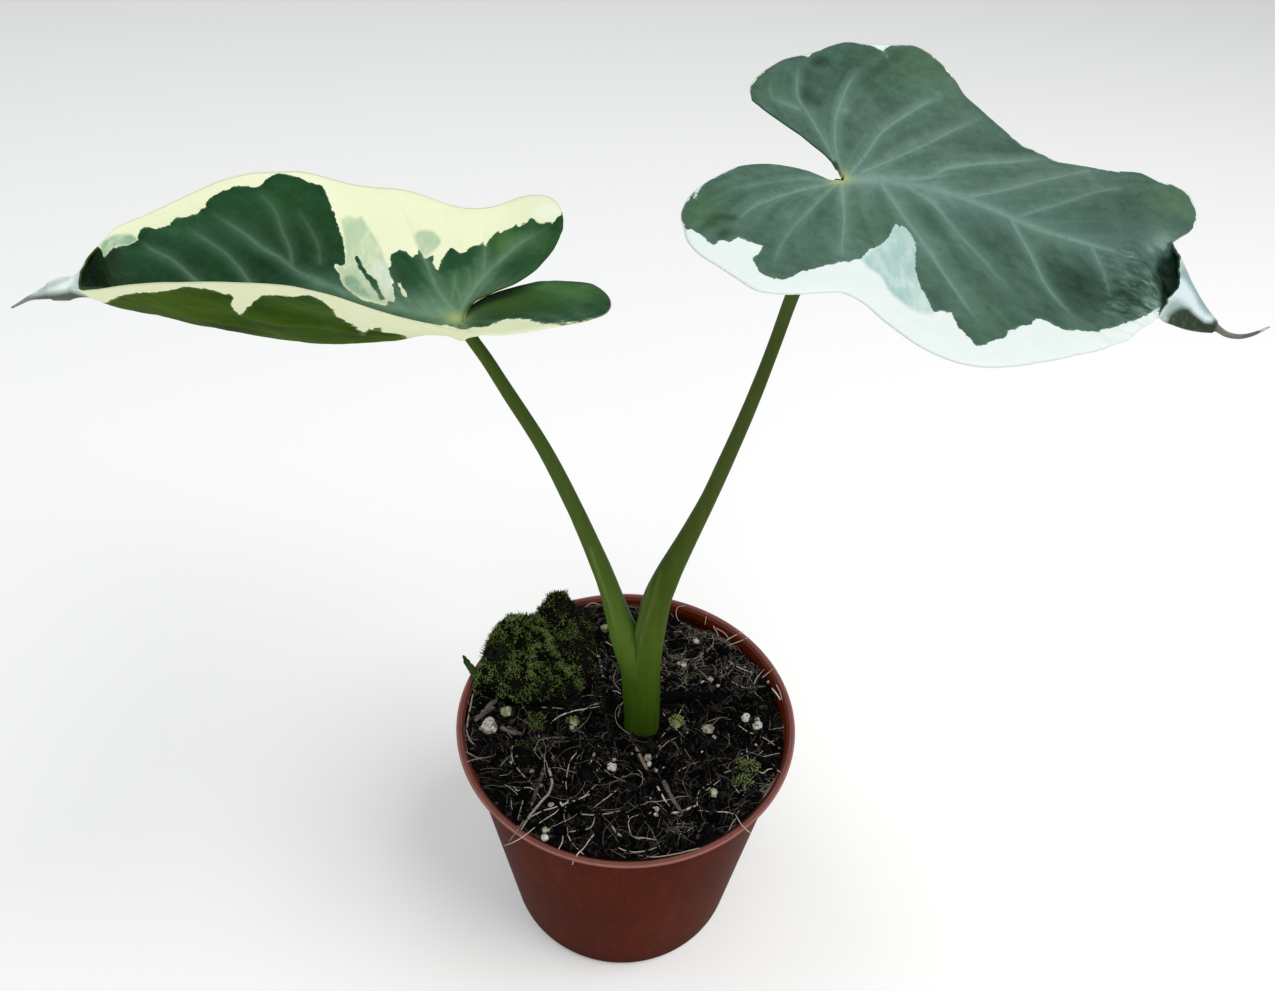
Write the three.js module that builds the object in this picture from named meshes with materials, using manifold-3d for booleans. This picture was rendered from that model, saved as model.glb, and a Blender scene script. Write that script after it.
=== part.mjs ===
// Potted alocasia: a young two-leaved plant with variegated arrow-shaped leaves
// whose tips fold into a small pouch with a thin tail, growing in a tapered
// plastic nursery pot filled with dark, fibrous potting soil.
//
// Units are millimetres, +Z is up. The origin is the centre of the pot's flat
// underside. -Y is the front: the side from which both leaves are seen spread
// to the left (-X) and to the right (+X).
import * as THREE from "three";
import { mergeVertices } from "three/addons/utils/BufferGeometryUtils.js";
import Module from "manifold-3d";

const wasm = await Module();
wasm.setup();

// ---------------------------------------------------------------- dimensions
const POT_HEIGHT = 97.5;
const POT_RIM_R = 60; // outside of the rolled lip
const POT_NECK_R = 56.9; // outside of the wall just under the lip
const POT_BASE_R = 43.6; // outside of the wall at the base
const POT_WALL = 1.3;
const POT_FLOOR = 1.8;
const LIP_DEPTH = 1.8;
const DRAIN_HOLE_R = 3.5;
const DRAIN_HOLE_RING_R = 30;
const DRAIN_HOLES = 8;
const GAP = 0.3; // clearance between touching pieces
const SOIL_LEVEL = 91.6; // at the stem
const BLADE_THICKNESS = 1.0;
const BLADE_COLUMNS = 34; // steps along each margin
const BLADE_ROWS = 6; // steps from the midrib to the margin
const FAN_COLUMNS = 11; // columns that start at the stalk junction
const POUCH_STEPS = 7;
const TAIL_STEPS = 9;
const STALK_DROP = 1.1; // stalk end below the middle of the blade
const CORM_R = 11;
const CORM_TOP = 66;

// Leaf blades. Each is a sheet given by its midrib, its two margins and the
// rim of the pouch at its tip, all as points on smooth curves.
const RIGHT_BLADE = {
  // midrib, from the stalk junction to the floor of the tip pouch
  spine: [
    [46.8, -0, 297.9], [56.7, 2.4, 296.9], [66.7, 3.3, 295.4], [76.8, 2.4, 293.1], [86.5, 0.3, 290.4], [96.4, -2.2, 287.5],
    [106.5, -2.8, 285.1], [117.2, -3.1, 282.4], [128.4, -1.5, 275.5],
  ],
  // front lobe edge along the cleft
  sin_n: [
    [46.8, -0, 297.9], [43.3, -1, 298.2], [39.8, -0.3, 299], [36.3, 0.1, 299.7], [32.7, 0, 300.3], [29.1, -0.6, 300.8],
    [25.6, -1.7, 301.1], [22.4, -3.4, 301.3], [19.5, -5.6, 301.5],
  ],
  // front margin, from the cleft to the pouch rim
  near: [
    [19.5, -5.6, 301.5], [16.3, -9.2, 301.5], [13.4, -13.2, 301.4], [11, -17.4, 301.2], [9.2, -22, 300.9], [8.3, -26.7, 300.4],
    [8.8, -31.5, 299.7], [9.6, -36.3, 299], [12, -40.2, 298.1], [15.8, -43.2, 297.1], [19.5, -46.2, 296.1], [23.3, -48.9, 295.1],
    [28.1, -48.6, 294.3], [32.7, -47.2, 293.7], [37.2, -45.3, 293.1], [41.8, -44.1, 292.5], [45.9, -46.5, 291.5], [48.8, -50.3, 290.5],
    [51.9, -53.9, 289.6], [55.4, -57.2, 288.6], [59.6, -59.3, 287.5], [64.3, -60.3, 286.5], [69, -59.9, 285.7], [73.6, -58.3, 284.9],
    [78, -56.3, 284.2], [82.3, -54, 283.6], [86.5, -51.7, 282.9], [90.6, -49.1, 282.3], [94.8, -46.7, 281.7], [98.9, -44.1, 281.1],
    [102.7, -41.1, 280.5], [106.6, -38.2, 280], [109.4, -34.9, 279.7], [112.6, -31.3, 279.1], [115.8, -27.7, 278.4], [119, -24, 277.6],
  ],
  // back lobe edge along the cleft
  sin_f: [
    [46.8, -0, 297.9], [45.7, 3.6, 299.2], [43.4, 6.4, 300.7], [40.4, 8.6, 302], [37.6, 10.9, 303.4], [34.5, 13, 304.7],
    [31.4, 15, 306], [28.3, 17.1, 307.3], [25.7, 19.7, 308.8],
  ],
  // back margin, from the cleft to the pouch rim
  far: [
    [25.7, 19.7, 308.8], [25.5, 24.2, 310.6], [27.8, 28.4, 311.9], [30.9, 32, 312.8], [34.5, 35.5, 313.6], [38.7, 37.9, 313.9],
    [43, 40.4, 314.2], [46.9, 43.4, 314.8], [51.2, 45.9, 315.1], [56, 46.9, 314.6], [60.7, 48, 314.3], [65.4, 49.2, 313.9],
    [70.2, 50.1, 313.4], [74.5, 48.4, 311.8], [77.9, 45.3, 309.9], [80.1, 41.4, 307.8], [81.9, 37.2, 305.7], [85.1, 34, 303.8],
    [88.5, 31, 301.8], [91.8, 27.9, 299.9], [95.4, 25, 297.9], [99.9, 23.8, 296.5], [104.4, 22.5, 294.9], [109.3, 22.9, 294],
    [114.1, 23.7, 293.1], [118.9, 24.3, 292.2], [123.7, 25.6, 291.5], [128.4, 26.9, 290.8], [133, 25.9, 289.3], [137.8, 26.1, 288.1],
    [142, 24.5, 286.3], [142.5, 20.1, 284.4], [141.4, 15.5, 282.9], [138.5, 11.7, 282.3], [134.8, 8.3, 282.4], [131.1, 5, 282.5],
  ],
  // rim of the pouch, front to back
  rim: [
    [121.7, -20.4, 279], [124.2, -17.2, 279.7], [126.2, -14.6, 280.9], [127.8, -10.9, 281.9], [129.1, -6.3, 282.6], [130.3, -0.6, 282.7],
  ],
  // centre line of the tail
  tail: [
    [142.9, -10, 266.7], [145.7, -10, 265.3], [148.5, -10.5, 265.2], [150.3, -11.5, 266.4], [151.6, -12.5, 268.1], [152.1, -14, 270.1],
  ],
  // tail radius
  tail_r: [0.8, 0.7, 0.6, 0.5, 0.4, 0.25],
  fan: 0.27, sag_n: [0, 0.3, 0.8, 1.2, 1.0, 0.4], sag_f: [0, 0.3, 0.8, 1.2, 1.0, 0.4], shrink: 1.0, dip: 1.2,
};

const LEFT_BLADE = {
  // midrib, from the stalk junction to the floor of the tip pouch
  spine: [
    [-46, -0, 256.2], [-52, 0.3, 255], [-60, 0.7, 251.6], [-70, 1.3, 249.3], [-82, 1.9, 248.2], [-94, 2.5, 248.6],
    [-106, 3.2, 250.2], [-118, 3.8, 251.9], [-128, 4.3, 253.8], [-136, 4.8, 255.9],
  ],
  // front lobe edge along the cleft
  sin_n: [
    [-46, -0, 256.2], [-44.6, 7.3, 256.6], [-41.1, 13.8, 256.6], [-34.9, 17.2, 257.7], [-28.5, 15.6, 260.4], [-23.5, 11, 263.4],
    [-18.5, 6.2, 266], [-13.6, 1.1, 268.2], [-9.8, -5, 270.2],
  ],
  // front margin, from the cleft to the pouch rim
  near: [
    [-9.8, -5, 270.2], [-8.4, -9.2, 271.4], [-7.3, -13.5, 272.5], [-6.7, -18, 273.6], [-6.8, -22.4, 274.7], [-7.7, -26.7, 275.8],
    [-9.7, -30.7, 277], [-12.6, -34.1, 277.9], [-16.2, -36.8, 278.6], [-20.4, -38.8, 278.7], [-24.8, -40.1, 278.4], [-29.3, -41, 278.2],
    [-33.8, -41.4, 278.5], [-38.4, -41.3, 279.1], [-42.9, -40.8, 279.7], [-47.4, -40, 280.1], [-51.9, -39.3, 280.9], [-56.3, -39.2, 282.2],
    [-60.4, -39.8, 284.1], [-64.6, -40.2, 285.9], [-69.1, -40.1, 287], [-73.5, -39.1, 287.3], [-77.9, -37.8, 286.9], [-82.3, -36.5, 286.3],
    [-86.7, -35.4, 285.7], [-91.2, -34.5, 285.2], [-95.7, -33.7, 284.6], [-100.2, -32.9, 283.9], [-104.6, -31.9, 283.2], [-109, -30.8, 282.2],
    [-113.1, -29.2, 280.9], [-117, -27.4, 279.4], [-120.8, -25.4, 277.7], [-124.5, -23.2, 276], [-128.1, -20.9, 274.4], [-131.7, -18.5, 272.7],
  ],
  // back lobe edge along the cleft
  sin_f: [
    [-46, -0, 256.2], [-43.9, 4.9, 258.9], [-38.4, 7.6, 260.6], [-32.7, 10.1, 262.2], [-28.2, 14.4, 263.4], [-25.8, 20.2, 263.7],
    [-24, 26.4, 263.8], [-22.7, 32.7, 264.2], [-22, 39, 264.7],
  ],
  // back margin, from the cleft to the pouch rim
  far: [
    [-22, 39, 264.7], [-22.3, 43.3, 265.4], [-23.2, 47.5, 266.1], [-24.9, 51.4, 266.6], [-27.8, 54.6, 266.8], [-31.8, 56.2, 266.4],
    [-35.9, 55.5, 265.8], [-39.6, 53.1, 265.3], [-43, 50.5, 265.1], [-47, 48.8, 265.1], [-51.3, 48.4, 265.3], [-55.5, 49.4, 265.6],
    [-59.6, 50.9, 266.2], [-63.7, 52, 267.1], [-67.9, 52.4, 268.1], [-72.2, 52.1, 268.8], [-76.4, 51.3, 269.3], [-80.6, 50.6, 270],
    [-84.9, 50.2, 270.9], [-89, 49.8, 272.2], [-93, 49, 273.7], [-97, 47.8, 274.9], [-100.9, 46, 275.5], [-105, 44.5, 275.8],
    [-109.1, 43.3, 275.9], [-113.1, 41.6, 275.5], [-117, 39.7, 274.9], [-120.6, 37.5, 273.9], [-124.1, 35.1, 272.9], [-127.6, 32.8, 271.8],
    [-131.1, 30.4, 270.7], [-134.6, 28.2, 269.6], [-138.3, 26, 268.7], [-141.2, 23.1, 267.9], [-142, 18.8, 267.3], [-142.4, 14.5, 267],
  ],
  // rim of the pouch, front to back
  rim: [
    [-134.4, -13, 271.5], [-136.9, -7.5, 270.3], [-139, -2, 269.3], [-140.4, 3.5, 268.8], [-141.5, 9, 268.1],
  ],
  // centre line of the tail
  tail: [
    [-144.2, -3, 264.1], [-148, -3, 263.2], [-151.4, -3, 262.1], [-154.3, -3, 261.1], [-157.3, -3, 259.5], [-159.9, -3, 258.1],
  ],
  // tail radius
  tail_r: [2.7, 2, 1.2, 0.65, 0.4, 0.25],
  fan: 0.28, sag_n: [0, 1.0, 2.6, 3.8, 3.4, 1.0], sag_f: [0, 0.4, 0.9, 1.0, 1.0, 0.6], shrink: 1.9, dip: 0.0,
};

// Leaf stalks: centre point and the two half widths of the oval section.
const LEFT_STALK = [
  [-1.2, 1.6, 70, 3.4, 3.0], [0.6, 1.2, 80, 4.0, 3.6], [3.2, 0.8, 92, 4.4, 4.0],
  [3.4, 0.8, 104.3, 4.4, 4.0], [2.1, 1.0, 122.7, 4.2, 3.9], [-0.7, 1.2, 135, 4.1, 3.8],
  [-3.9, 1.4, 148.6, 3.8, 3.5], [-7.1, 1.5, 160.3, 3.35, 3.2], [-10.3, 1.5, 171.2, 2.95, 2.9],
  [-17.1, 1.4, 191.7, 2.45, 2.4], [-25.6, 1.0, 214.4, 2.15, 2.1], [-35.4, 0.5, 235, 1.9, 1.9],
  [-40, 0.2, 244.7, 1.75, 1.75], [-43.2, 0, 250.6, 1.7, 1.7], [-46.6, 0, 256.4, 1.7, 1.7],
];
const RIGHT_STALK = [
  [7.6, -0.6, 70, 3.6, 3.2], [7.9, -0.8, 80, 4.6, 4.0], [7.8, -1, 92, 5.1, 4.4],
  [7.3, -1, 106.7, 5.1, 4.4], [7.1, -1, 121.6, 4.9, 4.3], [7.4, -1, 133.3, 4.9, 4.3],
  [8.1, -0.8, 145.3, 5.1, 4.3], [9.4, -0.5, 156.2, 4.75, 4.1], [11.3, -0.3, 165.1, 4.3, 3.8],
  [13.8, 0, 173.6, 3.7, 3.4], [18.1, 0, 186.3, 2.95, 2.8], [22, 0, 198.3, 2.45, 2.4],
  [25.3, 0, 209.8, 2.25, 2.25], [31, 0, 231.2, 1.95, 1.95], [35.4, 0, 250.6, 1.75, 1.75],
  [38.6, 0, 266.5, 1.75, 1.75], [42.2, 0, 281, 1.8, 1.8], [47.2, 0, 298, 1.8, 1.8],
];

// Clump of moss at the back left: outline on the soil and its crests.
const MOSS_OUTLINE = [
  [-53, 9.1], [-46.8, 6.6], [-37.9, 5.2], [-30, 6.9], [-22, 11], [-15.5, 16.8], [-11.5, 25.2], [-10.9, 34.4],
  [-12.8, 42], [-14.5, 51.5], [-22, 49.6], [-30, 45.3], [-39, 37.8], [-46, 28.8], [-51, 18.6],
];
const MOSS_CRESTS = [[-47, 26, 13, 20], [-28, 46, 5.5, 16], [-17, 49, 5, 5]]; // x, y, spread, height

// Perlite grains: x, y, mean radius.
const PERLITE = [
  [-48.1, -5.7, 3.3], [-43.5, 1.7, 2.2], [-19, -1.2, 1.9], [-9.2, 43.4, 1.9],
  [-4.4, -19.9, 1.9], [8, -15.1, 1.6], [29.4, -3.4, 2.3], [18, -0.7, 1.9],
  [43, 2.1, 1.8], [47, -1.9, 1.9], [21.3, 26.7, 1.4], [31.2, 19.8, 1.3],
  [30.3, -30.2, 1.7], [-25.1, -46.8, 1.9], [26.2, 39, 1.5], [10.8, -36.5, 1.2],
];

// Twigs and bark: start, end, radius or half sizes.
const TWIGS = [
  [[-52.7, -2], [-48, 3.6], 0.9],
  [[-42.3, -5.4], [-36.5, -6.9], 0.8],
  [[13, -25.2], [19.4, -38], 0.8],
  [[-27, -19.9], [-30.9, -36.4], 0.8],
];
const BARK = [[23.9, 11.1, 15, 2.4, 2.2, 4], [12, -42.3, 10, 1.6, 1.4, -6]]; // x, y, half length, half width, half height, turn in degrees

// ---------------------------------------------------------------- materials
const mat = (r, g, b, roughness) =>
  new THREE.MeshStandardMaterial({ color: new THREE.Color(r, g, b), roughness, metalness: 0 });
const TERRACOTTA = mat(0.22, 0.06, 0.04, 0.45);
const SOIL = mat(0.02, 0.015, 0.012, 0.95);
const BLADE = mat(0.07, 0.15, 0.1, 0.45);
const STALK = mat(0.12, 0.24, 0.04, 0.4);
const MOSS = mat(0.05, 0.1, 0.02, 0.95);
const PERLITE_WHITE = mat(0.75, 0.74, 0.68, 0.9);
const WOOD = mat(0.12, 0.08, 0.05, 0.9);
const CORM = mat(0.3, 0.2, 0.12, 0.8);

// ---------------------------------------------------------------- helpers
const clamp = (x, a, b) => Math.min(b, Math.max(a, x));

// Point on a smooth curve through rows of numbers, t from 0 to 1.
function along(rows, t) {
  const n = rows.length, x = clamp(t, 0, 1) * (n - 1), i = Math.min(Math.floor(x), n - 2), f = x - i;
  const b = rows[i], c = rows[i + 1];
  const one = (k) => {
    const get = (r) => (Array.isArray(r) ? r[k] : r);
    const p1 = get(b), p2 = get(c);
    const p0 = i > 0 ? get(rows[i - 1]) : 2 * p1 - p2, p3 = i < n - 2 ? get(rows[i + 2]) : 2 * p2 - p1;
    return p1 + 0.5 * f * (p2 - p0 + f * (2 * p0 - 5 * p1 + 4 * p2 - p3 + f * (3 * (p1 - p2) + p3 - p0)));
  };
  return Array.isArray(b) ? b.map((_, k) => one(k)) : one(0);
}
const add = (a, b, s = 1) => [a[0] + b[0] * s, a[1] + b[1] * s, a[2] + b[2] * s];
const sub = (a, b) => [a[0] - b[0], a[1] - b[1], a[2] - b[2]];
const dot = (a, b) => a[0] * b[0] + a[1] * b[1] + a[2] * b[2];
const cross = (a, b) => [a[1] * b[2] - a[2] * b[1], a[2] * b[0] - a[0] * b[2], a[0] * b[1] - a[1] * b[0]];
const unit = (a) => { const l = Math.hypot(...a) || 1; return [a[0] / l, a[1] / l, a[2] / l]; };

function toGeometry(points, triangles) {
  const g = new THREE.BufferGeometry();
  g.setAttribute("position", new THREE.Float32BufferAttribute(points.flat(), 3));
  g.setIndex(triangles.flat());
  return g;
}
function toSolid(geometry) {
  const g = geometry.clone();
  for (const k of Object.keys(g.attributes)) if (k !== "position") g.deleteAttribute(k);
  const m = mergeVertices(g, 1e-3);
  return new wasm.Manifold(new wasm.Mesh({
    numProp: 3, vertProperties: m.attributes.position.array, triVerts: new Uint32Array(m.index.array),
  }));
}
function fromSolid(solid) {
  const m = solid.getMesh(), p = new Float32Array(m.numVert * 3);
  for (let i = 0; i < m.numVert; i++) p.set(m.vertProperties.subarray(i * m.numProp, i * m.numProp + 3), i * 3);
  const g = new THREE.BufferGeometry();
  g.setAttribute("position", new THREE.BufferAttribute(p, 3));
  g.setIndex(new THREE.BufferAttribute(new Uint32Array(m.triVerts), 1));
  return g;
}
function biggest(solid) {
  return solid.decompose().sort((a, b) => b.volume() - a.volume())[0];
}
// Small repeatable variation for natural shapes.
const wave = (a, b, c = 0) => Math.sin(a * 1.7 + c) * Math.cos(b * 1.3 - c * 0.7) + 0.5 * Math.sin(a * 3.1 - b * 2.3 + c);

const group = new THREE.Group();
function piece(name, geometry, material) {
  const m = new THREE.Mesh(geometry, material);
  m.name = name;
  group.add(m);
  return m;
}

// ---------------------------------------------------------------- pot
const innerWall = (z) => POT_BASE_R - POT_WALL + ((POT_NECK_R - POT_BASE_R) / (POT_HEIGHT - LIP_DEPTH)) * z;
{
  const neck = POT_HEIGHT - LIP_DEPTH;
  const profile = [
    [0, 0], [POT_BASE_R - 1.2, 0], [POT_BASE_R, 1.2], [POT_NECK_R, neck], [POT_RIM_R - 0.6, neck + 0.2],
    [POT_RIM_R, neck + 0.7], [POT_RIM_R, POT_HEIGHT - 0.6], [POT_RIM_R - 0.5, POT_HEIGHT],
    [POT_RIM_R - 1.9, POT_HEIGHT], [POT_RIM_R - 2.5, POT_HEIGHT - 0.5], [innerWall(neck) + 0.6, neck],
    [innerWall(neck - 3.7), neck - 3.7], [innerWall(POT_FLOOR), POT_FLOOR], [0, POT_FLOOR],
  ].map(([x, y]) => new THREE.Vector2(x, y));
  const lathe = new THREE.LatheGeometry(profile, 48);
  lathe.rotateX(Math.PI / 2);
  let pot = toSolid(lathe);
  for (let i = 0; i < DRAIN_HOLES; i++) {
    const a = ((i + 0.5) / DRAIN_HOLES) * 2 * Math.PI;
    const hole = new THREE.CylinderGeometry(DRAIN_HOLE_R, DRAIN_HOLE_R, 10, 12);
    hole.rotateX(Math.PI / 2);
    hole.translate(DRAIN_HOLE_RING_R * Math.cos(a), DRAIN_HOLE_RING_R * Math.sin(a), 0);
    pot = pot.subtract(toSolid(hole));
  }
  piece("pot", fromSolid(pot), TERRACOTTA);
}

// ---------------------------------------------------------------- soil
// The surface is lowest round the stems, rises towards the wall, most on the right,
// and dips a little at the back right.
function soilTop(x, y) {
  const r = Math.hypot(x, y);
  const z = SOIL_LEVEL + 0.4 + 2.6 * clamp((r - 18) / 36, 0, 1) ** 1.5 + (0.6 * x) / 55;
  const dip = 1.2 * Math.exp(-((x - 30) ** 2 + (y - 46) ** 2) / 162);
  return z - dip + 0.45 * wave(x / 7, y / 7) * clamp((r - 9) / 8, 0, 1);
}
// A heap: a closed solid over an outline, with rings of points on top and a bottom
// that is either another surface or, with a taper, one plain disc.
function heap(outline, centre, rings, top, bottom, taper = 1) {
  const n = outline.length, points = [], triangles = [], start = [];
  const under = taper === 1 ? rings : 1;
  for (const [height, count, scale] of [[top, rings, 1], [bottom, under, taper]]) {
    start.push(points.length);
    points.push([centre[0], centre[1], height(centre[0], centre[1], 0)]);
    for (let k = 1; k <= count; k++)
      for (let j = 0; j < n; j++) {
        const q = k / count, x = centre[0] + (outline[j][0] - centre[0]) * q, y = centre[1] + (outline[j][1] - centre[1]) * q;
        points.push([x * scale, y * scale, height(x, y, q)]);
      }
  }
  const at = (side, k, j) => start[side] + (k === 0 ? 0 : 1 + (k - 1) * n + (j % n));
  for (const side of [0, 1]) {
    const tri = (a, b, c) => triangles.push(side === 0 ? [a, b, c] : [a, c, b]);
    for (let j = 0; j < n; j++) {
      tri(at(side, 0, 0), at(side, 1, j), at(side, 1, j + 1));
      for (let k = 1; k < (side ? under : rings); k++) {
        tri(at(side, k, j), at(side, k + 1, j), at(side, k + 1, j + 1));
        tri(at(side, k, j), at(side, k + 1, j + 1), at(side, k, j + 1));
      }
    }
  }
  for (let j = 0; j < n; j++) {
    const a = at(0, rings, j), b = at(0, rings, j + 1), c = at(1, under, j), d = at(1, under, j + 1);
    triangles.push([a, c, b], [b, c, d]);
  }
  return toGeometry(points, triangles);
}
function ring(n, radius) {
  return Array.from({ length: n }, (_, j) => {
    const a = (j / n) * 2 * Math.PI;
    return [radius * Math.cos(a), radius * Math.sin(a)];
  });
}

// ---------------------------------------------------------------- leaf blades
// One half of the blade: rows of points from the midrib (v 0) to the margin (v 1).
function halfBlade(L, side) {
  const margin = side === "n" ? L.near : L.far, cleft = side === "n" ? L.sin_n : L.sin_f, sag = side === "n" ? L.sag_n : L.sag_f;
  const out = [];
  for (let i = 0; i <= BLADE_COLUMNS; i++) {
    const fan = i <= FAN_COLUMNS;
    const u = fan ? (L.fan * i) / FAN_COLUMNS : L.fan + ((1 - L.fan) * (i - FAN_COLUMNS)) / (BLADE_COLUMNS - FAN_COLUMNS);
    const w = Math.max(0, (u - L.fan) / (1 - L.fan)) ** 1.7;
    const m = along(margin, u), s = along(L.spine, w), g = along(sag, u), col = [];
    for (let j = 0; j <= BLADE_ROWS; j++) {
      const v = j / BLADE_ROWS, e = along(cleft, v);
      const chord = add(cleft[0], sub(cleft[cleft.length - 1], cleft[0]), v), d = Math.max(0, 1 - u / 0.28) ** 2;
      let p = add(add(s, sub(m, s), v), sub(e, chord), d);
      p = [p[0], p[1], p[2] - g * 4 * v * (1 - v)];
      col.push(p);
    }
    out.push(col);
  }
  return out;
}
function blade(L) {
  const sheet = [], index = new Map();
  const key = (p) => p.map((x) => Math.round(x * 1e4)).join(",");
  const id = (p) => { const k = key(p); if (!index.has(k)) { index.set(k, sheet.length); sheet.push(p); } return index.get(k); };
  const faces = [];
  const face = (a, b, c) => { if (a !== b && b !== c && c !== a) faces.push([a, b, c]); };
  const quad = (a, b, c, d) => { face(a, b, c); face(a, c, d); };
  const N = halfBlade(L, "n"), F = halfBlade(L, "f");
  for (let i = 0; i < BLADE_COLUMNS; i++)
    for (let j = 0; j < BLADE_ROWS; j++) {
      quad(id(N[i][j]), id(N[i][j + 1]), id(N[i + 1][j + 1]), id(N[i + 1][j]));
      quad(id(F[i][j]), id(F[i + 1][j]), id(F[i + 1][j + 1]), id(F[i][j + 1]));
    }
  // mouth of the pouch: front rim end, across the floor, back rim end, and back along the rim
  const a = N[BLADE_COLUMNS].slice().reverse(), b = F[BLADE_COLUMNS].slice(1), rimRows = [a[0], ...L.rim, b[b.length - 1]];
  const rim = Array.from({ length: 7 }, (_, k) => along(rimRows, 1 - (k + 1) / 8));
  const mouth = [...a, ...b, ...rim], n = mouth.length;
  const c0 = mouth.reduce((s, p) => add(s, p, 1 / n), [0, 0, 0]);
  const axis = unit(sub(L.tail[0], c0));
  const out = mouth.map((p) => { const d = sub(p, c0); return unit(add(d, axis, -dot(d, axis))); });
  const r0 = Math.max(L.tail_r[0], 0.9);
  const loops = [{ c: c0, r: 99, p: mouth }];
  for (let k = 1; k <= POUCH_STEPS; k++) {
    const q = k / POUCH_STEPS, c = add(c0, sub(L.tail[0], c0), q);
    c[2] -= L.dip * 4 * q * (1 - q);
    const s = (1 - q) ** L.shrink;
    loops.push({ c, r: r0 * q + 12 * s, p: mouth.map((p, j) => add(add(c, sub(p, c0), s), out[j], r0 * q)) });
  }
  let before = L.tail[0];
  for (let k = 1; k <= TAIL_STEPS; k++) {
    const t = k / TAIL_STEPS, c = along(L.tail, t), r = Math.max(0.45, along(L.tail_r, t)), w = unit(sub(c, before));
    loops.push({ c, r, p: out.map((d) => add(c, unit(add(d, w, -dot(d, w))), r)) });
    before = c;
  }
  const idLoops = loops.map((l) => l.p.map((p) => id(p)));
  const blind = loops.findIndex((l) => l.r < 2.2) - 1; // the hollow ends here
  const sheetFaces = faces.length;
  for (let k = 0; k + 1 < loops.length; k++)
    for (let j = 0; j < n; j++) {
      const j2 = (j + 1) % n;
      faces.push([idLoops[k][j], idLoops[k + 1][j], idLoops[k + 1][j2], k], [idLoops[k][j], idLoops[k + 1][j2], idLoops[k][j2], k]);
    }
  // the left blade runs the other way, so its faces are turned over
  const turned = L.spine[0][0] < 0;
  if (turned) for (const f of faces) [f[1], f[2]] = [f[2], f[1]];
  // normals towards the upper (inner) side
  const normal = sheet.map(() => [0, 0, 0]);
  for (const f of faces) {
    const m = cross(sub(sheet[f[1]], sheet[f[0]]), sub(sheet[f[2]], sheet[f[0]]));
    for (let k = 0; k < 3; k++) normal[f[k]] = add(normal[f[k]], m);
  }
  const h = BLADE_THICKNESS / 2, up = sheet.map((p, i) => add(p, unit(normal[i]), h)), down = sheet.map((p, i) => add(p, unit(normal[i]), -h));
  // beyond the blind end the outside keeps the tail's own radius
  for (let k = blind; k < loops.length; k++) idLoops[k].forEach((v, j) => { if (k > blind) down[v] = loops[k].p[j]; });
  const points = [...up, ...down], m = sheet.length, triangles = [];
  const edges = new Map();
  const put = (x, y, z) => {
    triangles.push([x, y, z], [x + m, z + m, y + m]);
    for (const [p, q] of [[x, y], [y, z], [z, x]]) edges.set(p + "," + q, [p, q]);
  };
  faces.forEach((f, i) => {
    if (i < sheetFaces || f[3] < blind) put(f[0], f[1], f[2]);
    else triangles.push([f[0] + m, f[2] + m, f[1] + m]);
  });
  const cap = (x, y, z) => triangles.push(turned ? [x, z, y] : [x, y, z]);
  // inner blind end and outer tip
  const capIn = points.length, capOut = capIn + 1;
  points.push(loops[blind].c, along(L.tail, 1));
  const onBlind = new Set(idLoops[blind]);
  for (let j = 0; j < n; j++) {
    const j2 = (j + 1) % n;
    cap(idLoops[blind][j], capIn, idLoops[blind][j2]);
    cap(idLoops[loops.length - 1][j] + m, idLoops[loops.length - 1][j2] + m, capOut);
  }
  // margin strip
  for (const [k, [p, q]] of edges) {
    if (edges.has(q + "," + p) || (onBlind.has(p) && onBlind.has(q))) continue;
    triangles.push([q, p, p + m], [q, p + m, q + m]);
  }
  let g = toGeometry(points, triangles);
  if (toSolid(g).volume() < 0) g = toGeometry(points, triangles.map(([x, y, z]) => [x, z, y]));
  return g;
}
// ---------------------------------------------------------------- leaf stalks
// An oval tube along rows of [x, y, z, half width, half depth], closed at both ends.
function stalk(rows, steps, sides, grow = 0, from = 0, to = 1) {
  const points = [], triangles = [];
  for (let i = 0; i <= steps; i++) {
    const t = from + ((to - from) * i) / steps;
    const p = along(rows, t), q = along(rows, Math.min(1, t + 0.002)), o = along(rows, Math.max(0, t - 0.002));
    const w = unit(sub(q.slice(0, 3), o.slice(0, 3))), v = unit(cross(w, [1, 0, 0])), u = cross(v, w);
    for (let j = 0; j < sides; j++) {
      const a = (j / sides) * 2 * Math.PI;
      points.push(add(add(p.slice(0, 3), u, (p[3] + grow) * Math.cos(a)), v, (p[4] + grow) * Math.sin(a)));
    }
    if (i === 0) points.base = p.slice(0, 3);
    if (i === steps) points.tip = p.slice(0, 3);
  }
  const at = (i, j) => i * sides + (j % sides);
  for (let i = 0; i < steps; i++)
    for (let j = 0; j < sides; j++) {
      triangles.push([at(i, j), at(i + 1, j), at(i + 1, j + 1)], [at(i, j), at(i + 1, j + 1), at(i, j + 1)]);
    }
  const base = points.length, tip = base + 1;
  points.push(points.base, points.tip);
  for (let j = 0; j < sides; j++) triangles.push([base, at(0, j), at(0, j + 1)], [tip, at(steps, j + 1), at(steps, j)]);
  const g = toGeometry(points.map((p) => [...p]), triangles);
  return toSolid(g).volume() < 0 ? toGeometry(points.map((p) => [...p]), triangles.map(([a, b, c]) => [a, c, b])) : g;
}
const rightBlade = toSolid(blade(RIGHT_BLADE)), leftBlade = toSolid(blade(LEFT_BLADE));
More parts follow.
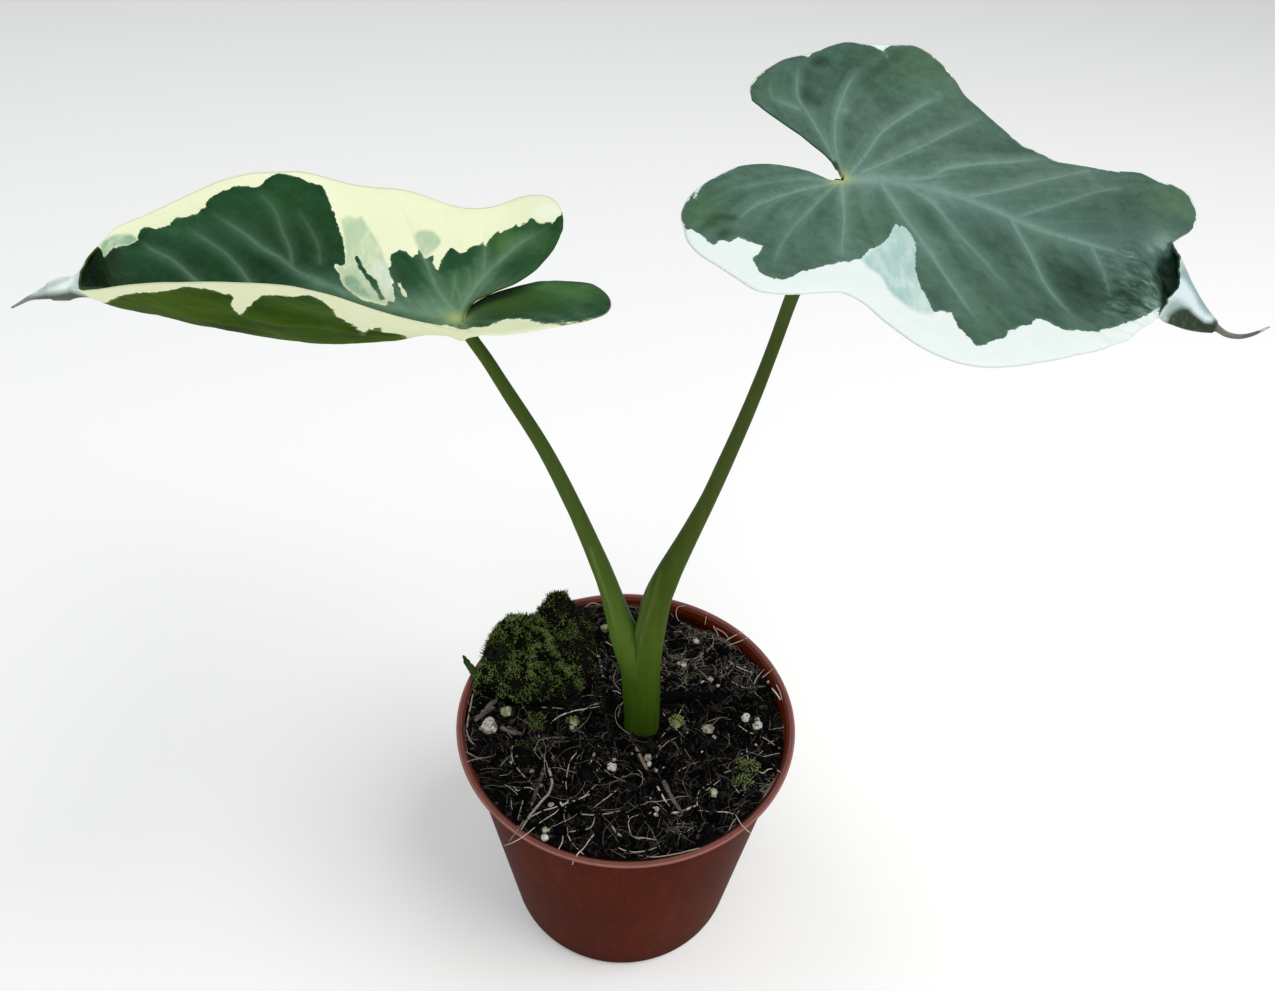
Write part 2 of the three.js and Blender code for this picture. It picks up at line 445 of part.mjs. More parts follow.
// each stalk ends flat just under its blade
function cutBelow(solid, junction, slope, drop) {
  const n = unit([-slope[0], -slope[1], 1]);
  return solid.trimByPlane([-n[0], -n[1], -n[2]], -dot(n, junction) + drop);
}
const rightStalk = cutBelow(toSolid(stalk(RIGHT_STALK, 28, 12)), RIGHT_BLADE.spine[0], [-0.17, 0.28], STALK_DROP);
const rightStalkClear = toSolid(stalk(RIGHT_STALK, 28, 12, GAP));
const leftStalk = biggest(cutBelow(toSolid(stalk(LEFT_STALK, 26, 12)), LEFT_BLADE.spine[0], [0.22, 0], STALK_DROP).subtract(rightStalkClear));
piece("right_leaf_stalk", fromSolid(rightStalk), STALK);
piece("left_leaf_stalk", fromSolid(leftStalk), STALK);

let soilClear; // the soil raised by the clearance, to seat whatever lies on it
{
  // Corm: the swollen underground stem that both stalks grow from.
  const profile = [[0, CORM_TOP - 26], [4, CORM_TOP - 25], [8.5, CORM_TOP - 20], [CORM_R, CORM_TOP - 12], [9.4, CORM_TOP - 4], [5.5, CORM_TOP], [0, CORM_TOP + 0.6]]
    .map(([x, y]) => new THREE.Vector2(x, y));
  const corm = new THREE.LatheGeometry(profile, 16);
  corm.rotateX(Math.PI / 2);
  corm.translate(3.4, 0.2, 0);
  const clearOfStalks = toSolid(corm).subtract(rightStalkClear).subtract(toSolid(stalk(LEFT_STALK, 26, 12, GAP)));
  piece("corm", fromSolid(biggest(clearOfStalks)), CORM);

  // Soil: fills the pot, with a pocket for the corm and the buried ends of the stalks.
  const inner = (z) => innerWall(z) - GAP;
  const bottomZ = POT_FLOOR + GAP;
  const edge = inner(SOIL_LEVEL - 4);
  const body = heap(ring(48, edge), [0, 0], 9, (x, y) => soilTop(x, y), () => bottomZ, inner(bottomZ) / edge);
  const pocket = new THREE.LatheGeometry(
    [[0, CORM_TOP - 27], [4.6, CORM_TOP - 26], [9.2, CORM_TOP - 20.6], [CORM_R + 0.6, CORM_TOP - 12], [10, CORM_TOP - 3], [9.4, CORM_TOP + 6], [0, CORM_TOP + 8]]
      .map(([x, y]) => new THREE.Vector2(x, y)), 16);
  pocket.rotateX(Math.PI / 2);
  pocket.translate(3.4, 0.2, 0);
  const soil = toSolid(body)
    .subtract(toSolid(pocket))
    .subtract(toSolid(stalk(RIGHT_STALK, 28, 12, GAP + 0.1)))
    .subtract(toSolid(stalk(LEFT_STALK, 26, 12, GAP + 0.1)));
  const soilBody = biggest(soil);
  piece("soil", fromSolid(soilBody), SOIL);
  soilClear = soilBody.add(soilBody.scale([1.006, 1.006, 1]).translate([0, 0, GAP]));
}
const seated = (geometry) => fromSolid(biggest(toSolid(geometry).subtract(soilClear)));

// ---------------------------------------------------------------- moss
{
  const foot = (x, y) => soilTop(x, y) - 0.6;
  const crest = (x, y) => MOSS_CRESTS.reduce((z, [cx, cy, s, h]) => z + h * Math.exp(-((x - cx) ** 2 + (y - cy) ** 2) / (2 * s * s)), 1.5);
  const dense = [];
  for (let j = 0; j < MOSS_OUTLINE.length; j++) {
    const a = MOSS_OUTLINE[j], b = MOSS_OUTLINE[(j + 1) % MOSS_OUTLINE.length];
    dense.push(a, [(a[0] + b[0]) / 2, (a[1] + b[1]) / 2]);
  }
  const kept = dense.map(([x, y]) => { const r = Math.hypot(x, y), m = 54.2; return r > m ? [(x * m) / r, (y * m) / r] : [x, y]; });
  piece("moss_clump", seated(heap(kept, [-33, 27], 6,
    (x, y, q) => soilTop(x, y) + 1.1 + crest(x, y) * (1 - 0.35 * q ** 8) + 0.7 * wave(x / 3, y / 3, 2) * (1 - q ** 4), foot)), MOSS);
}

// ---------------------------------------------------------------- loose bits on the soil
PERLITE.forEach(([x, y, r], i) => {
  const g = new THREE.IcosahedronGeometry(r, 1);
  const p = g.getAttribute("position");
  for (let k = 0; k < p.count; k++) {
    const v = [p.getX(k), p.getY(k), p.getZ(k)];
    const s = 1 - 0.1 * Math.abs(wave(v[0] / r * 1.3, v[1] / r * 1.3 + v[2] / r, i));
    p.setXYZ(k, v[0] * s, v[1] * s, v[2] * s * 0.85);
  }
  g.translate(x, y, soilTop(x, y) + 0.55 * r);
  piece("perlite_" + String(i + 1).padStart(2, "0"), seated(g), PERLITE_WHITE);
});
TWIGS.forEach(([a, b, r], i) => {
  const n = 4, rows = [];
  for (let k = 0; k <= n; k++) {
    const x = a[0] + ((b[0] - a[0]) * k) / n, y = a[1] + ((b[1] - a[1]) * k) / n, thin = r * (1 - (0.3 * k) / n);
    rows.push([x, y, soilTop(x, y) + 0.6 * r + 0.4, thin, thin]);
  }
  piece("twig_" + (i + 1), seated(twig(rows, 6, 8)), WOOD);
});
// A round tube lying along the ground.
function twig(rows, steps, sides) {
  const points = [], triangles = [];
  for (let i = 0; i <= steps; i++) {
    const t = i / steps, p = along(rows, t), q = along(rows, Math.min(1, t + 0.01)), o = along(rows, Math.max(0, t - 0.01));
    const w = unit(sub(q.slice(0, 3), o.slice(0, 3))), u = unit(cross(w, [0, 0, 1])), v = cross(w, u);
    for (let j = 0; j < sides; j++) {
      const a = (j / sides) * 2 * Math.PI;
      points.push(add(add(p.slice(0, 3), u, p[3] * Math.cos(a)), v, p[4] * Math.sin(a)));
    }
  }
  const at = (i, j) => i * sides + (j % sides), c0 = points.length, c1 = c0 + 1;
  points.push(along(rows, 0).slice(0, 3), along(rows, 1).slice(0, 3));
  for (let j = 0; j < sides; j++) {
    for (let i = 0; i < steps; i++) triangles.push([at(i, j), at(i, j + 1), at(i + 1, j + 1)], [at(i, j), at(i + 1, j + 1), at(i + 1, j)]);
    triangles.push([c0, at(0, j + 1), at(0, j)], [c1, at(steps, j), at(steps, j + 1)]);
  }
  const g = toGeometry(points, triangles);
  return toSolid(g).volume() < 0 ? toGeometry(points, triangles.map(([a, b, c]) => [a, c, b])) : g;
}
BARK.forEach(([x, y, hl, hw, hh, turn], i) => {
  const a = (turn * Math.PI) / 180, n = 12, outline = [];
  for (let j = 0; j < n; j++) {
    const t = (j / n) * 2 * Math.PI, px = hl * Math.cos(t) * (1 + 0.06 * Math.sin(3 * t + i)), py = hw * Math.sin(t);
    outline.push([x + px * Math.cos(a) - py * Math.sin(a), y + px * Math.sin(a) + py * Math.cos(a)]);
  }
  piece("bark_chip_" + (i + 1), seated(heap(outline, [x, y], 3,
    (px, py, q) => soilTop(px, py) + 0.9 + hh * 1.2 * Math.sqrt(Math.max(0, 1 - q * q)), (px, py) => soilTop(px, py) - 0.6)), WOOD);
});

piece("right_leaf_blade", fromSolid(rightBlade), BLADE);
piece("left_leaf_blade", fromSolid(leftBlade), BLADE);

export default group;
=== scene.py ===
import math
import bpy
import numpy as np
from mathutils import Matrix, Vector


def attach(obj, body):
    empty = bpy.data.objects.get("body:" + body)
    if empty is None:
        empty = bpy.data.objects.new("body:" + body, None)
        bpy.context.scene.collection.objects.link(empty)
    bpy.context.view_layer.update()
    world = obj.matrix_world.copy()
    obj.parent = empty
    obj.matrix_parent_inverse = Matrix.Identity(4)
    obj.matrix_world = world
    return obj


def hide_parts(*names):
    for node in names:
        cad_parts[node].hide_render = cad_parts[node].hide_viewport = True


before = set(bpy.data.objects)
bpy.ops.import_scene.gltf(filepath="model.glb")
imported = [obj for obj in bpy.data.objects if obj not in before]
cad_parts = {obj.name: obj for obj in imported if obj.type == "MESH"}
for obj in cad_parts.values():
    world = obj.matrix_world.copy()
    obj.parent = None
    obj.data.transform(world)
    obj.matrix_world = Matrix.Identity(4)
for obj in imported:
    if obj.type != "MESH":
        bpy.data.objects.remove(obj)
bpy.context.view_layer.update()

MM = 0.001
RNG = np.random.default_rng(20241)


# ------------------------------------------------------------------ camera
CAM = np.array([-0.41739, -236.382, 398.163])
PITCH, YAW, ROLL, FOCAL_PX = 0.699497, 0.0072022, 0.0347619, 1050.0
FWD = np.array([math.sin(YAW) * math.cos(PITCH), math.cos(YAW) * math.cos(PITCH), -math.sin(PITCH)])
_right = np.array([math.cos(YAW), -math.sin(YAW), 0.0])
_up = np.cross(_right, FWD)
CAM_R = math.cos(ROLL) * _right + math.sin(ROLL) * _up
CAM_U = -math.sin(ROLL) * _right + math.cos(ROLL) * _up


def to_view(p):
    """Where points in millimetres fall on the 1275 x 991 view."""
    d = np.asarray(p, float) - CAM
    z = d @ FWD
    return np.stack([637.5 + FOCAL_PX * (d @ CAM_R) / z, 495.5 - FOCAL_PX * (d @ CAM_U) / z], -1)


def from_view(x, y, z):
    """The point at height z that falls on view point x, y."""
    d = FWD * FOCAL_PX + CAM_R * (x - 637.5) + CAM_U * (495.5 - y)
    return CAM + d * ((z - CAM[2]) / d[2])


def from_view_y(x, yv, y):
    d = FWD * FOCAL_PX + CAM_R * (x - 637.5) + CAM_U * (495.5 - yv)
    return CAM + d * ((y - CAM[1]) / d[1])


# ------------------------------------------------------------------ small maths
def spline(rows, t):
    """Uniform Catmull-Rom through rows, t from 0 to 1."""
    P = np.asarray(rows, float)
    flat = P.ndim == 1
    if flat:
        P = P[:, None]
    n = len(P)
    x = np.clip(np.atleast_1d(t), 0, 1) * (n - 1)
    i = np.minimum(x.astype(int), n - 2)
    f = (x - i)[:, None]
    p1, p2 = P[i], P[i + 1]
    p0 = np.where((i > 0)[:, None], P[np.maximum(i - 1, 0)], 2 * p1 - p2)
    p3 = np.where((i < n - 2)[:, None], P[np.minimum(i + 2, n - 1)], 2 * p2 - p1)
    r = p1 + 0.5 * f * (p2 - p0 + f * (2 * p0 - 5 * p1 + 4 * p2 - p3 + f * (3 * (p1 - p2) + p3 - p0)))
    return r[:, 0] if flat else r


def unit(v):
    return v / np.maximum(np.linalg.norm(v, axis=-1, keepdims=True), 1e-12)


_LAT = np.random.default_rng(7).random((64, 64, 64))


def noise3(p, seed=0.0):
    """Smooth value noise, 0 to 1, of points (n, 3); one lattice cell is one unit."""
    p = np.asarray(p, float) + 1000.0 + seed * 17.31
    i = np.floor(p).astype(int)
    f = p - i
    f = f * f * (3 - 2 * f)
    out = 0
    for dx in (0, 1):
        wx = f[..., 0] if dx else 1 - f[..., 0]
        for dy in (0, 1):
            wy = f[..., 1] if dy else 1 - f[..., 1]
            for dz in (0, 1):
                wz = f[..., 2] if dz else 1 - f[..., 2]
                out = out + wx * wy * wz * _LAT[(i[..., 0] + dx) % 64, (i[..., 1] + dy) % 64, (i[..., 2] + dz) % 64]
    return out


def fbm(p, octaves=4, seed=0.0):
    p = np.asarray(p, float)
    s, a, tot = 0, 1.0, 0.0
    for k in range(octaves):
        s = s + a * noise3(p * 2.0**k, seed + k * 3.7)
        tot += a
        a *= 0.5
    return s / tot


def seg_distance(q, a, b):
    d = b - a
    t = np.clip(((q - a) @ d) / max(d @ d, 1e-9), 0, 1)
    return np.linalg.norm(q - a - t[:, None] * d, axis=1), t


def signed(q, poly):
    """Distance of view points q to a closed outline, positive inside."""
    poly = np.asarray(poly, float)
    n = len(poly)
    dist = np.full(len(q), 1e9)
    inside = np.zeros(len(q), bool)
    for k in range(n):
        a, b = poly[k], poly[(k + 1) % n]
        d, _ = seg_distance(q, a, b)
        dist = np.minimum(dist, d)
        hit = (a[1] > q[:, 1]) != (b[1] > q[:, 1])
        if a[1] != b[1]:
            xs = a[0] + (q[:, 1] - a[1]) * (b[0] - a[0]) / (b[1] - a[1])
            inside ^= hit & (q[:, 0] < xs)
    return np.where(inside, dist, -dist)


def vein_field(q, veins, least=1.7):
    """How strongly view points q lie on a vein (0 to 1), and a wider glow round it."""
    core = np.zeros(len(q))
    glow = np.zeros(len(q))
    for pts, w0, w1 in veins:
        pts = np.asarray(pts, float)
        if len(pts) > 2:
            pts = spline(pts, np.linspace(0, 1, 6 * (len(pts) - 1) + 1))
        seg = np.linalg.norm(np.diff(pts, axis=0), axis=1)
        s = np.concatenate([[0], np.cumsum(seg)]) / max(seg.sum(), 1e-9)
        best = np.full(len(q), 1e9)
        at = np.zeros(len(q))
        for k in range(len(pts) - 1):
            d, t = seg_distance(q, pts[k], pts[k + 1])
            closer = d < best
            best = np.where(closer, d, best)
            at = np.where(closer, s[k] + (s[k + 1] - s[k]) * t, at)
        w = w0 + (w1 - w0) * at
        fade = np.clip((1.0 - at) * 5, 0.0, 1) * np.clip(w / least, 0.3, 1)
        w = np.maximum(w, least)
        core = np.maximum(core, np.exp(-((best / w) ** 2)) * fade)
        glow = np.maximum(glow, np.exp(-((best / (w * 4.0)) ** 2)) * fade)
    return core, glow


# ------------------------------------------------------------------ meshes
def make_piece(name, verts_mm, faces, materials, slots=None, attrs=None, smooth=True):
    me = bpy.data.meshes.new(name)
    me.from_pydata((np.asarray(verts_mm, float) * MM).tolist(), [], [tuple(int(i) for i in f) for f in faces])
    for m in materials:
        me.materials.append(m)
    if slots is not None:
        me.polygons.foreach_set("material_index", np.asarray(slots, np.int32))
    me.polygons.foreach_set("use_smooth", np.full(len(me.polygons), smooth))
    for key, values in (attrs or {}).items():
        a = me.attributes.new(key, "FLOAT", "POINT")
        a.data.foreach_set("value", np.asarray(values, np.float32))
    me.update()
    ob = bpy.data.objects.new(name, me)
    bpy.context.scene.collection.objects.link(ob)
    return ob


def tube_mesh(path, radii, sides, squash=None, up=(0, 0, 1), taper_ends=True):
    """A closed tube along path (n, 3); radii (n,) or (n, 2). Returns vertices and faces."""
    path = np.asarray(path, float)
    n = len(path)
    radii = np.asarray(radii, float)
    if radii.ndim == 1:
        radii = np.stack([radii, radii], 1)
    tan = unit(np.gradient(path, axis=0))
    ref = np.tile(np.asarray(up, float), (n, 1))
    u = unit(np.cross(tan, ref) + 1e-9)
    v = np.cross(u, tan)
    a = np.arange(sides) / sides * 2 * np.pi
    ring = path[:, None] + u[:, None] * (np.cos(a)[None, :, None] * radii[:, 0][:, None, None]) + v[:, None] * (np.sin(a)[None, :, None] * radii[:, 1][:, None, None])
    V = ring.reshape(-1, 3)
    V = np.vstack([V, path[:1], path[-1:]])
    F = []
    for i in range(n - 1):
        for j in range(sides):
            k = (j + 1) % sides
            F.append((i * sides + j, (i + 1) * sides + j, (i + 1) * sides + k, i * sides + k))
    c0, c1 = n * sides, n * sides + 1
    for j in range(sides):
        k = (j + 1) % sides
        F.append((c0, j, k))
        F.append((c1, (n - 1) * sides + k, (n - 1) * sides + j))
    return V, F


class Pile:
    """Many small closed shapes gathered into one piece."""

    def __init__(self):
        self.v, self.f, self.a, self.s, self.n = [], [], [], [], 0

    def add(self, V, F, slot=0, **attrs):
        self.v.append(np.asarray(V, float))
        self.f.extend([tuple(i + self.n for i in f) for f in F])
        self.s.extend([slot] * len(F))
        self.a.append({k: np.broadcast_to(np.asarray(x, float), (len(V),)) for k, x in attrs.items()})
        self.n += len(V)

    def piece(self, name, materials, smooth=True):
        keys = sorted(set(k for a in self.a for k in a))
        attrs = {k: np.concatenate([a.get(k, np.zeros(len(v))) for a, v in zip(self.a, self.v)]) for k in keys}
        return make_piece(name, np.vstack(self.v), self.f, materials, self.s, attrs, smooth)


def ico(level):
    """Unit icosphere."""
    t = (1 + 5**0.5) / 2
    V = [[-1, t, 0], [1, t, 0], [-1, -t, 0], [1, -t, 0], [0, -1, t], [0, 1, t], [0, -1, -t], [0, 1, -t], [t, 0, -1], [t, 0, 1], [-t, 0, -1], [-t, 0, 1]]
    F = [(0, 11, 5), (0, 5, 1), (0, 1, 7), (0, 7, 10), (0, 10, 11), (1, 5, 9), (5, 11, 4), (11, 10, 2), (10, 7, 6), (7, 1, 8), (3, 9, 4), (3, 4, 2), (3, 2, 6), (3, 6, 8), (3, 8, 9), (4, 9, 5), (2, 4, 11), (6, 2, 10), (8, 6, 7), (9, 8, 1)]
    V = [list(np.array(v) / np.linalg.norm(v)) for v in V]
    for _ in range(level):
        cache, G = {}, []

        def mid(a, b):
            k = (min(a, b), max(a, b))
            if k not in cache:
                m = np.array(V[a]) + np.array(V[b])
                V.append(list(m / np.linalg.norm(m)))
                cache[k] = len(V) - 1
            return cache[k]

        for a, b, c in F:
            ab, bc, ca = mid(a, b), mid(b, c), mid(c, a)
            G += [(a, ab, ca), (b, bc, ab), (c, ca, bc), (ab, bc, ca)]
        F = G
    return np.array(V), F


ICO = {k: ico(k) for k in (0, 1, 2, 3)}


# ------------------------------------------------------------------ materials
def lin(r, g, b):
    """8-bit screen colour to linear RGBA."""
    f = lambda c: (c / 255 / 12.92) if c <= 10.31 else ((c / 255 + 0.055) / 1.055) ** 2.4
    return (f(r), f(g), f(b), 1.0)


class Nodes:
    """Short names for building a node tree."""

    def __init__(self, name):
        self.mat = bpy.data.materials.new(name)
        self.mat.use_nodes = True
        self.t = self.mat.node_tree
        self.t.nodes.clear()
        self.out = self.t.nodes.new("ShaderNodeOutputMaterial")
        self.bsdf = self.t.nodes.new("ShaderNodeBsdfPrincipled")
        self.t.links.new(self.bsdf.outputs[0], self.out.inputs[0])
        self.co = self.t.nodes.new("ShaderNodeTexCoord").outputs["Object"]

    def put(self, socket, value):
        if hasattr(value, "is_linked") or isinstance(value, bpy.types.NodeSocket):
            self.t.links.new(value, socket)
        else:
            socket.default_value = value

    def set(self, **kw):
        for k, v in kw.items():
            self.put(self.bsdf.inputs[k.replace("_", " ")], v)
        return self

    def attr(self, name):
        n = self.t.nodes.new("ShaderNodeAttribute")
        n.attribute_name = name
        return n.outputs["Fac"]

    def math(self, op, a, b=0.0, clamp=False):
        n = self.t.nodes.new("ShaderNodeMath")
        n.operation = op
        n.use_clamp = clamp
        self.put(n.inputs[0], a)
        self.put(n.inputs[1], b)
        return n.outputs[0]

    def noise(self, scale, detail=4.0, rough=0.5, warp=0.0, vec=None, dims="3D"):
        n = self.t.nodes.new("ShaderNodeTexNoise")
        self.put(n.inputs["Vector"], self.co if vec is None else vec)
        n.inputs["Scale"].default_value = scale
        n.inputs["Detail"].default_value = detail
        n.inputs["Roughness"].default_value = rough
        n.inputs["Distortion"].default_value = warp
        return n.outputs["Fac"]

    def voronoi(self, scale, feature="F1", vec=None, rand=1.0, out="Distance"):
        n = self.t.nodes.new("ShaderNodeTexVoronoi")
        n.feature = feature
        self.put(n.inputs["Vector"], self.co if vec is None else vec)
        n.inputs["Scale"].default_value = scale
        n.inputs["Randomness"].default_value = rand
        return n.outputs[out]

    def step(self, x, lo, hi, to0=0.0, to1=1.0):
        """Smooth step from to0 at lo to to1 at hi."""
        n = self.t.nodes.new("ShaderNodeMapRange")
        n.interpolation_type = "SMOOTHSTEP"
        self.put(n.inputs["Value"], x)
        n.inputs["From Min"].default_value = lo
        n.inputs["From Max"].default_value = hi
        n.inputs["To Min"].default_value = to0
        n.inputs["To Max"].default_value = to1
        return n.outputs[0]

    def mix(self, fac, a, b, blend="MIX"):
        n = self.t.nodes.new("ShaderNodeMix")
        n.data_type = "RGBA"
        n.blend_type = blend
        self.put(n.inputs[0], fac)
        self.put(n.inputs[6], a)
        self.put(n.inputs[7], b)
        return n.outputs[2]

    def ramp(self, fac, stops):
        n = self.t.nodes.new("ShaderNodeValToRGB")
        r = n.color_ramp
        while len(r.elements) < len(stops):
            r.elements.new(0.5)
        for e, (p, c) in zip(r.elements, stops):
            e.position = p
            e.color = c
        self.put(n.inputs[0], fac)
        return n.outputs[0]

    def scale(self, x, y, z, vec=None):
        n = self.t.nodes.new("ShaderNodeMapping")
        self.put(n.inputs["Vector"], self.co if vec is None else vec)
        n.inputs["Scale"].default_value = (x, y, z)
        return n.outputs[0]

    def bump(self, height, strength=0.3, distance=0.0005, normal=None):
        n = self.t.nodes.new("ShaderNodeBump")
        n.inputs["Strength"].default_value = strength
        n.inputs["Distance"].default_value = distance
        self.put(n.inputs["Height"], height)
        if normal is not None:
            self.put(n.inputs["Normal"], normal)
        self.t.links.new(n.outputs[0], self.bsdf.inputs["Normal"])
        return n.outputs[0]


# ------------------------------------------------------------------ fast mesh makers
def volume6(V, F):
    a, b, c = V[F[:, 0]], V[F[:, 1]], V[F[:, 2]]
    return float(np.einsum("ij,ij->i", a, np.cross(b, c)).sum())


def fast_piece(name, V, F, materials, attrs=None, slots=None, smooth=True, node=None):
    """A piece from a triangle array, riding the one body."""
    V, F = np.asarray(V, float), np.asarray(F, np.int64)
    me = bpy.data.meshes.new(name)
    me.vertices.add(len(V))
    me.vertices.foreach_set("co", (V * MM).astype(np.float32).ravel())
    me.loops.add(F.size)
    me.loops.foreach_set("vertex_index", F.astype(np.int32).ravel())
    me.polygons.add(len(F))
    me.polygons.foreach_set("loop_start", np.arange(0, F.size, F.shape[1], dtype=np.int32))
    for m in materials:
        me.materials.append(m)
    if slots is not None:
        me.polygons.foreach_set("material_index", np.asarray(slots, np.int32))
    me.polygons.foreach_set("use_smooth", np.full(len(F), smooth))
    me.update(calc_edges=True)
    me.validate()
    for key, values in (attrs or {}).items():
        a = me.attributes.new(key, "FLOAT", "POINT")
        a.data.foreach_set("value", np.asarray(values, np.float32))
    ob = bpy.data.objects.new(name, me)
    bpy.context.scene.collection.objects.link(ob)
    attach(ob, "root")
    if node:
        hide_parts(*([node] if isinstance(node, str) else node))
    return ob


def turn_matrices(n, rng, tilt=None):
    """n random rotations."""
    q = rng.normal(size=(n, 4))
    q /= np.linalg.norm(q, axis=1, keepdims=True)
    w, x, y, z = q.T
    return np.stack([
        np.stack([1 - 2 * (y * y + z * z), 2 * (x * y - z * w), 2 * (x * z + y * w)], -1),
        np.stack([2 * (x * y + z * w), 1 - 2 * (x * x + z * z), 2 * (y * z - x * w)], -1),
        np.stack([2 * (x * z - y * w), 2 * (y * z + x * w), 1 - 2 * (x * x + y * y)], -1),
    ], 1)


def lumps(at, sizes, rng, level=1, rough=0.28):
    """Irregular closed lumps at points (n, 3) with half sizes (n, 3)."""
    T, G = ICO[level]
    n, m = len(at), len(T)
    V = T[None] * (1 + rough * (rng.random((n, m, 1)) * 2 - 1)) * sizes[:, None]
    V = np.einsum("nij,nmj->nmi", turn_matrices(n, rng), V) + at[:, None]
    F = (np.array(G)[None] + (np.arange(n) * m)[:, None, None]).reshape(-1, 3)
    V = V.reshape(-1, 3)
    return V, (F if volume6(V, F) > 0 else F[:, ::-1]), m


def fibres(paths, radii, sides=4):
    """Closed thin tubes along paths (n, k, 3) with radii (n, k)."""
    n, k = paths.shape[:2]
    tan = unit(np.gradient(paths, axis=1))
    ref = unit(np.array([0.31, 0.17, 0.93]))
    u = unit(np.cross(tan, ref))
    v = np.cross(u, tan)
    a = np.arange(sides) / sides * 2 * np.pi
    ring = paths[:, :, None] + (u[:, :, None] * np.cos(a)[None, None, :, None] + v[:, :, None] * np.sin(a)[None, None, :, None]) * radii[:, :, None, None]
    V = np.concatenate([ring.reshape(n, -1, 3), paths[:, :1], paths[:, -1:]], 1)
    F = []
    for i in range(k - 1):
        for j in range(sides):
            j2 = (j + 1) % sides
            F += [(i * sides + j, (i + 1) * sides + j, (i + 1) * sides + j2), (i * sides + j, (i + 1) * sides + j2, i * sides + j2)]
    for j in range(sides):
        j2 = (j + 1) % sides
        F += [(k * sides, j, j2), (k * sides + 1, (k - 1) * sides + j2, (k - 1) * sides + j)]
    m = V.shape[1]
    F = (np.array(F)[None] + (np.arange(n) * m)[:, None, None]).reshape(-1, 3)
    V = V.reshape(-1, 3)
    return V, (F if volume6(V - V.mean(0), F) > 0 else F[:, ::-1]), m


def gather(parts):
    """Several (V, F, attrs) sets as one."""
    V, F, A, n = [], [], {}, 0
    keys = sorted(set(k for p in parts for k in p[2]))
    for v, f, a in parts:
        V.append(v)
        F.append(np.asarray(f) + n)
        for k in keys:
            A.setdefault(k, []).append(np.broadcast_to(np.asarray(a.get(k, 0.0), float), (len(v),)))
        n += len(v)
    return np.vstack(V), np.vstack(F), {k: np.concatenate(x) for k, x in A.items()}


def shown(r, g, b, gloss=0.03, light=1.0):
    """The surface colour that shows as this screen colour in the studio light."""
    c = lin(r, g, b)
    return tuple(max(0.0012, (c[k] - gloss) / light) for k in range(3)) + (1.0,)


# ------------------------------------------------------------------ camera, light and floor
scene = bpy.context.scene
cam_data = bpy.data.cameras.new("view")
cam_data.sensor_fit = "HORIZONTAL"
cam_data.sensor_width = 36.0
cam_data.lens = FOCAL_PX / 1275 * 36.0
cam_data.clip_start, cam_data.clip_end = 0.01, 20.0
cam = bpy.data.objects.new("view", cam_data)
scene.collection.objects.link(cam)
cam.matrix_world = Matrix([
    [CAM_R[0], CAM_U[0], -FWD[0], CAM[0] * MM],
    [CAM_R[1], CAM_U[1], -FWD[1], CAM[1] * MM],
    [CAM_R[2], CAM_U[2], -FWD[2], CAM[2] * MM],
    [0, 0, 0, 1],
])
scene.camera = cam
scene.view_settings.view_transform = "Standard"
scene.view_settings.look = "None"
scene.view_settings.exposure = 0.0
scene.view_settings.gamma = 1.0

world = bpy.data.worlds.new("studio")
scene.world = world
world.use_nodes = True
world.node_tree.nodes["Background"].inputs["Color"].default_value = (0.93, 0.97, 1.0, 1.0)
world.node_tree.nodes["Background"].inputs["Strength"].default_value = 0.34


def soft_light(name, at, target, size, watts, colour=(1, 1, 1)):
    d = bpy.data.lights.new(name, "AREA")
    d.shape = "DISK"
    d.size = size
    d.energy = watts
    d.color = colour
    o = bpy.data.objects.new(name, d)
    scene.collection.objects.link(o)
    o.location = at
    o.rotation_euler = (Vector(target) - Vector(at)).to_track_quat("-Z", "Y").to_euler()
    return o


soft_light("key", (0.80, -0.25, 1.45), (0.0, 0.0, 0.2), 1.2, 17.5, (1.0, 0.985, 0.96))
soft_light("fill", (-1.0, 0.35, 1.35), (0.0, 0.0, 0.2), 1.5, 6.0, (0.96, 0.985, 1.0))
soft_light("front", (-0.25, -1.7, 0.75), (0.0, 0.0, 0.2), 1.3, 6.5, (1.0, 0.99, 0.97))

n = Nodes("floor_pale")
n.set(Base_Color=lin(246, 246, 245), Roughness=0.9)
n.bsdf.inputs["Specular IOR Level"].default_value = 0.1
n.bsdf.inputs["Emission Color"].default_value = (1.0, 1.0, 1.0, 1.0)
n.bsdf.inputs["Emission Strength"].default_value = 0.14
floor = make_piece("floor", [[-6000, -6000, -0.4], [6000, -6000, -0.4], [6000, 6000, -0.4], [-6000, 6000, -0.4]], [(0, 1, 2, 3)], [n.mat])


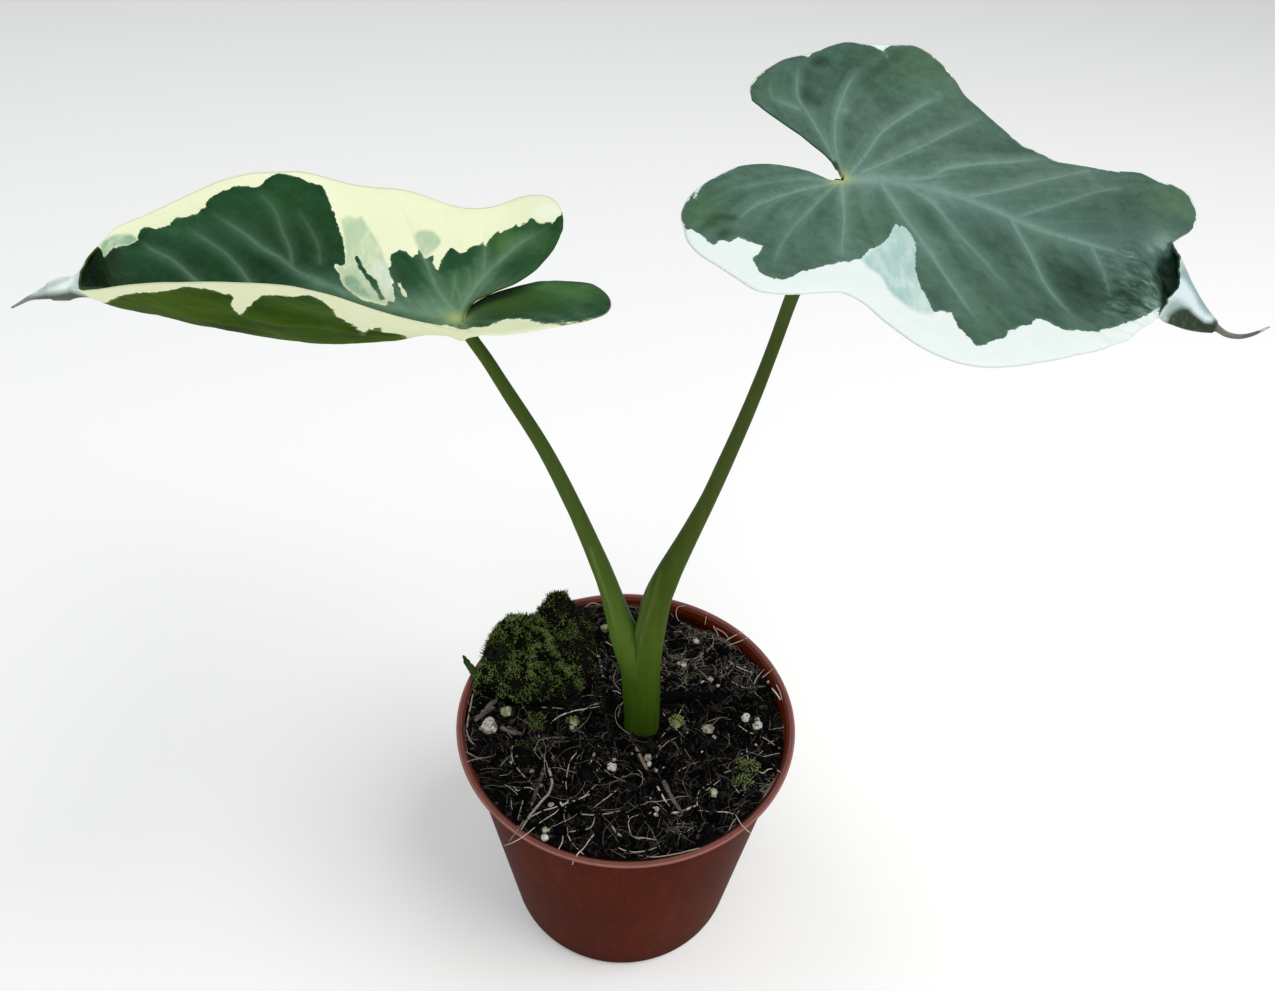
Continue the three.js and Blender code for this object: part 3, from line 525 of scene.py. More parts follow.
# ------------------------------------------------------------------ leaf blades
# Control points of each blade: midrib, front and back margin, cleft edges, pouch rim and tail.
RIGHT = dict(
    spine=[
    [46.8, -0, 297.9], [56.7, 2.4, 296.9], [66.7, 3.3, 295.4], [76.8, 2.4, 293.1], [86.5, 0.3, 290.4], [96.4, -2.2, 287.5], [106.5, -2.8, 285.1],
    [117.2, -3.1, 282.4], [128.4, -1.5, 275.5]],
    sin_n=[
    [46.8, -0, 297.9], [43.3, -1, 298.2], [39.8, -0.3, 299], [36.3, 0.1, 299.7], [32.7, 0, 300.3], [29.1, -0.6, 300.8], [25.6, -1.7, 301.1],
    [22.4, -3.4, 301.3], [19.5, -5.6, 301.5]],
    near=[
    [19.5, -5.6, 301.5], [16.3, -9.2, 301.5], [13.4, -13.2, 301.4], [11, -17.4, 301.2], [9.2, -22, 300.9], [8.3, -26.7, 300.4], [8.8, -31.5, 299.7],
    [9.6, -36.3, 299], [12, -40.2, 298.1], [15.8, -43.2, 297.1], [19.5, -46.2, 296.1], [23.3, -48.9, 295.1], [28.1, -48.6, 294.3], [32.7, -47.2, 293.7],
    [37.2, -45.3, 293.1], [41.8, -44.1, 292.5], [45.9, -46.5, 291.5], [48.8, -50.3, 290.5], [51.9, -53.9, 289.6], [55.4, -57.2, 288.6], [59.6, -59.3, 287.5],
    [64.3, -60.3, 286.5], [69, -59.9, 285.7], [73.6, -58.3, 284.9], [78, -56.3, 284.2], [82.3, -54, 283.6], [86.5, -51.7, 282.9], [90.6, -49.1, 282.3],
    [94.8, -46.7, 281.7], [98.9, -44.1, 281.1], [102.7, -41.1, 280.5], [106.6, -38.2, 280], [109.4, -34.9, 279.7], [112.6, -31.3, 279.1], [115.8, -27.7, 278.4],
    [119, -24, 277.6]],
    sin_f=[
    [46.8, -0, 297.9], [45.7, 3.6, 299.2], [43.4, 6.4, 300.7], [40.4, 8.6, 302], [37.6, 10.9, 303.4], [34.5, 13, 304.7], [31.4, 15, 306],
    [28.3, 17.1, 307.3], [25.7, 19.7, 308.8]],
    far=[
    [25.7, 19.7, 308.8], [25.5, 24.2, 310.6], [27.8, 28.4, 311.9], [30.9, 32, 312.8], [34.5, 35.5, 313.6], [38.7, 37.9, 313.9], [43, 40.4, 314.2],
    [46.9, 43.4, 314.8], [51.2, 45.9, 315.1], [56, 46.9, 314.6], [60.7, 48, 314.3], [65.4, 49.2, 313.9], [70.2, 50.1, 313.4], [74.5, 48.4, 311.8],
    [77.9, 45.3, 309.9], [80.1, 41.4, 307.8], [81.9, 37.2, 305.7], [85.1, 34, 303.8], [88.5, 31, 301.8], [91.8, 27.9, 299.9], [95.4, 25, 297.9],
    [99.9, 23.8, 296.5], [104.4, 22.5, 294.9], [109.3, 22.9, 294], [114.1, 23.7, 293.1], [118.9, 24.3, 292.2], [123.7, 25.6, 291.5], [128.4, 26.9, 290.8],
    [133, 25.9, 289.3], [137.8, 26.1, 288.1], [142, 24.5, 286.3], [142.5, 20.1, 284.4], [141.4, 15.5, 282.9], [138.5, 11.7, 282.3], [134.8, 8.3, 282.4],
    [131.1, 5, 282.5]],
    rim=[
    [121.7, -20.4, 279], [124.2, -17.2, 279.7], [126.2, -14.6, 280.9], [127.8, -10.9, 281.9], [129.1, -6.3, 282.6], [130.3, -0.6, 282.7]],
    tail=[
    [142.9, -10, 266.7], [145.7, -10, 265.3], [148.5, -10.5, 265.2], [150.3, -11.5, 266.4], [151.6, -12.5, 268.1], [152.1, -14, 270.1]],
    tail_r=[0.8, 0.7, 0.6, 0.5, 0.4, 0.25],
    fan=0.27, sag_n=[0, 0.3, 0.8, 1.2, 1.0, 0.4], sag_f=[0, 0.3, 0.8, 1.2, 1.0, 0.4], shrink=1.0, dip=1.2)
LEFT = dict(
    spine=[
    [-46, -0, 256.2], [-52, 0.3, 255], [-60, 0.7, 251.6], [-70, 1.3, 249.3], [-82, 1.9, 248.2], [-94, 2.5, 248.6], [-106, 3.2, 250.2],
    [-118, 3.8, 251.9], [-128, 4.3, 253.8], [-136, 4.8, 255.9]],
    sin_n=[
    [-46, -0, 256.2], [-44.6, 7.3, 256.6], [-41.1, 13.8, 256.6], [-34.9, 17.2, 257.7], [-28.5, 15.6, 260.4], [-23.5, 11, 263.4], [-18.5, 6.2, 266],
    [-13.6, 1.1, 268.2], [-9.8, -5, 270.2]],
    near=[
    [-9.8, -5, 270.2], [-8.4, -9.2, 271.4], [-7.3, -13.5, 272.5], [-6.7, -18, 273.6], [-6.8, -22.4, 274.7], [-7.7, -26.7, 275.8], [-9.7, -30.7, 277],
    [-12.6, -34.1, 277.9], [-16.2, -36.8, 278.6], [-20.4, -38.8, 278.7], [-24.8, -40.1, 278.4], [-29.3, -41, 278.2], [-33.8, -41.4, 278.5], [-38.4, -41.3, 279.1],
    [-42.9, -40.8, 279.7], [-47.4, -40, 280.1], [-51.9, -39.3, 280.9], [-56.3, -39.2, 282.2], [-60.4, -39.8, 284.1], [-64.6, -40.2, 285.9], [-69.1, -40.1, 287],
    [-73.5, -39.1, 287.3], [-77.9, -37.8, 286.9], [-82.3, -36.5, 286.3], [-86.7, -35.4, 285.7], [-91.2, -34.5, 285.2], [-95.7, -33.7, 284.6], [-100.2, -32.9, 283.9],
    [-104.6, -31.9, 283.2], [-109, -30.8, 282.2], [-113.1, -29.2, 280.9], [-117, -27.4, 279.4], [-120.8, -25.4, 277.7], [-124.5, -23.2, 276], [-128.1, -20.9, 274.4],
    [-131.7, -18.5, 272.7]],
    sin_f=[
    [-46, -0, 256.2], [-43.9, 4.9, 258.9], [-38.4, 7.6, 260.6], [-32.7, 10.1, 262.2], [-28.2, 14.4, 263.4], [-25.8, 20.2, 263.7], [-24, 26.4, 263.8],
    [-22.7, 32.7, 264.2], [-22, 39, 264.7]],
    far=[
    [-22, 39, 264.7], [-22.3, 43.3, 265.4], [-23.2, 47.5, 266.1], [-24.9, 51.4, 266.6], [-27.8, 54.6, 266.8], [-31.8, 56.2, 266.4], [-35.9, 55.5, 265.8],
    [-39.6, 53.1, 265.3], [-43, 50.5, 265.1], [-47, 48.8, 265.1], [-51.3, 48.4, 265.3], [-55.5, 49.4, 265.6], [-59.6, 50.9, 266.2], [-63.7, 52, 267.1],
    [-67.9, 52.4, 268.1], [-72.2, 52.1, 268.8], [-76.4, 51.3, 269.3], [-80.6, 50.6, 270], [-84.9, 50.2, 270.9], [-89, 49.8, 272.2], [-93, 49, 273.7],
    [-97, 47.8, 274.9], [-100.9, 46, 275.5], [-105, 44.5, 275.8], [-109.1, 43.3, 275.9], [-113.1, 41.6, 275.5], [-117, 39.7, 274.9], [-120.6, 37.5, 273.9],
    [-124.1, 35.1, 272.9], [-127.6, 32.8, 271.8], [-131.1, 30.4, 270.7], [-134.6, 28.2, 269.6], [-138.3, 26, 268.7], [-141.2, 23.1, 267.9], [-142, 18.8, 267.3],
    [-142.4, 14.5, 267]],
    rim=[
    [-134.4, -13, 271.5], [-136.9, -7.5, 270.3], [-139, -2, 269.3], [-140.4, 3.5, 268.8], [-141.5, 9, 268.1]],
    tail=[
    [-144.2, -3, 264.1], [-148, -3, 263.2], [-151.4, -3, 262.1], [-154.3, -3, 261.1], [-157.3, -3, 259.5], [-159.9, -3, 258.1]],
    tail_r=[2.7, 2, 1.2, 0.65, 0.4, 0.25],
    fan=0.28, sag_n=[0, 1.0, 2.6, 3.8, 3.4, 1.0], sag_f=[0, 0.4, 0.9, 1.0, 1.0, 0.6], shrink=1.9, dip=0.0)

FAN, REST, ROWS = 70, 205, 58
POUCH, TAIL, RIM = 26, 26, 40

# Edges of the colour patches and the courses of the veins, as seen in the front view.
RIGHT_DARK = [
    (679, 218), (682, 210), (686, 203), (691, 196), (695, 191), (694, 199), (696, 200), (699, 190), (703, 185),
    (709, 181), (717, 177), (727, 173), (735, 170), (745, 160), (740, 120), (749, 91), (753, 83), (760, 75),
    (770, 66), (783, 58), (795, 55.5), (800, 54.6), (806, 55.4), (808, 57.5), (812, 54), (820, 48.6), (833, 43.6),
    (843, 41), (850, 40.4), (858, 43), (866, 44), (874, 47), (880, 50), (883, 53), (887, 58), (884.5, 52),
    (885, 48), (893, 45.6), (903, 43.6), (913, 44.6), (922, 48), (931, 54), (940, 62), (948, 71), (955, 79),
    (962, 88), (975, 102), (990, 117), (1006, 130), (1013, 138), (1022, 145), (1034, 151), (1046, 154.6),
    (1048, 157), (1052, 161), (1060, 162), (1080, 165), (1100, 168), (1112, 171.6), (1118, 172), (1122, 170.6),
    (1142, 172), (1150, 176), (1158, 182), (1163, 183), (1168, 184.6), (1173, 184.4), (1180, 188), (1188, 196),
    (1193, 204), (1196.6, 212), (1196, 219), (1193, 225), (1195, 232), (1240, 236), (1240, 292), (1180, 289),
    (1172, 297), (1161, 306), (1145, 317), (1125, 325), (1110, 329), (1099, 333), (1081, 332.6), (1062, 331), (1049, 324),
    (1035, 320), (1032, 323), (1030, 327), (1021, 328), (1007, 333), (1005, 340), (995, 341), (985, 346),
    (974, 348), (970, 341), (964, 336), (955, 327), (953, 319), (951, 314), (941, 312), (937, 314), (931, 313),
    (928, 304), (923, 294), (917.6, 284), (915, 272), (914, 262), (915.6, 250), (914, 242), (909, 234), (905, 229),
    (901, 226), (899, 229), (895, 225), (890, 236), (884, 243), (877, 248), (870, 250), (861, 260), (850, 263),
    (841, 263.6), (825, 267), (815, 271), (800, 273), (790, 279), (781, 282), (770, 280), (759, 274), (755, 266),
    (751.5, 259), (758, 254), (762.5, 248), (760, 246), (748, 244), (738, 240), (730, 243), (720, 242.6), (712, 246),
    (705, 241), (699, 235), (692, 230), (686.6, 229.5), (685, 225),
]
RIGHT_MINT = [
    (861, 261), (872, 250), (884, 243), (895, 223), (903, 224), (916, 242), (917, 262), (920, 286), (932, 306),
    (932, 316), (915, 313.5), (903, 306), (893, 298), (887, 290), (884, 283), (879, 276), (868, 269),
]
LEFT_LIGHT = [
    (79, 291), (60, 300), (40, 100), (640, 100), (640, 200), (563.6, 206), (562.6, 209), (560, 215), (556, 221),
    (552.6, 226), (550, 223.6), (545, 224), (540, 224), (536, 222.4), (532, 219), (528, 222), (523, 226), (519, 229),
    (517, 226), (513, 227), (508, 230), (503, 233.6), (500, 235), (498.6, 231), (496, 233.6), (492, 238), (488, 242),
    (486, 245), (483, 241.6), (480, 244.4), (475, 246), (470, 249), (466, 254), (460, 255), (456, 252), (452, 249.6),
    (447, 253), (443, 259), (440, 266), (438, 272), (436, 270), (434, 262), (433, 256), (430, 257), (427, 258.6),
    (423, 256), (417, 244), (418, 254), (415, 256), (412, 258.4), (409, 256), (406, 252), (400, 251.6), (395, 253), (391.6, 255),
    (391, 259), (391, 266), (388, 268.6), (390, 275), (394, 282), (392, 285), (393, 290), (395, 298), (394, 301.6),
    (388, 300.6), (386, 303.6), (376, 303.4), (366, 301), (357, 297), (349, 291), (343, 284), (340, 277),
    (334.6, 267.6), (336, 265), (341, 267), (346, 266.6), (345, 251), (343, 239), (339, 228), (333, 212), (328, 197),
    (324, 187.4), (316, 185), (306, 181.4), (296, 177), (287, 174), (279, 173), (272, 175), (266, 179), (262, 185),
    (257, 188), (249, 187), (240, 186.4), (232, 187.4), (224, 191), (217, 195), (211, 197.4), (207, 201),
    (206, 207.6), (201, 209.6), (197, 215), (191, 216.8), (183, 217.8), (175, 218), (173, 221), (170, 225.6),
    (163, 227.6), (156, 230), (150, 227.6), (144, 227), (138.6, 233.4), (138.4, 241), (134, 243), (129, 246.4),
    (121, 246.6), (112, 248.4), (107, 252.6), (104, 258), (101, 258), (101.6, 253), (99.5, 247), (92, 252),
    (86, 258), (81, 272), (79, 284),
]
LEFT_WEDGE = [(357, 257), (361, 262), (366, 272), (371, 276.6), (376, 280), (379, 288), (383, 296), (386, 300), (380, 299.6), (375, 291), (370, 284), (364, 275.6), (358, 267), (355, 259)]
LEFT_SLIVER = [(398, 283), (401, 284), (405, 291), (408, 297), (404, 296), (400, 290)]
LEFT_MINTS = [
    ([(100, 246), (104, 241), (112, 236.4), (122, 234.6), (132, 235.6), (137, 239), (138.4, 241), (134, 243), (129, 246.4), (121, 246.6), (112, 248.4), (107, 252.6), (104, 258), (101, 258)], 0.75),
    ([(341, 221), (347, 217), (352, 217.6), (357, 220), (361, 217), (366, 224), (372, 234), (378, 243), (382, 251), (384, 259), (388, 267), (390, 275), (393, 286), (395, 301), (380, 303), (357, 297), (343, 284), (336, 266), (346, 266), (346, 252), (344, 236)], 0.45),
    ([(345, 277), (352, 276), (360, 283), (366, 291), (372, 299), (362, 298), (352, 291), (346, 284)], 0.4),
    ([(413, 235), (418, 231.6), (426, 231), (434, 233), (440, 239), (441, 244), (436, 250), (428, 256), (422, 254), (418, 247), (414, 241)], 0.5),
]
LEFT_WHITES_AND_HIGHLIGHT = [[(372, 262), (380, 262), (390, 272), (393, 290), (390, 299), (381, 290), (374, 276)], [(534, 206), (541, 203), (549, 204), (561, 208), (556, 220), (545, 222), (536, 219)]]
LEFT_UNDER = [
    (108, 300), (113, 298), (120, 296), (127, 293.6), (140, 292.6), (160, 291), (175, 288.4), (183, 286.6), (192, 286.6),
    (205, 287.6), (213, 289.6), (222, 292), (231, 293.6), (234, 296.6), (232, 301), (230, 304), (236, 308),
    (240, 312.6), (242, 312.6), (245, 308), (251, 303), (258, 299), (264, 295.6), (276, 295.4), (286, 297.6),
    (294, 299), (301, 296), (307, 296), (314, 299), (322, 303), (328, 309), (334, 315), (338, 320), (344, 324.6),
    (352, 328.6), (358, 332), (363, 334), (368, 332.6), (371, 329), (376, 326.4), (382, 328), (386, 331), (390, 333.6),
    (397, 333), (403, 333.6), (408, 335.6), (413, 337.4), (413, 352), (60, 352), (60, 302),
]
LEFT_LOBE = [
    (415, 318), (425, 322.6), (442, 325), (458, 328), (470, 330), (483, 328), (496, 324.6), (508, 321), (520, 320.4),
    (530, 322), (540, 325), (550, 325.6), (560, 324.6), (575, 322), (590, 319.5), (602, 316.5), (613, 310), (640, 304), (640, 262), (415, 262),
]
RIGHT_VEINS = [
    ([(842, 180), (883, 180), (923, 186), (964, 198), (1004, 214), (1045, 231), (1085, 243), (1126, 255), (1160, 264)], 4.2, 1.3),
    ([(840, 181), (822, 185), (794, 192), (765, 202), (749, 210), (739, 220), (734, 232)], 2.2, 0.9),
    ([(842, 182), (845, 215), (843, 240), (842, 262)], 3.0, 1.2),
    ([(838, 183), (815, 205), (790, 232), (778, 252), (772, 272)], 1.5, 0.7),
    ([(882, 182), (897, 205), (915, 231), (930, 252), (948, 279), (965, 304), (983, 330)], 3.0, 1.2),
    ([(905, 184), (935, 205), (960, 236), (985, 262), (1005, 285), (1020, 300)], 1.6, 0.7),
    ([(1012, 219), (1029, 250), (1045, 283), (1060, 303), (1078, 322)], 2.2, 1.0),
    ([(1092, 248), (1103, 272), (1110, 300)], 1.4, 0.7),
    ([(843, 172), (837, 150), (836, 121), (842, 100), (851, 80), (865, 66)], 2.4, 1.2),
    ([(852, 172), (868, 152), (883, 131), (911, 112), (930, 102), (945, 99)], 2.8, 1.0),
    ([(862, 172), (890, 160), (925, 145), (955, 130), (985, 118)], 1.8, 0.9),
    ([(872, 178), (925, 178), (948, 168), (985, 163), (1020, 161), (1052, 160)], 2.8, 1.4),
    ([(964, 198), (1004, 190), (1045, 180), (1085, 172), (1110, 172)], 1.8, 0.8),
    ([(1020, 216), (1060, 204), (1100, 192), (1140, 186)], 1.3, 0.6),
    ([(838, 166), (826, 142), (808, 113), (798, 97), (797, 75), (799, 60)], 2.0, 1.0),
    ([(800, 110), (785, 104), (772, 98), (769, 80)], 1.2, 0.7),
    ([(836, 181), (800, 180), (760, 185), (725, 190)], 1.2, 0.5),
]
LEFT_VEINS = [
    ([(458, 317), (430, 314), (405, 308), (380, 303), (350, 292), (320, 282), (290, 274)], 5.0, 2.2),
    ([(459, 317), (438, 289), (426, 262), (417, 243), (405, 217), (396, 200)], 3.0, 1.0),
    ([(459, 316), (468, 298), (484, 276), (500, 260), (525, 240), (551, 229)], 2.8, 1.0),
    ([(484, 276), (485, 258), (484, 240), (483, 225)], 1.5, 0.6),
    ([(410, 300), (398, 290), (392, 278), (384, 262)], 1.4, 0.7),
    ([(345, 293), (322, 280), (300, 272), (281, 258), (262, 247), (246, 234), (230, 224), (206, 209)], 2.3, 0.9),
    ([(292, 262), (290, 248), (282, 230), (276, 212), (266, 200), (252, 190)], 1.3, 0.5),
    ([(250, 282), (240, 268), (227, 254), (213, 244), (200, 236), (182, 226)], 1.5, 0.8),
    ([(197, 281), (185, 270), (170, 258), (152, 249), (140, 240)], 1.8, 1.0),
    ([(320, 262), (318, 245), (308, 225), (296, 208)], 0.8, 0.4),
    ([(452, 300), (455, 282), (456, 268)], 1.2, 0.5),
    ([(466, 296), (470, 280), (468, 264)], 1.2, 0.5),
]


def half_blade(L, side):
    i = np.arange(FAN + REST + 1)
    u = np.where(i <= FAN, L["fan"] * i / FAN, L["fan"] + (1 - L["fan"]) * (i - FAN) / REST)
    w = np.maximum(0, (u - L["fan"]) / (1 - L["fan"])) ** 1.7
    v = np.linspace(0, 1, ROWS + 1)
    margin, cleft, sag = (L["near"], L["sin_n"], L["sag_n"]) if side == "n" else (L["far"], L["sin_f"], L["sag_f"])
    M, S, g = spline(margin, u), spline(L["spine"], w), spline(sag, u)
    E = spline(cleft, v)
    dev = E - (np.array(cleft[0]) + (np.array(cleft[-1]) - np.array(cleft[0])) * v[:, None])
    P = S[:, None] + (M - S)[:, None] * v[None, :, None] + (np.maximum(0, 1 - u / 0.28) ** 2)[:, None, None] * dev[None]
    P[..., 2] -= g[:, None] * (4 * v * (1 - v))[None]
    return P, u, v


def near_veins(L, plan):
    """Vein courses on the front half, given as margin place to margin place along the fan."""
    out = []
    for us, ue, vs, ve, w0, w1 in plan:
        q = np.linspace(0, 1, 14)
        uu, vv = us + (ue - us) * q**1.25, vs + (ve - vs) * q
        w = np.maximum(0, (uu - L["fan"]) / (1 - L["fan"])) ** 1.7
        M, S, g = spline(L["near"], uu), spline(L["spine"], w), spline(L["sag_n"], uu)
        E = spline(L["sin_n"], vv)
        dev = E - (np.array(L["sin_n"][0]) + (np.array(L["sin_n"][-1]) - np.array(L["sin_n"][0])) * vv[:, None])
        P = S + (M - S) * vv[:, None] + ((np.maximum(0, 1 - uu / 0.28) ** 2)[:, None]) * dev
        P[:, 2] -= g * 4 * vv * (1 - vv)
        out.append((P, w0, w1))
    return out


def blob(q, spots):
    t = np.zeros(len(q))
    for x, y, rx, ry, amount in spots:
        t += amount * np.exp(-(((q[:, 0] - x) / rx) ** 2) - ((q[:, 1] - y) / ry) ** 2)
    return t


def paint(q, base, layers):
    """Soft-edged patches of colour laid over one another."""
    c = np.tile(np.array(lin(*base)[:3]), (len(q), 1))
    for poly, colour, soft in layers:
        k = np.clip(signed(q, poly) / soft * 0.5 + 0.5, 0, 1)[:, None]
        c = c * (1 - k) + np.array(lin(*colour)[:3]) * k
    return c


def build_blade(name, L, node, mats):
    left = L["spine"][0][0] < 0
    N, u, v = half_blade(L, "n")
    F, _, _ = half_blade(L, "f")
    ni = FAN + REST
    spine = np.vstack([N[0, 0][None], N[FAN + 1 :, 0]])
    P = [spine]
    nb = len(spine)
    fb = nb + (ni + 1) * ROWS
    P += [N[:, 1:].reshape(-1, 3), F[:, 1:].reshape(-1, 3)]
    sp = lambda i: 0 if i <= FAN else i - FAN
    idn = lambda i, j: sp(i) if j == 0 else nb + i * ROWS + j - 1
    idf = lambda i, j: sp(i) if j == 0 else fb + i * ROWS + j - 1
    n_sheet = fb + (ni + 1) * ROWS
    rim_rows = np.vstack([N[-1, -1][None], np.array(L["rim"]), F[-1, -1][None]])
    rim = spline(rim_rows, np.linspace(1, 0, RIM + 2))[1:-1]
    P.append(rim)
    P0 = np.vstack(P)
    mouth = [idn(ni, j) for j in range(ROWS, -1, -1)] + [idf(ni, j) for j in range(1, ROWS + 1)] + list(range(n_sheet, n_sheet + RIM))
    m = len(mouth)
    loop0 = P0[mouth]
    c0 = loop0.mean(0)
    T = np.array(L["tail"])
    axis = unit(T[0] - c0)
    d = loop0 - c0
    out = unit(d - (d @ axis)[:, None] * axis)
    loops = []
    r0 = max(L["tail_r"][0], 0.8)
    radius = [99.0]
    for k in range(1, POUCH + 1):
        q = k / POUCH
        s = (1 - q) ** L["shrink"]
        c = c0 + (T[0] - c0) * q - np.array([0, 0, L["dip"] * 4 * q * (1 - q)])
        loops.append(c + (loop0 - c0) * s + out * r0 * q)
        radius.append(r0 * q + 14 * s)
    before = T[0]
    for k in range(1, TAIL + 1):
        t = k / TAIL
        c, r = spline(T, [t])[0], max(0.16, float(spline(L["tail_r"], [t])[0]))
        w = unit(c - before)
        loops.append(c + unit(out - (out @ w)[:, None] * w) * r)
        radius.append(r)
        before = c
    ids = [mouth]
    for lp in loops:
        ids.append(list(range(len(P0), len(P0) + m)))
        P0 = np.vstack([P0, lp])
    blind = next(k for k, r in enumerate(radius) if r < 1.9) - 1
    faces = []
    for i in range(ni):
        for j in range(ROWS):
            a, b, c, e = idn(i, j), idn(i, j + 1), idn(i + 1, j + 1), idn(i + 1, j)
            faces.append((b, c, e) if a == e else (a, b, c, e))
            a, b, c, e = idf(i, j), idf(i + 1, j), idf(i + 1, j + 1), idf(i, j + 1)
            faces.append((a, c, e) if a == b else (a, b, c, e))
    sheet_faces = len(faces)
    level = [0] * sheet_faces
    for k in range(len(ids) - 1):
        for j in range(m):
            j2 = (j + 1) % m
            faces.append((ids[k][j], ids[k + 1][j], ids[k + 1][j2], ids[k][j2]))
            level.append(k + 1)
    if left:
        faces = [f[::-1] for f in faces]

    # normals of the sheet, towards its upper side
    def normals(X):
        nr = np.zeros_like(X)
        quads = np.array([f if len(f) == 4 else (f[0], f[1], f[2], f[2]) for f in faces])
        cr = np.cross(X[quads[:, 2]] - X[quads[:, 0]], X[quads[:, 3]] - X[quads[:, 1]])
        tri = quads[:, 2] == quads[:, 3]
        cr[tri] = np.cross(X[quads[tri, 1]] - X[quads[tri, 0]], X[quads[tri, 2]] - X[quads[tri, 0]])
        for c in range(4):
            np.add.at(nr, quads[:, c], cr)
        return unit(nr)

    total = len(P0)
    px = to_view(P0)
    U = np.zeros(total)
    V = np.zeros(total)
    side = np.zeros(total)
    U[nb:fb] = np.repeat(u, ROWS)
    V[nb:fb] = np.tile(v[1:], ni + 1)
    side[nb:fb] = -1
    U[fb:n_sheet] = np.repeat(u, ROWS)
    V[fb:n_sheet] = np.tile(v[1:], ni + 1)
    side[fb:n_sheet] = 1
    U[: nb] = np.concatenate([[0.3], u[FAN + 1 :]])
    in_pouch = np.zeros(total)
    for k, row in enumerate(ids):
        in_pouch[row] = np.maximum(in_pouch[row], k / POUCH)

    # veins, relief and colour fields
    if left:
        core, glow = vein_field(px, LEFT_VEINS)
        plan = [(0.30, 0.44, 0.02, 0.93, 0.9, 0.4), (0.36, 0.56, 0.02, 0.93, 0.8, 0.3), (0.46, 0.68, 0.02, 0.93, 0.8, 0.3), (0.57, 0.80, 0.02, 0.92, 0.8, 0.3), (0.70, 0.90, 0.02, 0.9, 0.7, 0.3), (0.20, 0.24, 0.03, 0.88, 0.16, 0.1)]
        courses = near_veins(L, plan) + [(np.array(L["spine"]), 1.9, 0.9)]
        nc, ng = vein_field(P0, courses, 0.7)
        near = side <= 0
        core, glow = np.where(near, nc, np.maximum(core * (side > 0), vein_field(P0, [(np.array(L["spine"]), 1.9, 0.9)], 0.7)[0])), np.where(near, ng, glow)
        light = signed(px, LEFT_LIGHT)
        sd = np.maximum(-light, signed(px, LEFT_WEDGE))
        sd = np.minimum(sd, -signed(px, LEFT_SLIVER))
        near_dark = np.maximum(signed(px, LEFT_UNDER), signed(px, LEFT_LOBE))
        sd = np.where(side < 0, near_dark, sd)
        # the midrib strip joins the two halves
        sd = np.where((side == 0) & (in_pouch == 0), np.maximum(sd, 2.0), sd)
        mint = np.zeros(total)
        for poly, amount in LEFT_MINTS:
            mint += amount * np.clip(signed(px, poly) / 3 + 0.5, 0, 1)
        mint *= side > 0
        # whiter patches on the far half; the one on the far tip is a painted highlight
        white_and_highlight = np.zeros(total)
        for poly in LEFT_WHITES_AND_HIGHLIGHT:
            white_and_highlight = np.maximum(white_and_highlight, np.clip(signed(px, poly) / 6 + 0.5, 0, 1))
        white_and_highlight *= 0.4 * (side > 0)
        upper = (side > 0) | ((in_pouch > 0) & (px[:, 1] < 287))
        # the tone mixes the leaf's own tone with painted shade: dark in the pouch mouth at the tip, on the near lobe
        # where the far lobe shades it, and along the lower edge of the hanging half
        tone_and_painted_light = np.where(upper, 0.40, 0.5) + np.where(
            upper,
            blob(px, [(480, 285, 60, 28, 0.24), (520, 240, 34, 22, 0.10), (406, 303, 42, 9, 0.30), (365, 294, 24, 8, 0.26), (438, 313, 26, 8, 0.26), (250, 205, 40, 14, 0.05), (300, 240, 40, 30, -0.08), (120, 255, 30, 16, -0.04), (90, 268, 20, 30, -0.27), (108, 284, 24, 10, -0.16), (160, 272, 40, 12, -0.05), (330, 285, 30, 9, 0.16), (200, 235, 60, 14, 0.05), (503, 243, 14, 14, 0.10)]),
            blob(px, [(492, 306, 30, 13, -0.60), (525, 300, 50, 14, -0.20), (566, 300, 24, 12, 0.10), (462, 317, 14, 6, -0.1), (560, 288, 46, 8, 0.14), (590, 300, 24, 12, 0.06), (540, 316, 50, 6, 0.05), (160, 302, 50, 14, 0.08), (215, 296, 12, 7, -0.08), (300, 310, 40, 14, 0.05), (250, 326, 90, 6, -0.14), (360, 335, 30, 5, -0.12)]),
        )
        # warm: a yellower tint; on the hanging half the yellow-green is partly the leaf's own colour, partly painted
        # light shining through the leaf
        warm = np.where(side > 0, blob(px, [(503, 243, 14, 14, 0.7), (275, 225, 40, 30, 0.14), (540, 240, 26, 16, 0.3)]), blob(px, [(170, 303, 60, 18, 0.4), (570, 292, 44, 12, 0.7), (500, 304, 44, 14, 0.7)]))
    else:
        core, glow = vein_field(px, RIGHT_VEINS)
        sd = signed(px, RIGHT_DARK)
        sd = np.where(side == 0, np.maximum(sd, 2.0), sd)
        mint = 0.62 * np.clip(signed(px, RIGHT_MINT) / 4 + 0.5, 0, 1)
        white_and_highlight = np.zeros(total)
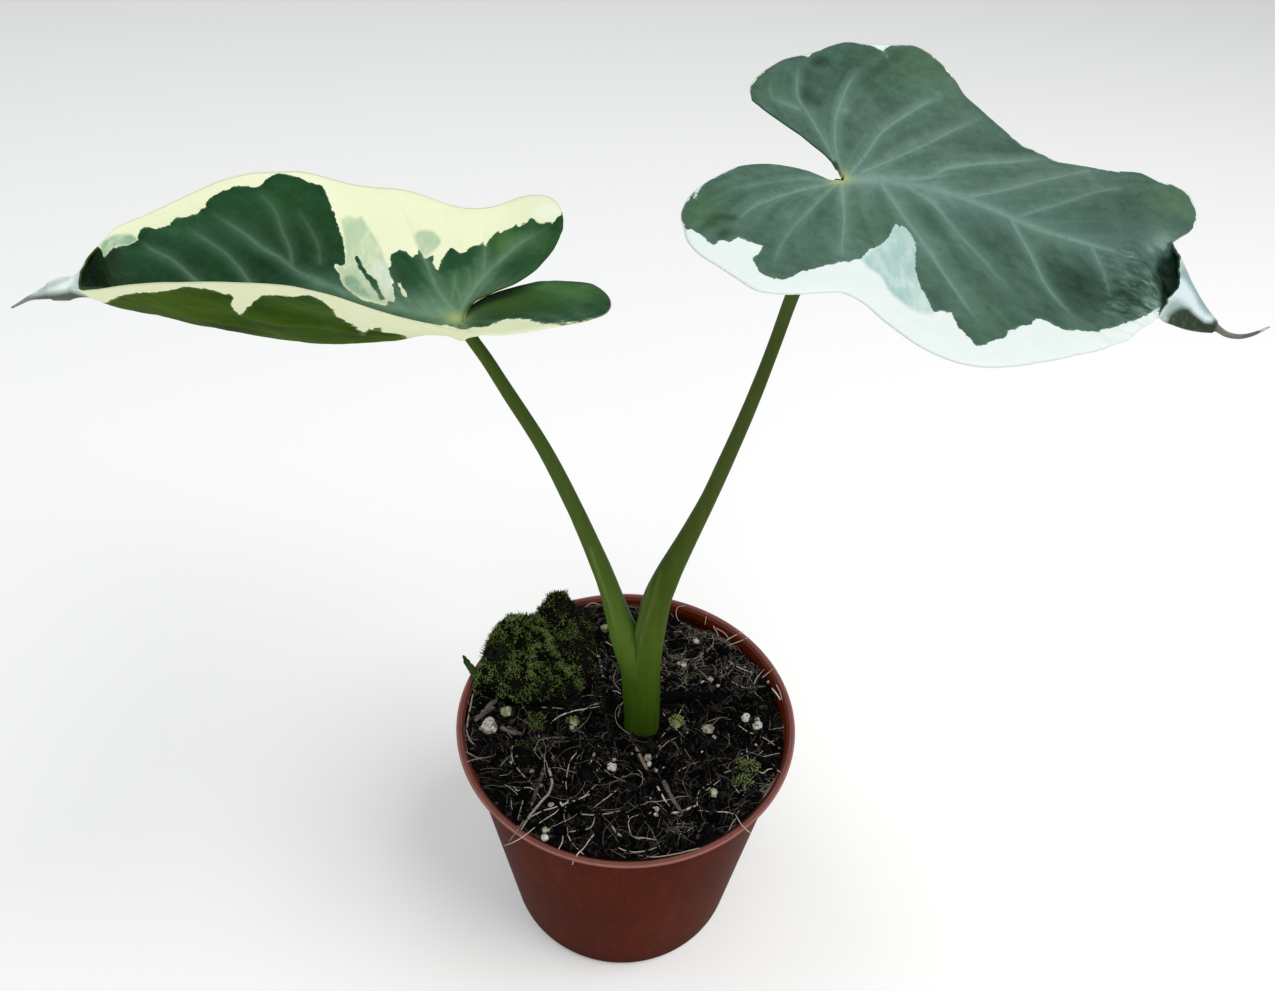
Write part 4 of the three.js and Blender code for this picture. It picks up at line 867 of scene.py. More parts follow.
        # the tone mixes the leaf's own tone with painted light and shade: painted shade in the pouch mouth and in folds
        # of the far lobe, painted light on the slopes by the mouth that turn away from the light
        tone_and_painted_light = 0.655 + blob(px, [(905, 147, 40, 20, 0.05), (1120, 200, 36, 26, -0.06), (800, 215, 50, 24, -0.03), (760, 205, 50, 40, 0.05), (840, 230, 40, 30, 0.05), (818, 62, 9, 5, -0.24), (808, 75, 6, 9, -0.10), (806, 98, 6, 9, -0.24), (816, 104, 6, 6, -0.16), (800, 84, 26, 20, -0.10), (845, 70, 30, 20, -0.05), (760, 80, 20, 16, -0.05), (722, 219, 14, 4, -0.32), (712, 226, 9, 4, -0.2), (724, 236, 11, 4, -0.24), (1070, 275, 28, 20, -0.18), (1062, 300, 26, 16, -0.10), (1000, 300, 60, 30, -0.06), (1150, 200, 30, 16, -0.08), (1110, 225, 26, 12, -0.07), (1130, 285, 34, 24, -0.24), (1104, 300, 30, 12, -0.12), (1078, 282, 14, 12, -0.10), (1162, 302, 14, 14, 0.36), (1160, 244, 14, 10, 0.34), (1150, 272, 8, 14, 0.2), (1160, 300, 14, 16, 0.16), (1175, 258, 3, 10, -0.4), (930, 195, 60, 22, 0.10), (870, 178, 30, 10, 0.12), (1060, 200, 60, 20, 0.02), (1010, 150, 50, 10, -0.08), (700, 200, 20, 20, -0.02), (880, 66, 50, 18, -0.05), (900, 90, 50, 20, 0.03)])
        warm = blob(px, [(700, 212, 26, 20, 0.6), (765, 85, 16, 16, 0.35), (1175, 200, 22, 20, 0.6), (925, 60, 40, 26, 0.4), (1115, 222, 16, 10, 0.35), (880, 225, 22, 22, 0.3), (985, 330, 16, 16, 0.3), (845, 205, 12, 20, 0.3)])
    along = U - 0.17 * V**1.25
    brush = fbm(np.stack([along * 46, V * 3.2, side * 7], 1), 4, 17) - 0.5
    tone_and_painted_light = tone_and_painted_light + 0.26 * brush * (V > 0) + 0.10 * (fbm(P0 / 14.0, 3, 27) - 0.5)
    hub_at = np.array([[456, 318]] if left else [[840, 178]])
    hub = np.exp(-(((px[:, 0] - hub_at[0, 0]) / 11) ** 2) - ((px[:, 1] - hub_at[0, 1]) / 6.5) ** 2)
    sd = sd * 0.36
    sd = np.where(in_pouch > 0.02, np.maximum(sd, 3.0), sd)
    margin_mm = (1 - V) * np.where(side == 0, 60, 45)

    rough = fbm(P0 / 9.0, 4, 3) - 0.5
    fine = fbm(P0 / 3.2, 3, 9) - 0.5
    ramp = np.clip(margin_mm / 4, 0, 1)
    crinkle = 0.0
    if not left:
        near_mouth = np.clip((px[:, 0] - 1085) / 40, 0, 1) * np.clip((px[:, 1] - 235) / 22, 0, 1) * (in_pouch < 0.3)
        crinkle = near_mouth * (fbm(np.stack([P0[:, 0] / 5.0, P0[:, 1] / 2.4, P0[:, 2] / 4], 1), 3, 21) - 0.5) * 1.9
        # painted light and shade of the crinkles by the pouch mouth, laid on the tone
        tone_and_painted_light = tone_and_painted_light + 0.95 * near_mouth * (fbm(np.stack([P0[:, 0] / 2.4, P0[:, 1] / 1.3, P0[:, 2] / 2.4], 1), 3, 22) - 0.47)
    calm = np.where(in_pouch > 0.05, 0.25, 1.0)
    if left:
        # the hanging half is gently waved
        crinkle = (side < 0) * 1.5 * (fbm(np.stack([U * 17, 0 * U, 0 * U], 1), 2, 51) - 0.5) * np.sin(np.pi * np.clip(V, 0, 1)) * 2
    relief = calm * ((0.42 * (1 - glow) - 0.28 * core) * ramp + 0.55 * rough * ramp + 0.16 * fine * ramp + crinkle)
    nrm = normals(P0)
    mid = P0 + nrm * (relief - 0.25)[:, None]
    nrm = normals(mid)
    ridge = np.where(side == 0, 1.0, core)
    thick = 0.22 + 0.34 * core * ramp
    edge = np.clip(margin_mm / 1.2, 0.35, 1)
    top = mid + nrm * (0.24 * edge)[:, None]
    bottom = mid - nrm * (thick * edge)[:, None]
    if not left:
        pass
    for k in range(blind + 1, len(ids)):
        bottom[ids[k]] = P0[ids[k]]

    pts = np.vstack([top, bottom])
    out_faces, slots = [], []
    edges = set()
    for f, lv in zip(faces, level):
        if lv == 0 or lv <= blind:
            out_faces.append(f)
            slots.append(0)
            for a, b in zip(f, f[1:] + f[:1]):
                edges.add((a, b))
        out_faces.append(tuple(i + total for i in f[::-1]))
        slots.append(1 if lv == 0 else 2)
    cap_in, cap_out = len(pts), len(pts) + 1
    centre = P0[ids[blind]].mean(0)
    tip = T[-1] + (T[-1] - T[-2]) * 0.05
    pts = np.vstack([pts, centre[None], tip[None]])
    for j in range(m):
        j2 = (j + 1) % m
        a = (ids[blind][j], cap_in, ids[blind][j2])
        b = (ids[-1][j] + total, ids[-1][j2] + total, cap_out)
        out_faces += [a[::-1] if left else a, b[::-1] if left else b]
        slots += [0, 2]
    blind_set = set(ids[blind])
    for a, b in edges:
        if (b, a) in edges or (a in blind_set and b in blind_set):
            continue
        out_faces.append((b, a, a + total, b + total))
        slots.append(1)

    # paint on the outside of the pouch and tail: their own colours, with painted light on the pale upper side and
    # painted shade on the dark underside
    q = px
    if left:
        colour = paint(q, (222, 236, 232), [
            ([(30, 296), (48, 293), (62, 292), (70, 289.5), (82, 292.5), (110, 302), (110, 330), (0, 330), (0, 300)], (84, 98, 84), 3.0),
            ([(0, 330), (0, 290), (28, 296), (34, 300), (34, 330)], (132, 140, 132), 4.0),
            ([(38, 291), (50, 285), (60, 281), (69, 278), (69, 281), (60, 284), (50, 288), (40, 293)], (168, 186, 182), 2.5),
            ([(76, 296), (90, 298), (112, 303), (126, 320), (76, 320)], (52, 66, 34), 3.0),
        ])
        behind = nrm[:, 1] > 0.2
    else:
        colour = paint(q, (207, 222, 226), [
            ([(1171, 236), (1190, 250), (1186, 262), (1183, 268), (1180, 270), (1178, 262), (1172, 250)], (186, 204, 182), 3.0),
            ([(1180, 272), (1184, 262), (1192, 272), (1204, 290), (1212, 303), (1217, 316), (1210, 317), (1203, 313), (1197, 305), (1193, 295), (1187, 286), (1182, 278)], (136, 164, 160), 2.5),
            ([(1165, 304), (1175, 299), (1183, 303), (1189, 309), (1189, 316), (1160, 318)], (146, 166, 158), 4.0),
            ([(1166, 316), (1172, 311), (1180, 307.5), (1187, 308.5), (1196, 316), (1204, 322), (1210, 322), (1214, 318), (1222, 327), (1222, 342), (1160, 342)], (34, 50, 30), 2.5),
            ([(1216, 318), (1226, 329), (1240, 330), (1280, 320), (1280, 350), (1216, 342)], (112, 108, 98), 3.0),
        ])
    blotch = np.clip(fbm(P0 / 5.0, 3, 31) * 1.6 - 0.45, 0, 1)[:, None]
    hidden = (1 - np.clip((-(nrm * unit(CAM - P0)).sum(1)) * 4 + 0.5, 0, 1))[:, None]
    other = np.array(lin(210, 224, 214)[:3]) * (1 - blotch) + np.array(lin(120, 150, 128)[:3]) * blotch
    colour = colour * (1 - hidden) + other * hidden

    cap_px = [0.0, 0.0]
    twice = lambda x: np.concatenate([x, x, cap_px])
    attrs = dict(sd=twice(sd), vein=twice(core), glow=twice(glow), mint=twice(mint), white_and_highlight=twice(white_and_highlight), tone_and_painted_light=twice(tone_and_painted_light), warm=twice(warm),
                 margin=twice(margin_mm), hub=twice(hub), cool=twice(np.clip(blob(px, [(330, 288, 60, 18, 0.5), (400, 302, 40, 10, 0.4), (240, 235, 60, 22, 0.35), (150, 260, 40, 16, 0.3), (350, 275, 16, 20, 0.3)] if left else [(1120, 248, 50, 32, 0.75), (1000, 215, 80, 24, 0.5), (880, 180, 46, 12, 0.45), (795, 88, 26, 26, 0.4), (960, 190, 40, 30, 0.25), (1060, 160, 40, 14, 0.25), (840, 120, 20, 40, 0.3)]), 0, 1)), cleft=twice(np.exp(-(((px[:, 0] - hub_at[0, 0]) / 34) ** 2) - ((px[:, 1] - hub_at[0, 1]) / 34) ** 2)), wet=twice(np.abs(near_mouth) if not left else np.zeros(total)), front=twice(np.clip(-side, 0, 1)), pouch=twice(np.clip(in_pouch, 0, 1)),
                 cr=twice(colour[:, 0]), cg=twice(colour[:, 1]), cb=twice(colour[:, 2]))
    ob = make_piece(name, pts, out_faces, mats, slots, attrs)
    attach(ob, "root")
    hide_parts(node)
    return ob


def leaf_material(name, left, under):
    n = Nodes(name)
    sd, vein, glow = n.attr("sd"), n.attr("vein"), n.attr("glow")
    jag = n.math("MULTIPLY", n.math("SUBTRACT", n.noise(420, 5, 0.6), 0.5), 2.4)
    jag2 = n.math("MULTIPLY", n.math("SUBTRACT", n.noise(1500, 2, 0.6), 0.5), 0.5)
    edge = n.math("ADD", n.math("ADD", sd, jag), jag2)
    dark_mask = n.step(edge, -0.10, 0.16)
    # greens, from the tone that carries painted light and shade
    tone_and_painted_light = n.math("ADD", n.attr("tone_and_painted_light"), n.math("MULTIPLY", n.math("SUBTRACT", n.noise(75, 4, 0.55, 0.3), 0.5), 0.30))
    tone_and_painted_light = n.math("ADD", tone_and_painted_light, n.math("MULTIPLY", n.math("SUBTRACT", n.noise(260, 4, 0.68), 0.5), 0.22 if left or under else 0.34))
    tone_and_painted_light = n.math("ADD", tone_and_painted_light, n.math("MULTIPLY", glow, 0.07))
    if under:
        green = n.ramp(tone_and_painted_light, [(0.0, shown(20, 36, 6, 0.015)), (0.3, shown(42, 60, 14, 0.015)), (0.5, shown(60, 82, 25, 0.015)), (0.75, shown(82, 106, 48, 0.015)), (1.0, shown(112, 136, 82, 0.015))])
        warm_col, vein_col = shown(80, 100, 22, 0.015), shown(106, 130, 70, 0.015)
        if not left:
            green = n.ramp(tone_and_painted_light, [(0.0, shown(14, 26, 14, 0.015)), (0.3, shown(34, 52, 36, 0.015)), (0.5, shown(52, 76, 56, 0.015)), (0.75, shown(74, 100, 80, 0.015)), (1.0, shown(106, 132, 112, 0.015))])
            warm_col, vein_col = shown(66, 92, 58, 0.015), shown(108, 134, 112, 0.015)
    elif left:
        green = n.ramp(tone_and_painted_light, [(0.0, shown(14, 36, 8)), (0.25, shown(36, 64, 34)), (0.5, shown(58, 88, 64)), (0.75, shown(92, 124, 94)), (1.0, shown(126, 158, 134))])
        warm_col, vein_col = shown(86, 122, 60), shown(132, 164, 140)
    else:
        green = n.ramp(tone_and_painted_light, [(0.0, shown(8, 16, 12)), (0.25, shown(36, 56, 44)), (0.5, shown(66, 89, 76)), (0.75, shown(92, 117, 104)), (1.0, shown(126, 152, 140))])
        warm_col, vein_col = shown(88, 116, 76), shown(134, 164, 154)
    green = n.mix(n.math("MULTIPLY", n.attr("warm"), 0.7), green, warm_col)
    green = n.mix(n.math("MULTIPLY", n.attr("cool"), 0.5), green, shown(74, 100, 92) if left else shown(88, 108, 110))
    # fine net of small veins
    net = n.step(n.voronoi(330, "DISTANCE_TO_EDGE"), 0.0, 0.10, 1.0, 0.0)
    net2 = n.step(n.voronoi(130, "DISTANCE_TO_EDGE"), 0.0, 0.06, 1.0, 0.0)
    green = n.mix(n.math("MULTIPLY", net, 0.02), green, vein_col)
    green = n.mix(n.math("MULTIPLY", net2, 0.006), green, vein_col)
    green = n.mix(n.math("MULTIPLY", glow, 0.08 if under else 0.19), green, vein_col)
    green = n.mix(n.math("MULTIPLY", vein, 0.22 if under else (0.34 if left else 0.44)), green, vein_col)
    # small darker flecks
    fleck = n.step(n.noise(620, 4, 0.65), 0.56, 0.72)
    green = n.mix(n.math("MULTIPLY", fleck, 0.16 if left or under else 0.24), green, shown(30, 52, 34) if left or under else shown(44, 66, 54))
    # pale parts
    if left:
        pale, deep, mint_col = lin(238, 242, 210), lin(229, 236, 193), lin(142, 178, 148)
        if under:
            pale, deep, mint_col = lin(238, 244, 208), lin(226, 232, 190), lin(190, 210, 160)
    else:
        pale, deep, mint_col = lin(226, 234, 232), lin(214, 226, 221), lin(146, 184, 177)
        if under:
            pale, deep, mint_col = lin(232, 240, 230), lin(222, 230, 214), lin(176, 204, 190)
    light = n.mix(n.noise(60, 4, 0.6), pale, deep)
    light = n.mix(n.math("MULTIPLY", n.math("MULTIPLY", n.attr("mint"), n.step(n.noise(1.0, 4, 0.65, 0.4, n.scale(240, 90, 240)), 0.3, 0.62, 0.7, 1.4)), 1.0, clamp=True), light, mint_col)
    # whiter patches, with the painted highlight on the far tip
    light = n.mix(n.math("MULTIPLY", n.attr("white_and_highlight"), 0.8), light, lin(240, 248, 242))
    light = n.mix(n.math("MULTIPLY", vein, 0.4), light, lin(214, 226, 182) if left else lin(214, 232, 224))
    light = n.mix(n.math("MULTIPLY", net2, 0.02), light, mint_col)
    # a washed band of middle green where the colours meet
    band = n.math("MULTIPLY", n.step(edge, 0.1, 0.75, 1.0, 0.0), n.step(n.noise(180, 3, 0.5), 0.42, 0.6))
    green = n.mix(n.math("MULTIPLY", band, 0.22), green, mint_col)
    colour = n.mix(dark_mask, light, green)
    colour = n.mix(n.math("MULTIPLY", n.attr("hub"), 0.75), colour, lin(168, 184, 116))
    # thin dry line at the very margin
    rim = n.math("MULTIPLY", n.step(n.attr("margin"), 0.12, 0.42, 1.0, 0.0), n.math("SUBTRACT", 1.0, n.math("MULTIPLY", n.attr("cleft"), 0.95)))
    colour = n.mix(n.math("MULTIPLY", rim, 0.35), colour, lin(196, 190, 150) if left else lin(205, 206, 190))
    inner = n.math("MULTIPLY", n.step(n.attr("margin"), 0.12, 0.9, 1.0, 0.0), n.step(n.attr("cleft"), 0.35, 0.7))
    colour = n.mix(n.math("MULTIPLY", inner, 0.85), colour, lin(206, 214, 176) if left else lin(118, 146, 108))
    rough = n.math("ADD", n.math("MULTIPLY", n.noise(300, 3, 0.5), 0.16), 0.36 if not under else 0.5)
    rough = n.math("SUBTRACT", rough, n.math("MULTIPLY", n.attr("wet"), 0.2))
    if left:
        rough = n.math("ADD", rough, n.math("MULTIPLY", n.attr("front"), 0.25))
    n.set(Base_Color=colour, Roughness=rough)
    n.bsdf.inputs["Specular IOR Level"].default_value = 0.05 if under else (0.12 if left else 0.16)
    height = n.math("ADD", n.math("MULTIPLY", n.noise(900, 3, 0.6), 0.5), n.math("MULTIPLY", net, 0.35 if under else -0.35))
    height = n.math("ADD", height, n.math("MULTIPLY", net2, 0.25 if under else -0.22))
    n.bump(height, 0.22, 0.0004)
    return n.mat


def pouch_material(name):
    n = Nodes(name)
    # cr, cg and cb bring in the pouch paint, painted light and shade included
    c = n.t.nodes.new("ShaderNodeCombineColor")
    for k, key in enumerate(("cr", "cg", "cb")):
        n.t.links.new(n.attr(key), c.inputs[k])
    streak = n.noise(1.0, 4, 0.6, 0.4, n.scale(260, 900, 900))
    colour = n.mix(n.math("MULTIPLY", n.step(streak, 0.45, 0.7), 0.10), c.outputs[0], lin(150, 172, 160))
    n.set(Base_Color=colour, Roughness=0.5)
    n.bsdf.inputs["Specular IOR Level"].default_value = 0.12
    n.bump(streak, 0.15, 0.0004)
    return n.mat


mat_pouch = pouch_material("leaf_pouch_outside")
blade_r = build_blade("right_blade", RIGHT, "right_leaf_blade", [leaf_material("leaf_top_right", False, False), leaf_material("leaf_under_right", False, True), mat_pouch])
blade_l = build_blade("left_blade", LEFT, "left_leaf_blade", [leaf_material("leaf_top_left", True, False), leaf_material("leaf_under_left", True, True), mat_pouch])


# ------------------------------------------------------------------ stalks
LEFT_STALK = [
    [-1.2, 1.6, 70, 3.4, 3.0], [0.6, 1.2, 80, 4.0, 3.6], [3.4, 0.8, 92, 4.2, 4.0], [3.2, 0.8, 104.3, 4.5, 4.0], [1.8, 1.0, 122.7, 4.6, 3.9],
    [-1.2, 1.2, 135, 4.7, 3.8], [-4.1, 1.4, 148.6, 4.0, 3.5], [-7.1, 1.5, 160.3, 3.35, 3.2], [-10.3, 1.5, 171.2, 2.95, 2.9],
    [-17.1, 1.4, 191.7, 2.45, 2.4], [-25.6, 1.0, 214.4, 2.15, 2.1], [-35.4, 0.5, 235, 1.9, 1.9], [-40, 0.2, 244.7, 1.75, 1.75],
    [-43.2, 0, 250.6, 1.7, 1.7], [-45.7, 0, 255.3, 1.8, 1.75],
]
RIGHT_STALK = [
    [7.4, -0.6, 70, 3.4, 3.2], [7.5, -0.8, 80, 4.2, 4.0], [7.3, -1, 92, 4.5, 4.4], [6.9, -1, 106.7, 4.7, 4.4], [6.6, -1, 121.6, 4.5, 4.3],
    [6.9, -1, 133.3, 4.6, 4.3], [7.4, -0.8, 145.3, 4.9, 4.3], [8.6, -0.5, 156.2, 4.75, 4.1], [11.0, -0.3, 165.1, 4.25, 3.8],
    [13.8, 0, 173.6, 3.7, 3.4], [18.1, 0, 186.3, 2.95, 2.8], [22, 0, 198.3, 2.45, 2.4], [25.3, 0, 209.8, 2.25, 2.25],
    [31, 0, 231.2, 1.95, 1.95], [35.4, 0, 250.6, 1.75, 1.75], [38.6, 0, 266.5, 1.75, 1.75], [42.2, 0, 281, 1.8, 1.8], [46.6, 0, 297.0, 1.9, 1.9],
]


def stalk_material(name, stops, rib_sheen_colour):
    n = Nodes(name)
    along = n.noise(1.0, 5, 0.6, 0.6, n.scale(420, 420, 26))
    fine = n.noise(1.0, 3, 0.6, 0.2, n.scale(1500, 1500, 60))
    spots = n.noise(240, 3, 0.55)
    h = n.math("ADD", n.attr("height"), n.math("MULTIPLY", n.math("SUBTRACT", spots, 0.5), 0.06))
    c = n.ramp(h, stops)
    c = n.mix(n.math("MULTIPLY", n.step(along, 0.45, 0.72), 0.14), c, shown(96, 118, 52, 0.004))
    c = n.mix(n.math("MULTIPLY", n.step(along, 0.46, 0.30), 0.12), c, shown(36, 52, 10, 0.004))
    c = n.mix(n.math("MULTIPLY", n.step(fine, 0.55, 0.75), 0.06), c, shown(120, 142, 84, 0.004))
    # raised ribs painted paler as a painted highlight, then painted shade in the fork, the crease between the stalks
    # and at the foot
    c = n.mix(n.math("MULTIPLY", n.attr("rib_and_sheen"), 0.26), c, rib_sheen_colour)
    c = n.mix(n.math("MULTIPLY", n.attr("shade"), 0.75), c, shown(26, 38, 8, 0.004))
    n.set(Base_Color=c, Roughness=n.math("ADD", n.math("MULTIPLY", spots, 0.2), 0.40))
    n.bsdf.inputs["Specular IOR Level"].default_value = 0.045
    n.bump(n.math("ADD", n.math("MULTIPLY", along, 0.6), n.math("MULTIPLY", fine, 0.4)), 0.2, 0.0004)
    return n.mat


def ease(v, lo, hi):
    q = np.clip((v - lo) / (hi - lo), 0, 1)
    return q * q * (3 - 2 * q)


def merge_sheath(P, out, side):
    """Below the fork the two stalks share one sheath: draw both skins out to one rounded section."""
    z = P[:, 2]
    row = lambda T, k: np.interp(z, [r[2] for r in T], [r[k] for r in T])
    lx, ly, lr, ld = (row(LEFT_STALK, k) for k in (0, 1, 3, 4))
    rx, ry, rr, rd = (row(RIGHT_STALK, k) for k in (0, 1, 3, 4))
    # close the gap just above the fork
    gap = (rx - rr) - (lx + lr)
    swell = np.clip(gap / 2 + 0.2, 0, 1.4) * (1 - ease(z, 139.0, 147.5)) * (z > 96)
    P = P.copy()
    P[:, 0] += side * swell * np.clip(out[:, 0] * side, 0, 1)
    # one section, whose skin the front and back of both stalks are drawn to
    lo, hi = lx - lr, rx + rr
    mid, half = (lo + hi) / 2, (hi - lo) / 2
    front, back = np.minimum(ry - rd, ly - ld), np.maximum(ry + rd, ly + ld)
    cy, deep = (front + back) / 2, (back - front) / 2
    w = 1 - ease(z, 122.0, 143.0)
    q = np.clip(1 - np.abs((P[:, 0] - mid) / half) ** 2.2, 0, 1) ** (1 / 2.2)
    goal = deep * q * np.sign(out[:, 1])
    dy = P[:, 1] - cy
    grow = np.clip(np.abs(goal) - np.abs(dy), 0, 4) * np.sign(out[:, 1])
    keep = ease(np.abs(out[:, 1]), 0.1, 0.55) * w * (z > 84)
    P[:, 1] += grow * keep
    return P


def build_stalk(name, node, rows, mat, ribs_and_sheen, shades, side):
    rows = np.array(rows)
    K, S = 190, 40
    t = np.linspace(0, 1, K)
    path = spline(rows, t)
    c, rad = path[:, :3], path[:, 3:]
    tan = unit(np.gradient(c, axis=0))
    v = unit(np.cross(tan, [1.0, 0, 0]))
    u = np.cross(v, tan)
    ang = np.arange(S) / S * 2 * np.pi
    cs, sn = np.cos(ang), np.sin(ang)
    out = u[:, None] * cs[None, :, None] + v[:, None] * sn[None, :, None]
    P = c[:, None] + u[:, None] * (cs[None, :, None] * rad[:, 0][:, None, None]) + v[:, None] * (sn[None, :, None] * rad[:, 1][:, None, None])
    flat = merge_sheath(P.reshape(-1, 3), out.reshape(-1, 3), side)
    px = to_view(flat)
    facing = (out.reshape(-1, 3) * unit(CAM - flat)).sum(1)
    # fine ribs that run along the stalk, and a slightly uneven girth
    groove = 0.5 - noise3(np.stack([np.tile(cs, K) * 3.4, np.tile(sn, K) * 3.4, np.repeat(np.cumsum(np.r_[0, np.linalg.norm(np.diff(c, axis=0), axis=1)]) / 40, S)], 1), 5)
    girth = fbm(flat / 14.0, 3, 12) - 0.5
    d = 0.07 * groove * np.repeat(np.clip(rad[:, 0] / 3.5, 0.5, 1.2), S) + 0.35 * girth * np.repeat(np.clip(rad[:, 0] / 3.5, 0.4, 1), S)
    rib_and_sheen = np.zeros(len(flat))
    for pts, w, lift in ribs_and_sheen:
        core, _ = vein_field(px, [(pts, w, w * 0.7)])
        core = core * (facing > 0)
        rib_and_sheen = np.maximum(rib_and_sheen, core)
        d += lift * core
    shade = np.zeros(len(flat))
    for x, y, rx, ry, amount in shades:
        shade += amount * np.exp(-(((px[:, 0] - x) / rx) ** 2) - ((px[:, 1] - y) / ry) ** 2) * (facing > -0.2)
    flat = flat + out.reshape(-1, 3) * d[:, None]
    V = np.vstack([flat, c[:1], c[-1:] + tan[-1:] * 0.2])
    F = []
    for i in range(K - 1):
        for j in range(S):
            k = (j + 1) % S
            F += [(i * S + j, (i + 1) * S + j, (i + 1) * S + k), (i * S + j, (i + 1) * S + k, i * S + k)]
    for j in range(S):
        k = (j + 1) % S
        F += [(K * S, j, k), (K * S + 1, (K - 1) * S + k, (K - 1) * S + j)]
    F = np.array(F)
    if volume6(V - V.mean(0), F) < 0:
        F = F[:, ::-1]
    z0, z1 = 70.0, 300.0
    attrs = dict(height=np.clip((V[:, 2] - z0) / (z1 - z0), 0, 1), rib_and_sheen=np.r_[rib_and_sheen, 0, 0], shade=np.r_[np.clip(shade, 0, 1), 0, 0])
    return fast_piece(name, V, F, [mat], attrs, node=node)


def olive(*rgb):
    return shown(*rgb, 0.004, 0.85)


mat_stalk_l = stalk_material("stalk_left", [(0.0, olive(48, 66, 19)), (0.12, olive(51, 73, 19)), (0.22, olive(60, 83, 25)), (0.30, olive(78, 103, 42)), (0.42, olive(69, 89, 36)), (0.55, olive(66, 84, 38)), (0.7, olive(61, 80, 32)), (0.8, olive(64, 84, 34)), (0.85, olive(84, 104, 54))], olive(140, 162, 96))
mat_stalk_r = stalk_material("stalk_right", [(0.0, olive(48, 66, 19)), (0.12, olive(51, 73, 19)), (0.22, olive(60, 83, 25)), (0.30, olive(71, 91, 33)), (0.42, olive(62, 78, 26)), (0.6, olive(66, 78, 36)), (0.8, olive(62, 74, 34)), (0.97, olive(84, 96, 54))], olive(150, 172, 108))
# ribs, painted paler as a painted highlight along them, and places of painted shade read off the skin; below the fork
# both stalks carry the same ones
RIBS_AND_SHEEN = [
    ([(590, 548), (600, 578), (611, 610), (618, 640)], 1.4, 0.03),
    ([(655, 566), (650, 584), (645, 600), (639, 622), (635, 642), (632, 664)], 1.0, 0.10),
    ([(660, 572), (653, 600), (645, 625), (638, 655), (635, 690)], 0.8, 0.03),
    ([(648, 592), (643, 610), (638, 630), (634, 652)], 0.7, 0.04),
]
SHADES = [(634, 614, 3, 8, 0.3), (636, 742, 26, 8, 0.5), (637, 690, 3, 36, 0.14)]
build_stalk("stalk_left", "left_leaf_stalk", LEFT_STALK, mat_stalk_l, RIBS_AND_SHEEN, SHADES + [(606, 640, 5, 30, 0.10)], 1)
build_stalk("stalk_right", "right_leaf_stalk", RIGHT_STALK, mat_stalk_r, RIBS_AND_SHEEN, SHADES + [(664, 600, 4, 20, 0.15)], -1)


# ------------------------------------------------------------------ pot
def rounded(profile, radii, steps=5):
    """Polyline with its corners turned into small arcs."""
    P = [np.array(p, float) for p in profile]
    out = [P[0]]
    for k in range(1, len(P) - 1):
        a, b, c = P[k - 1], P[k], P[k + 1]
        r = min(radii[k], 0.48 * np.linalg.norm(a - b), 0.48 * np.linalg.norm(c - b))
        if r <= 1e-6:
            out.append(b)
            continue
        s, e = b + unit(a - b) * r, b + unit(c - b) * r
        for q in np.linspace(0, 1, steps):
            out.append((1 - q) ** 2 * s + 2 * q * (1 - q) * b + q * q * e)
    out.append(P[-1])
    return np.array(out)


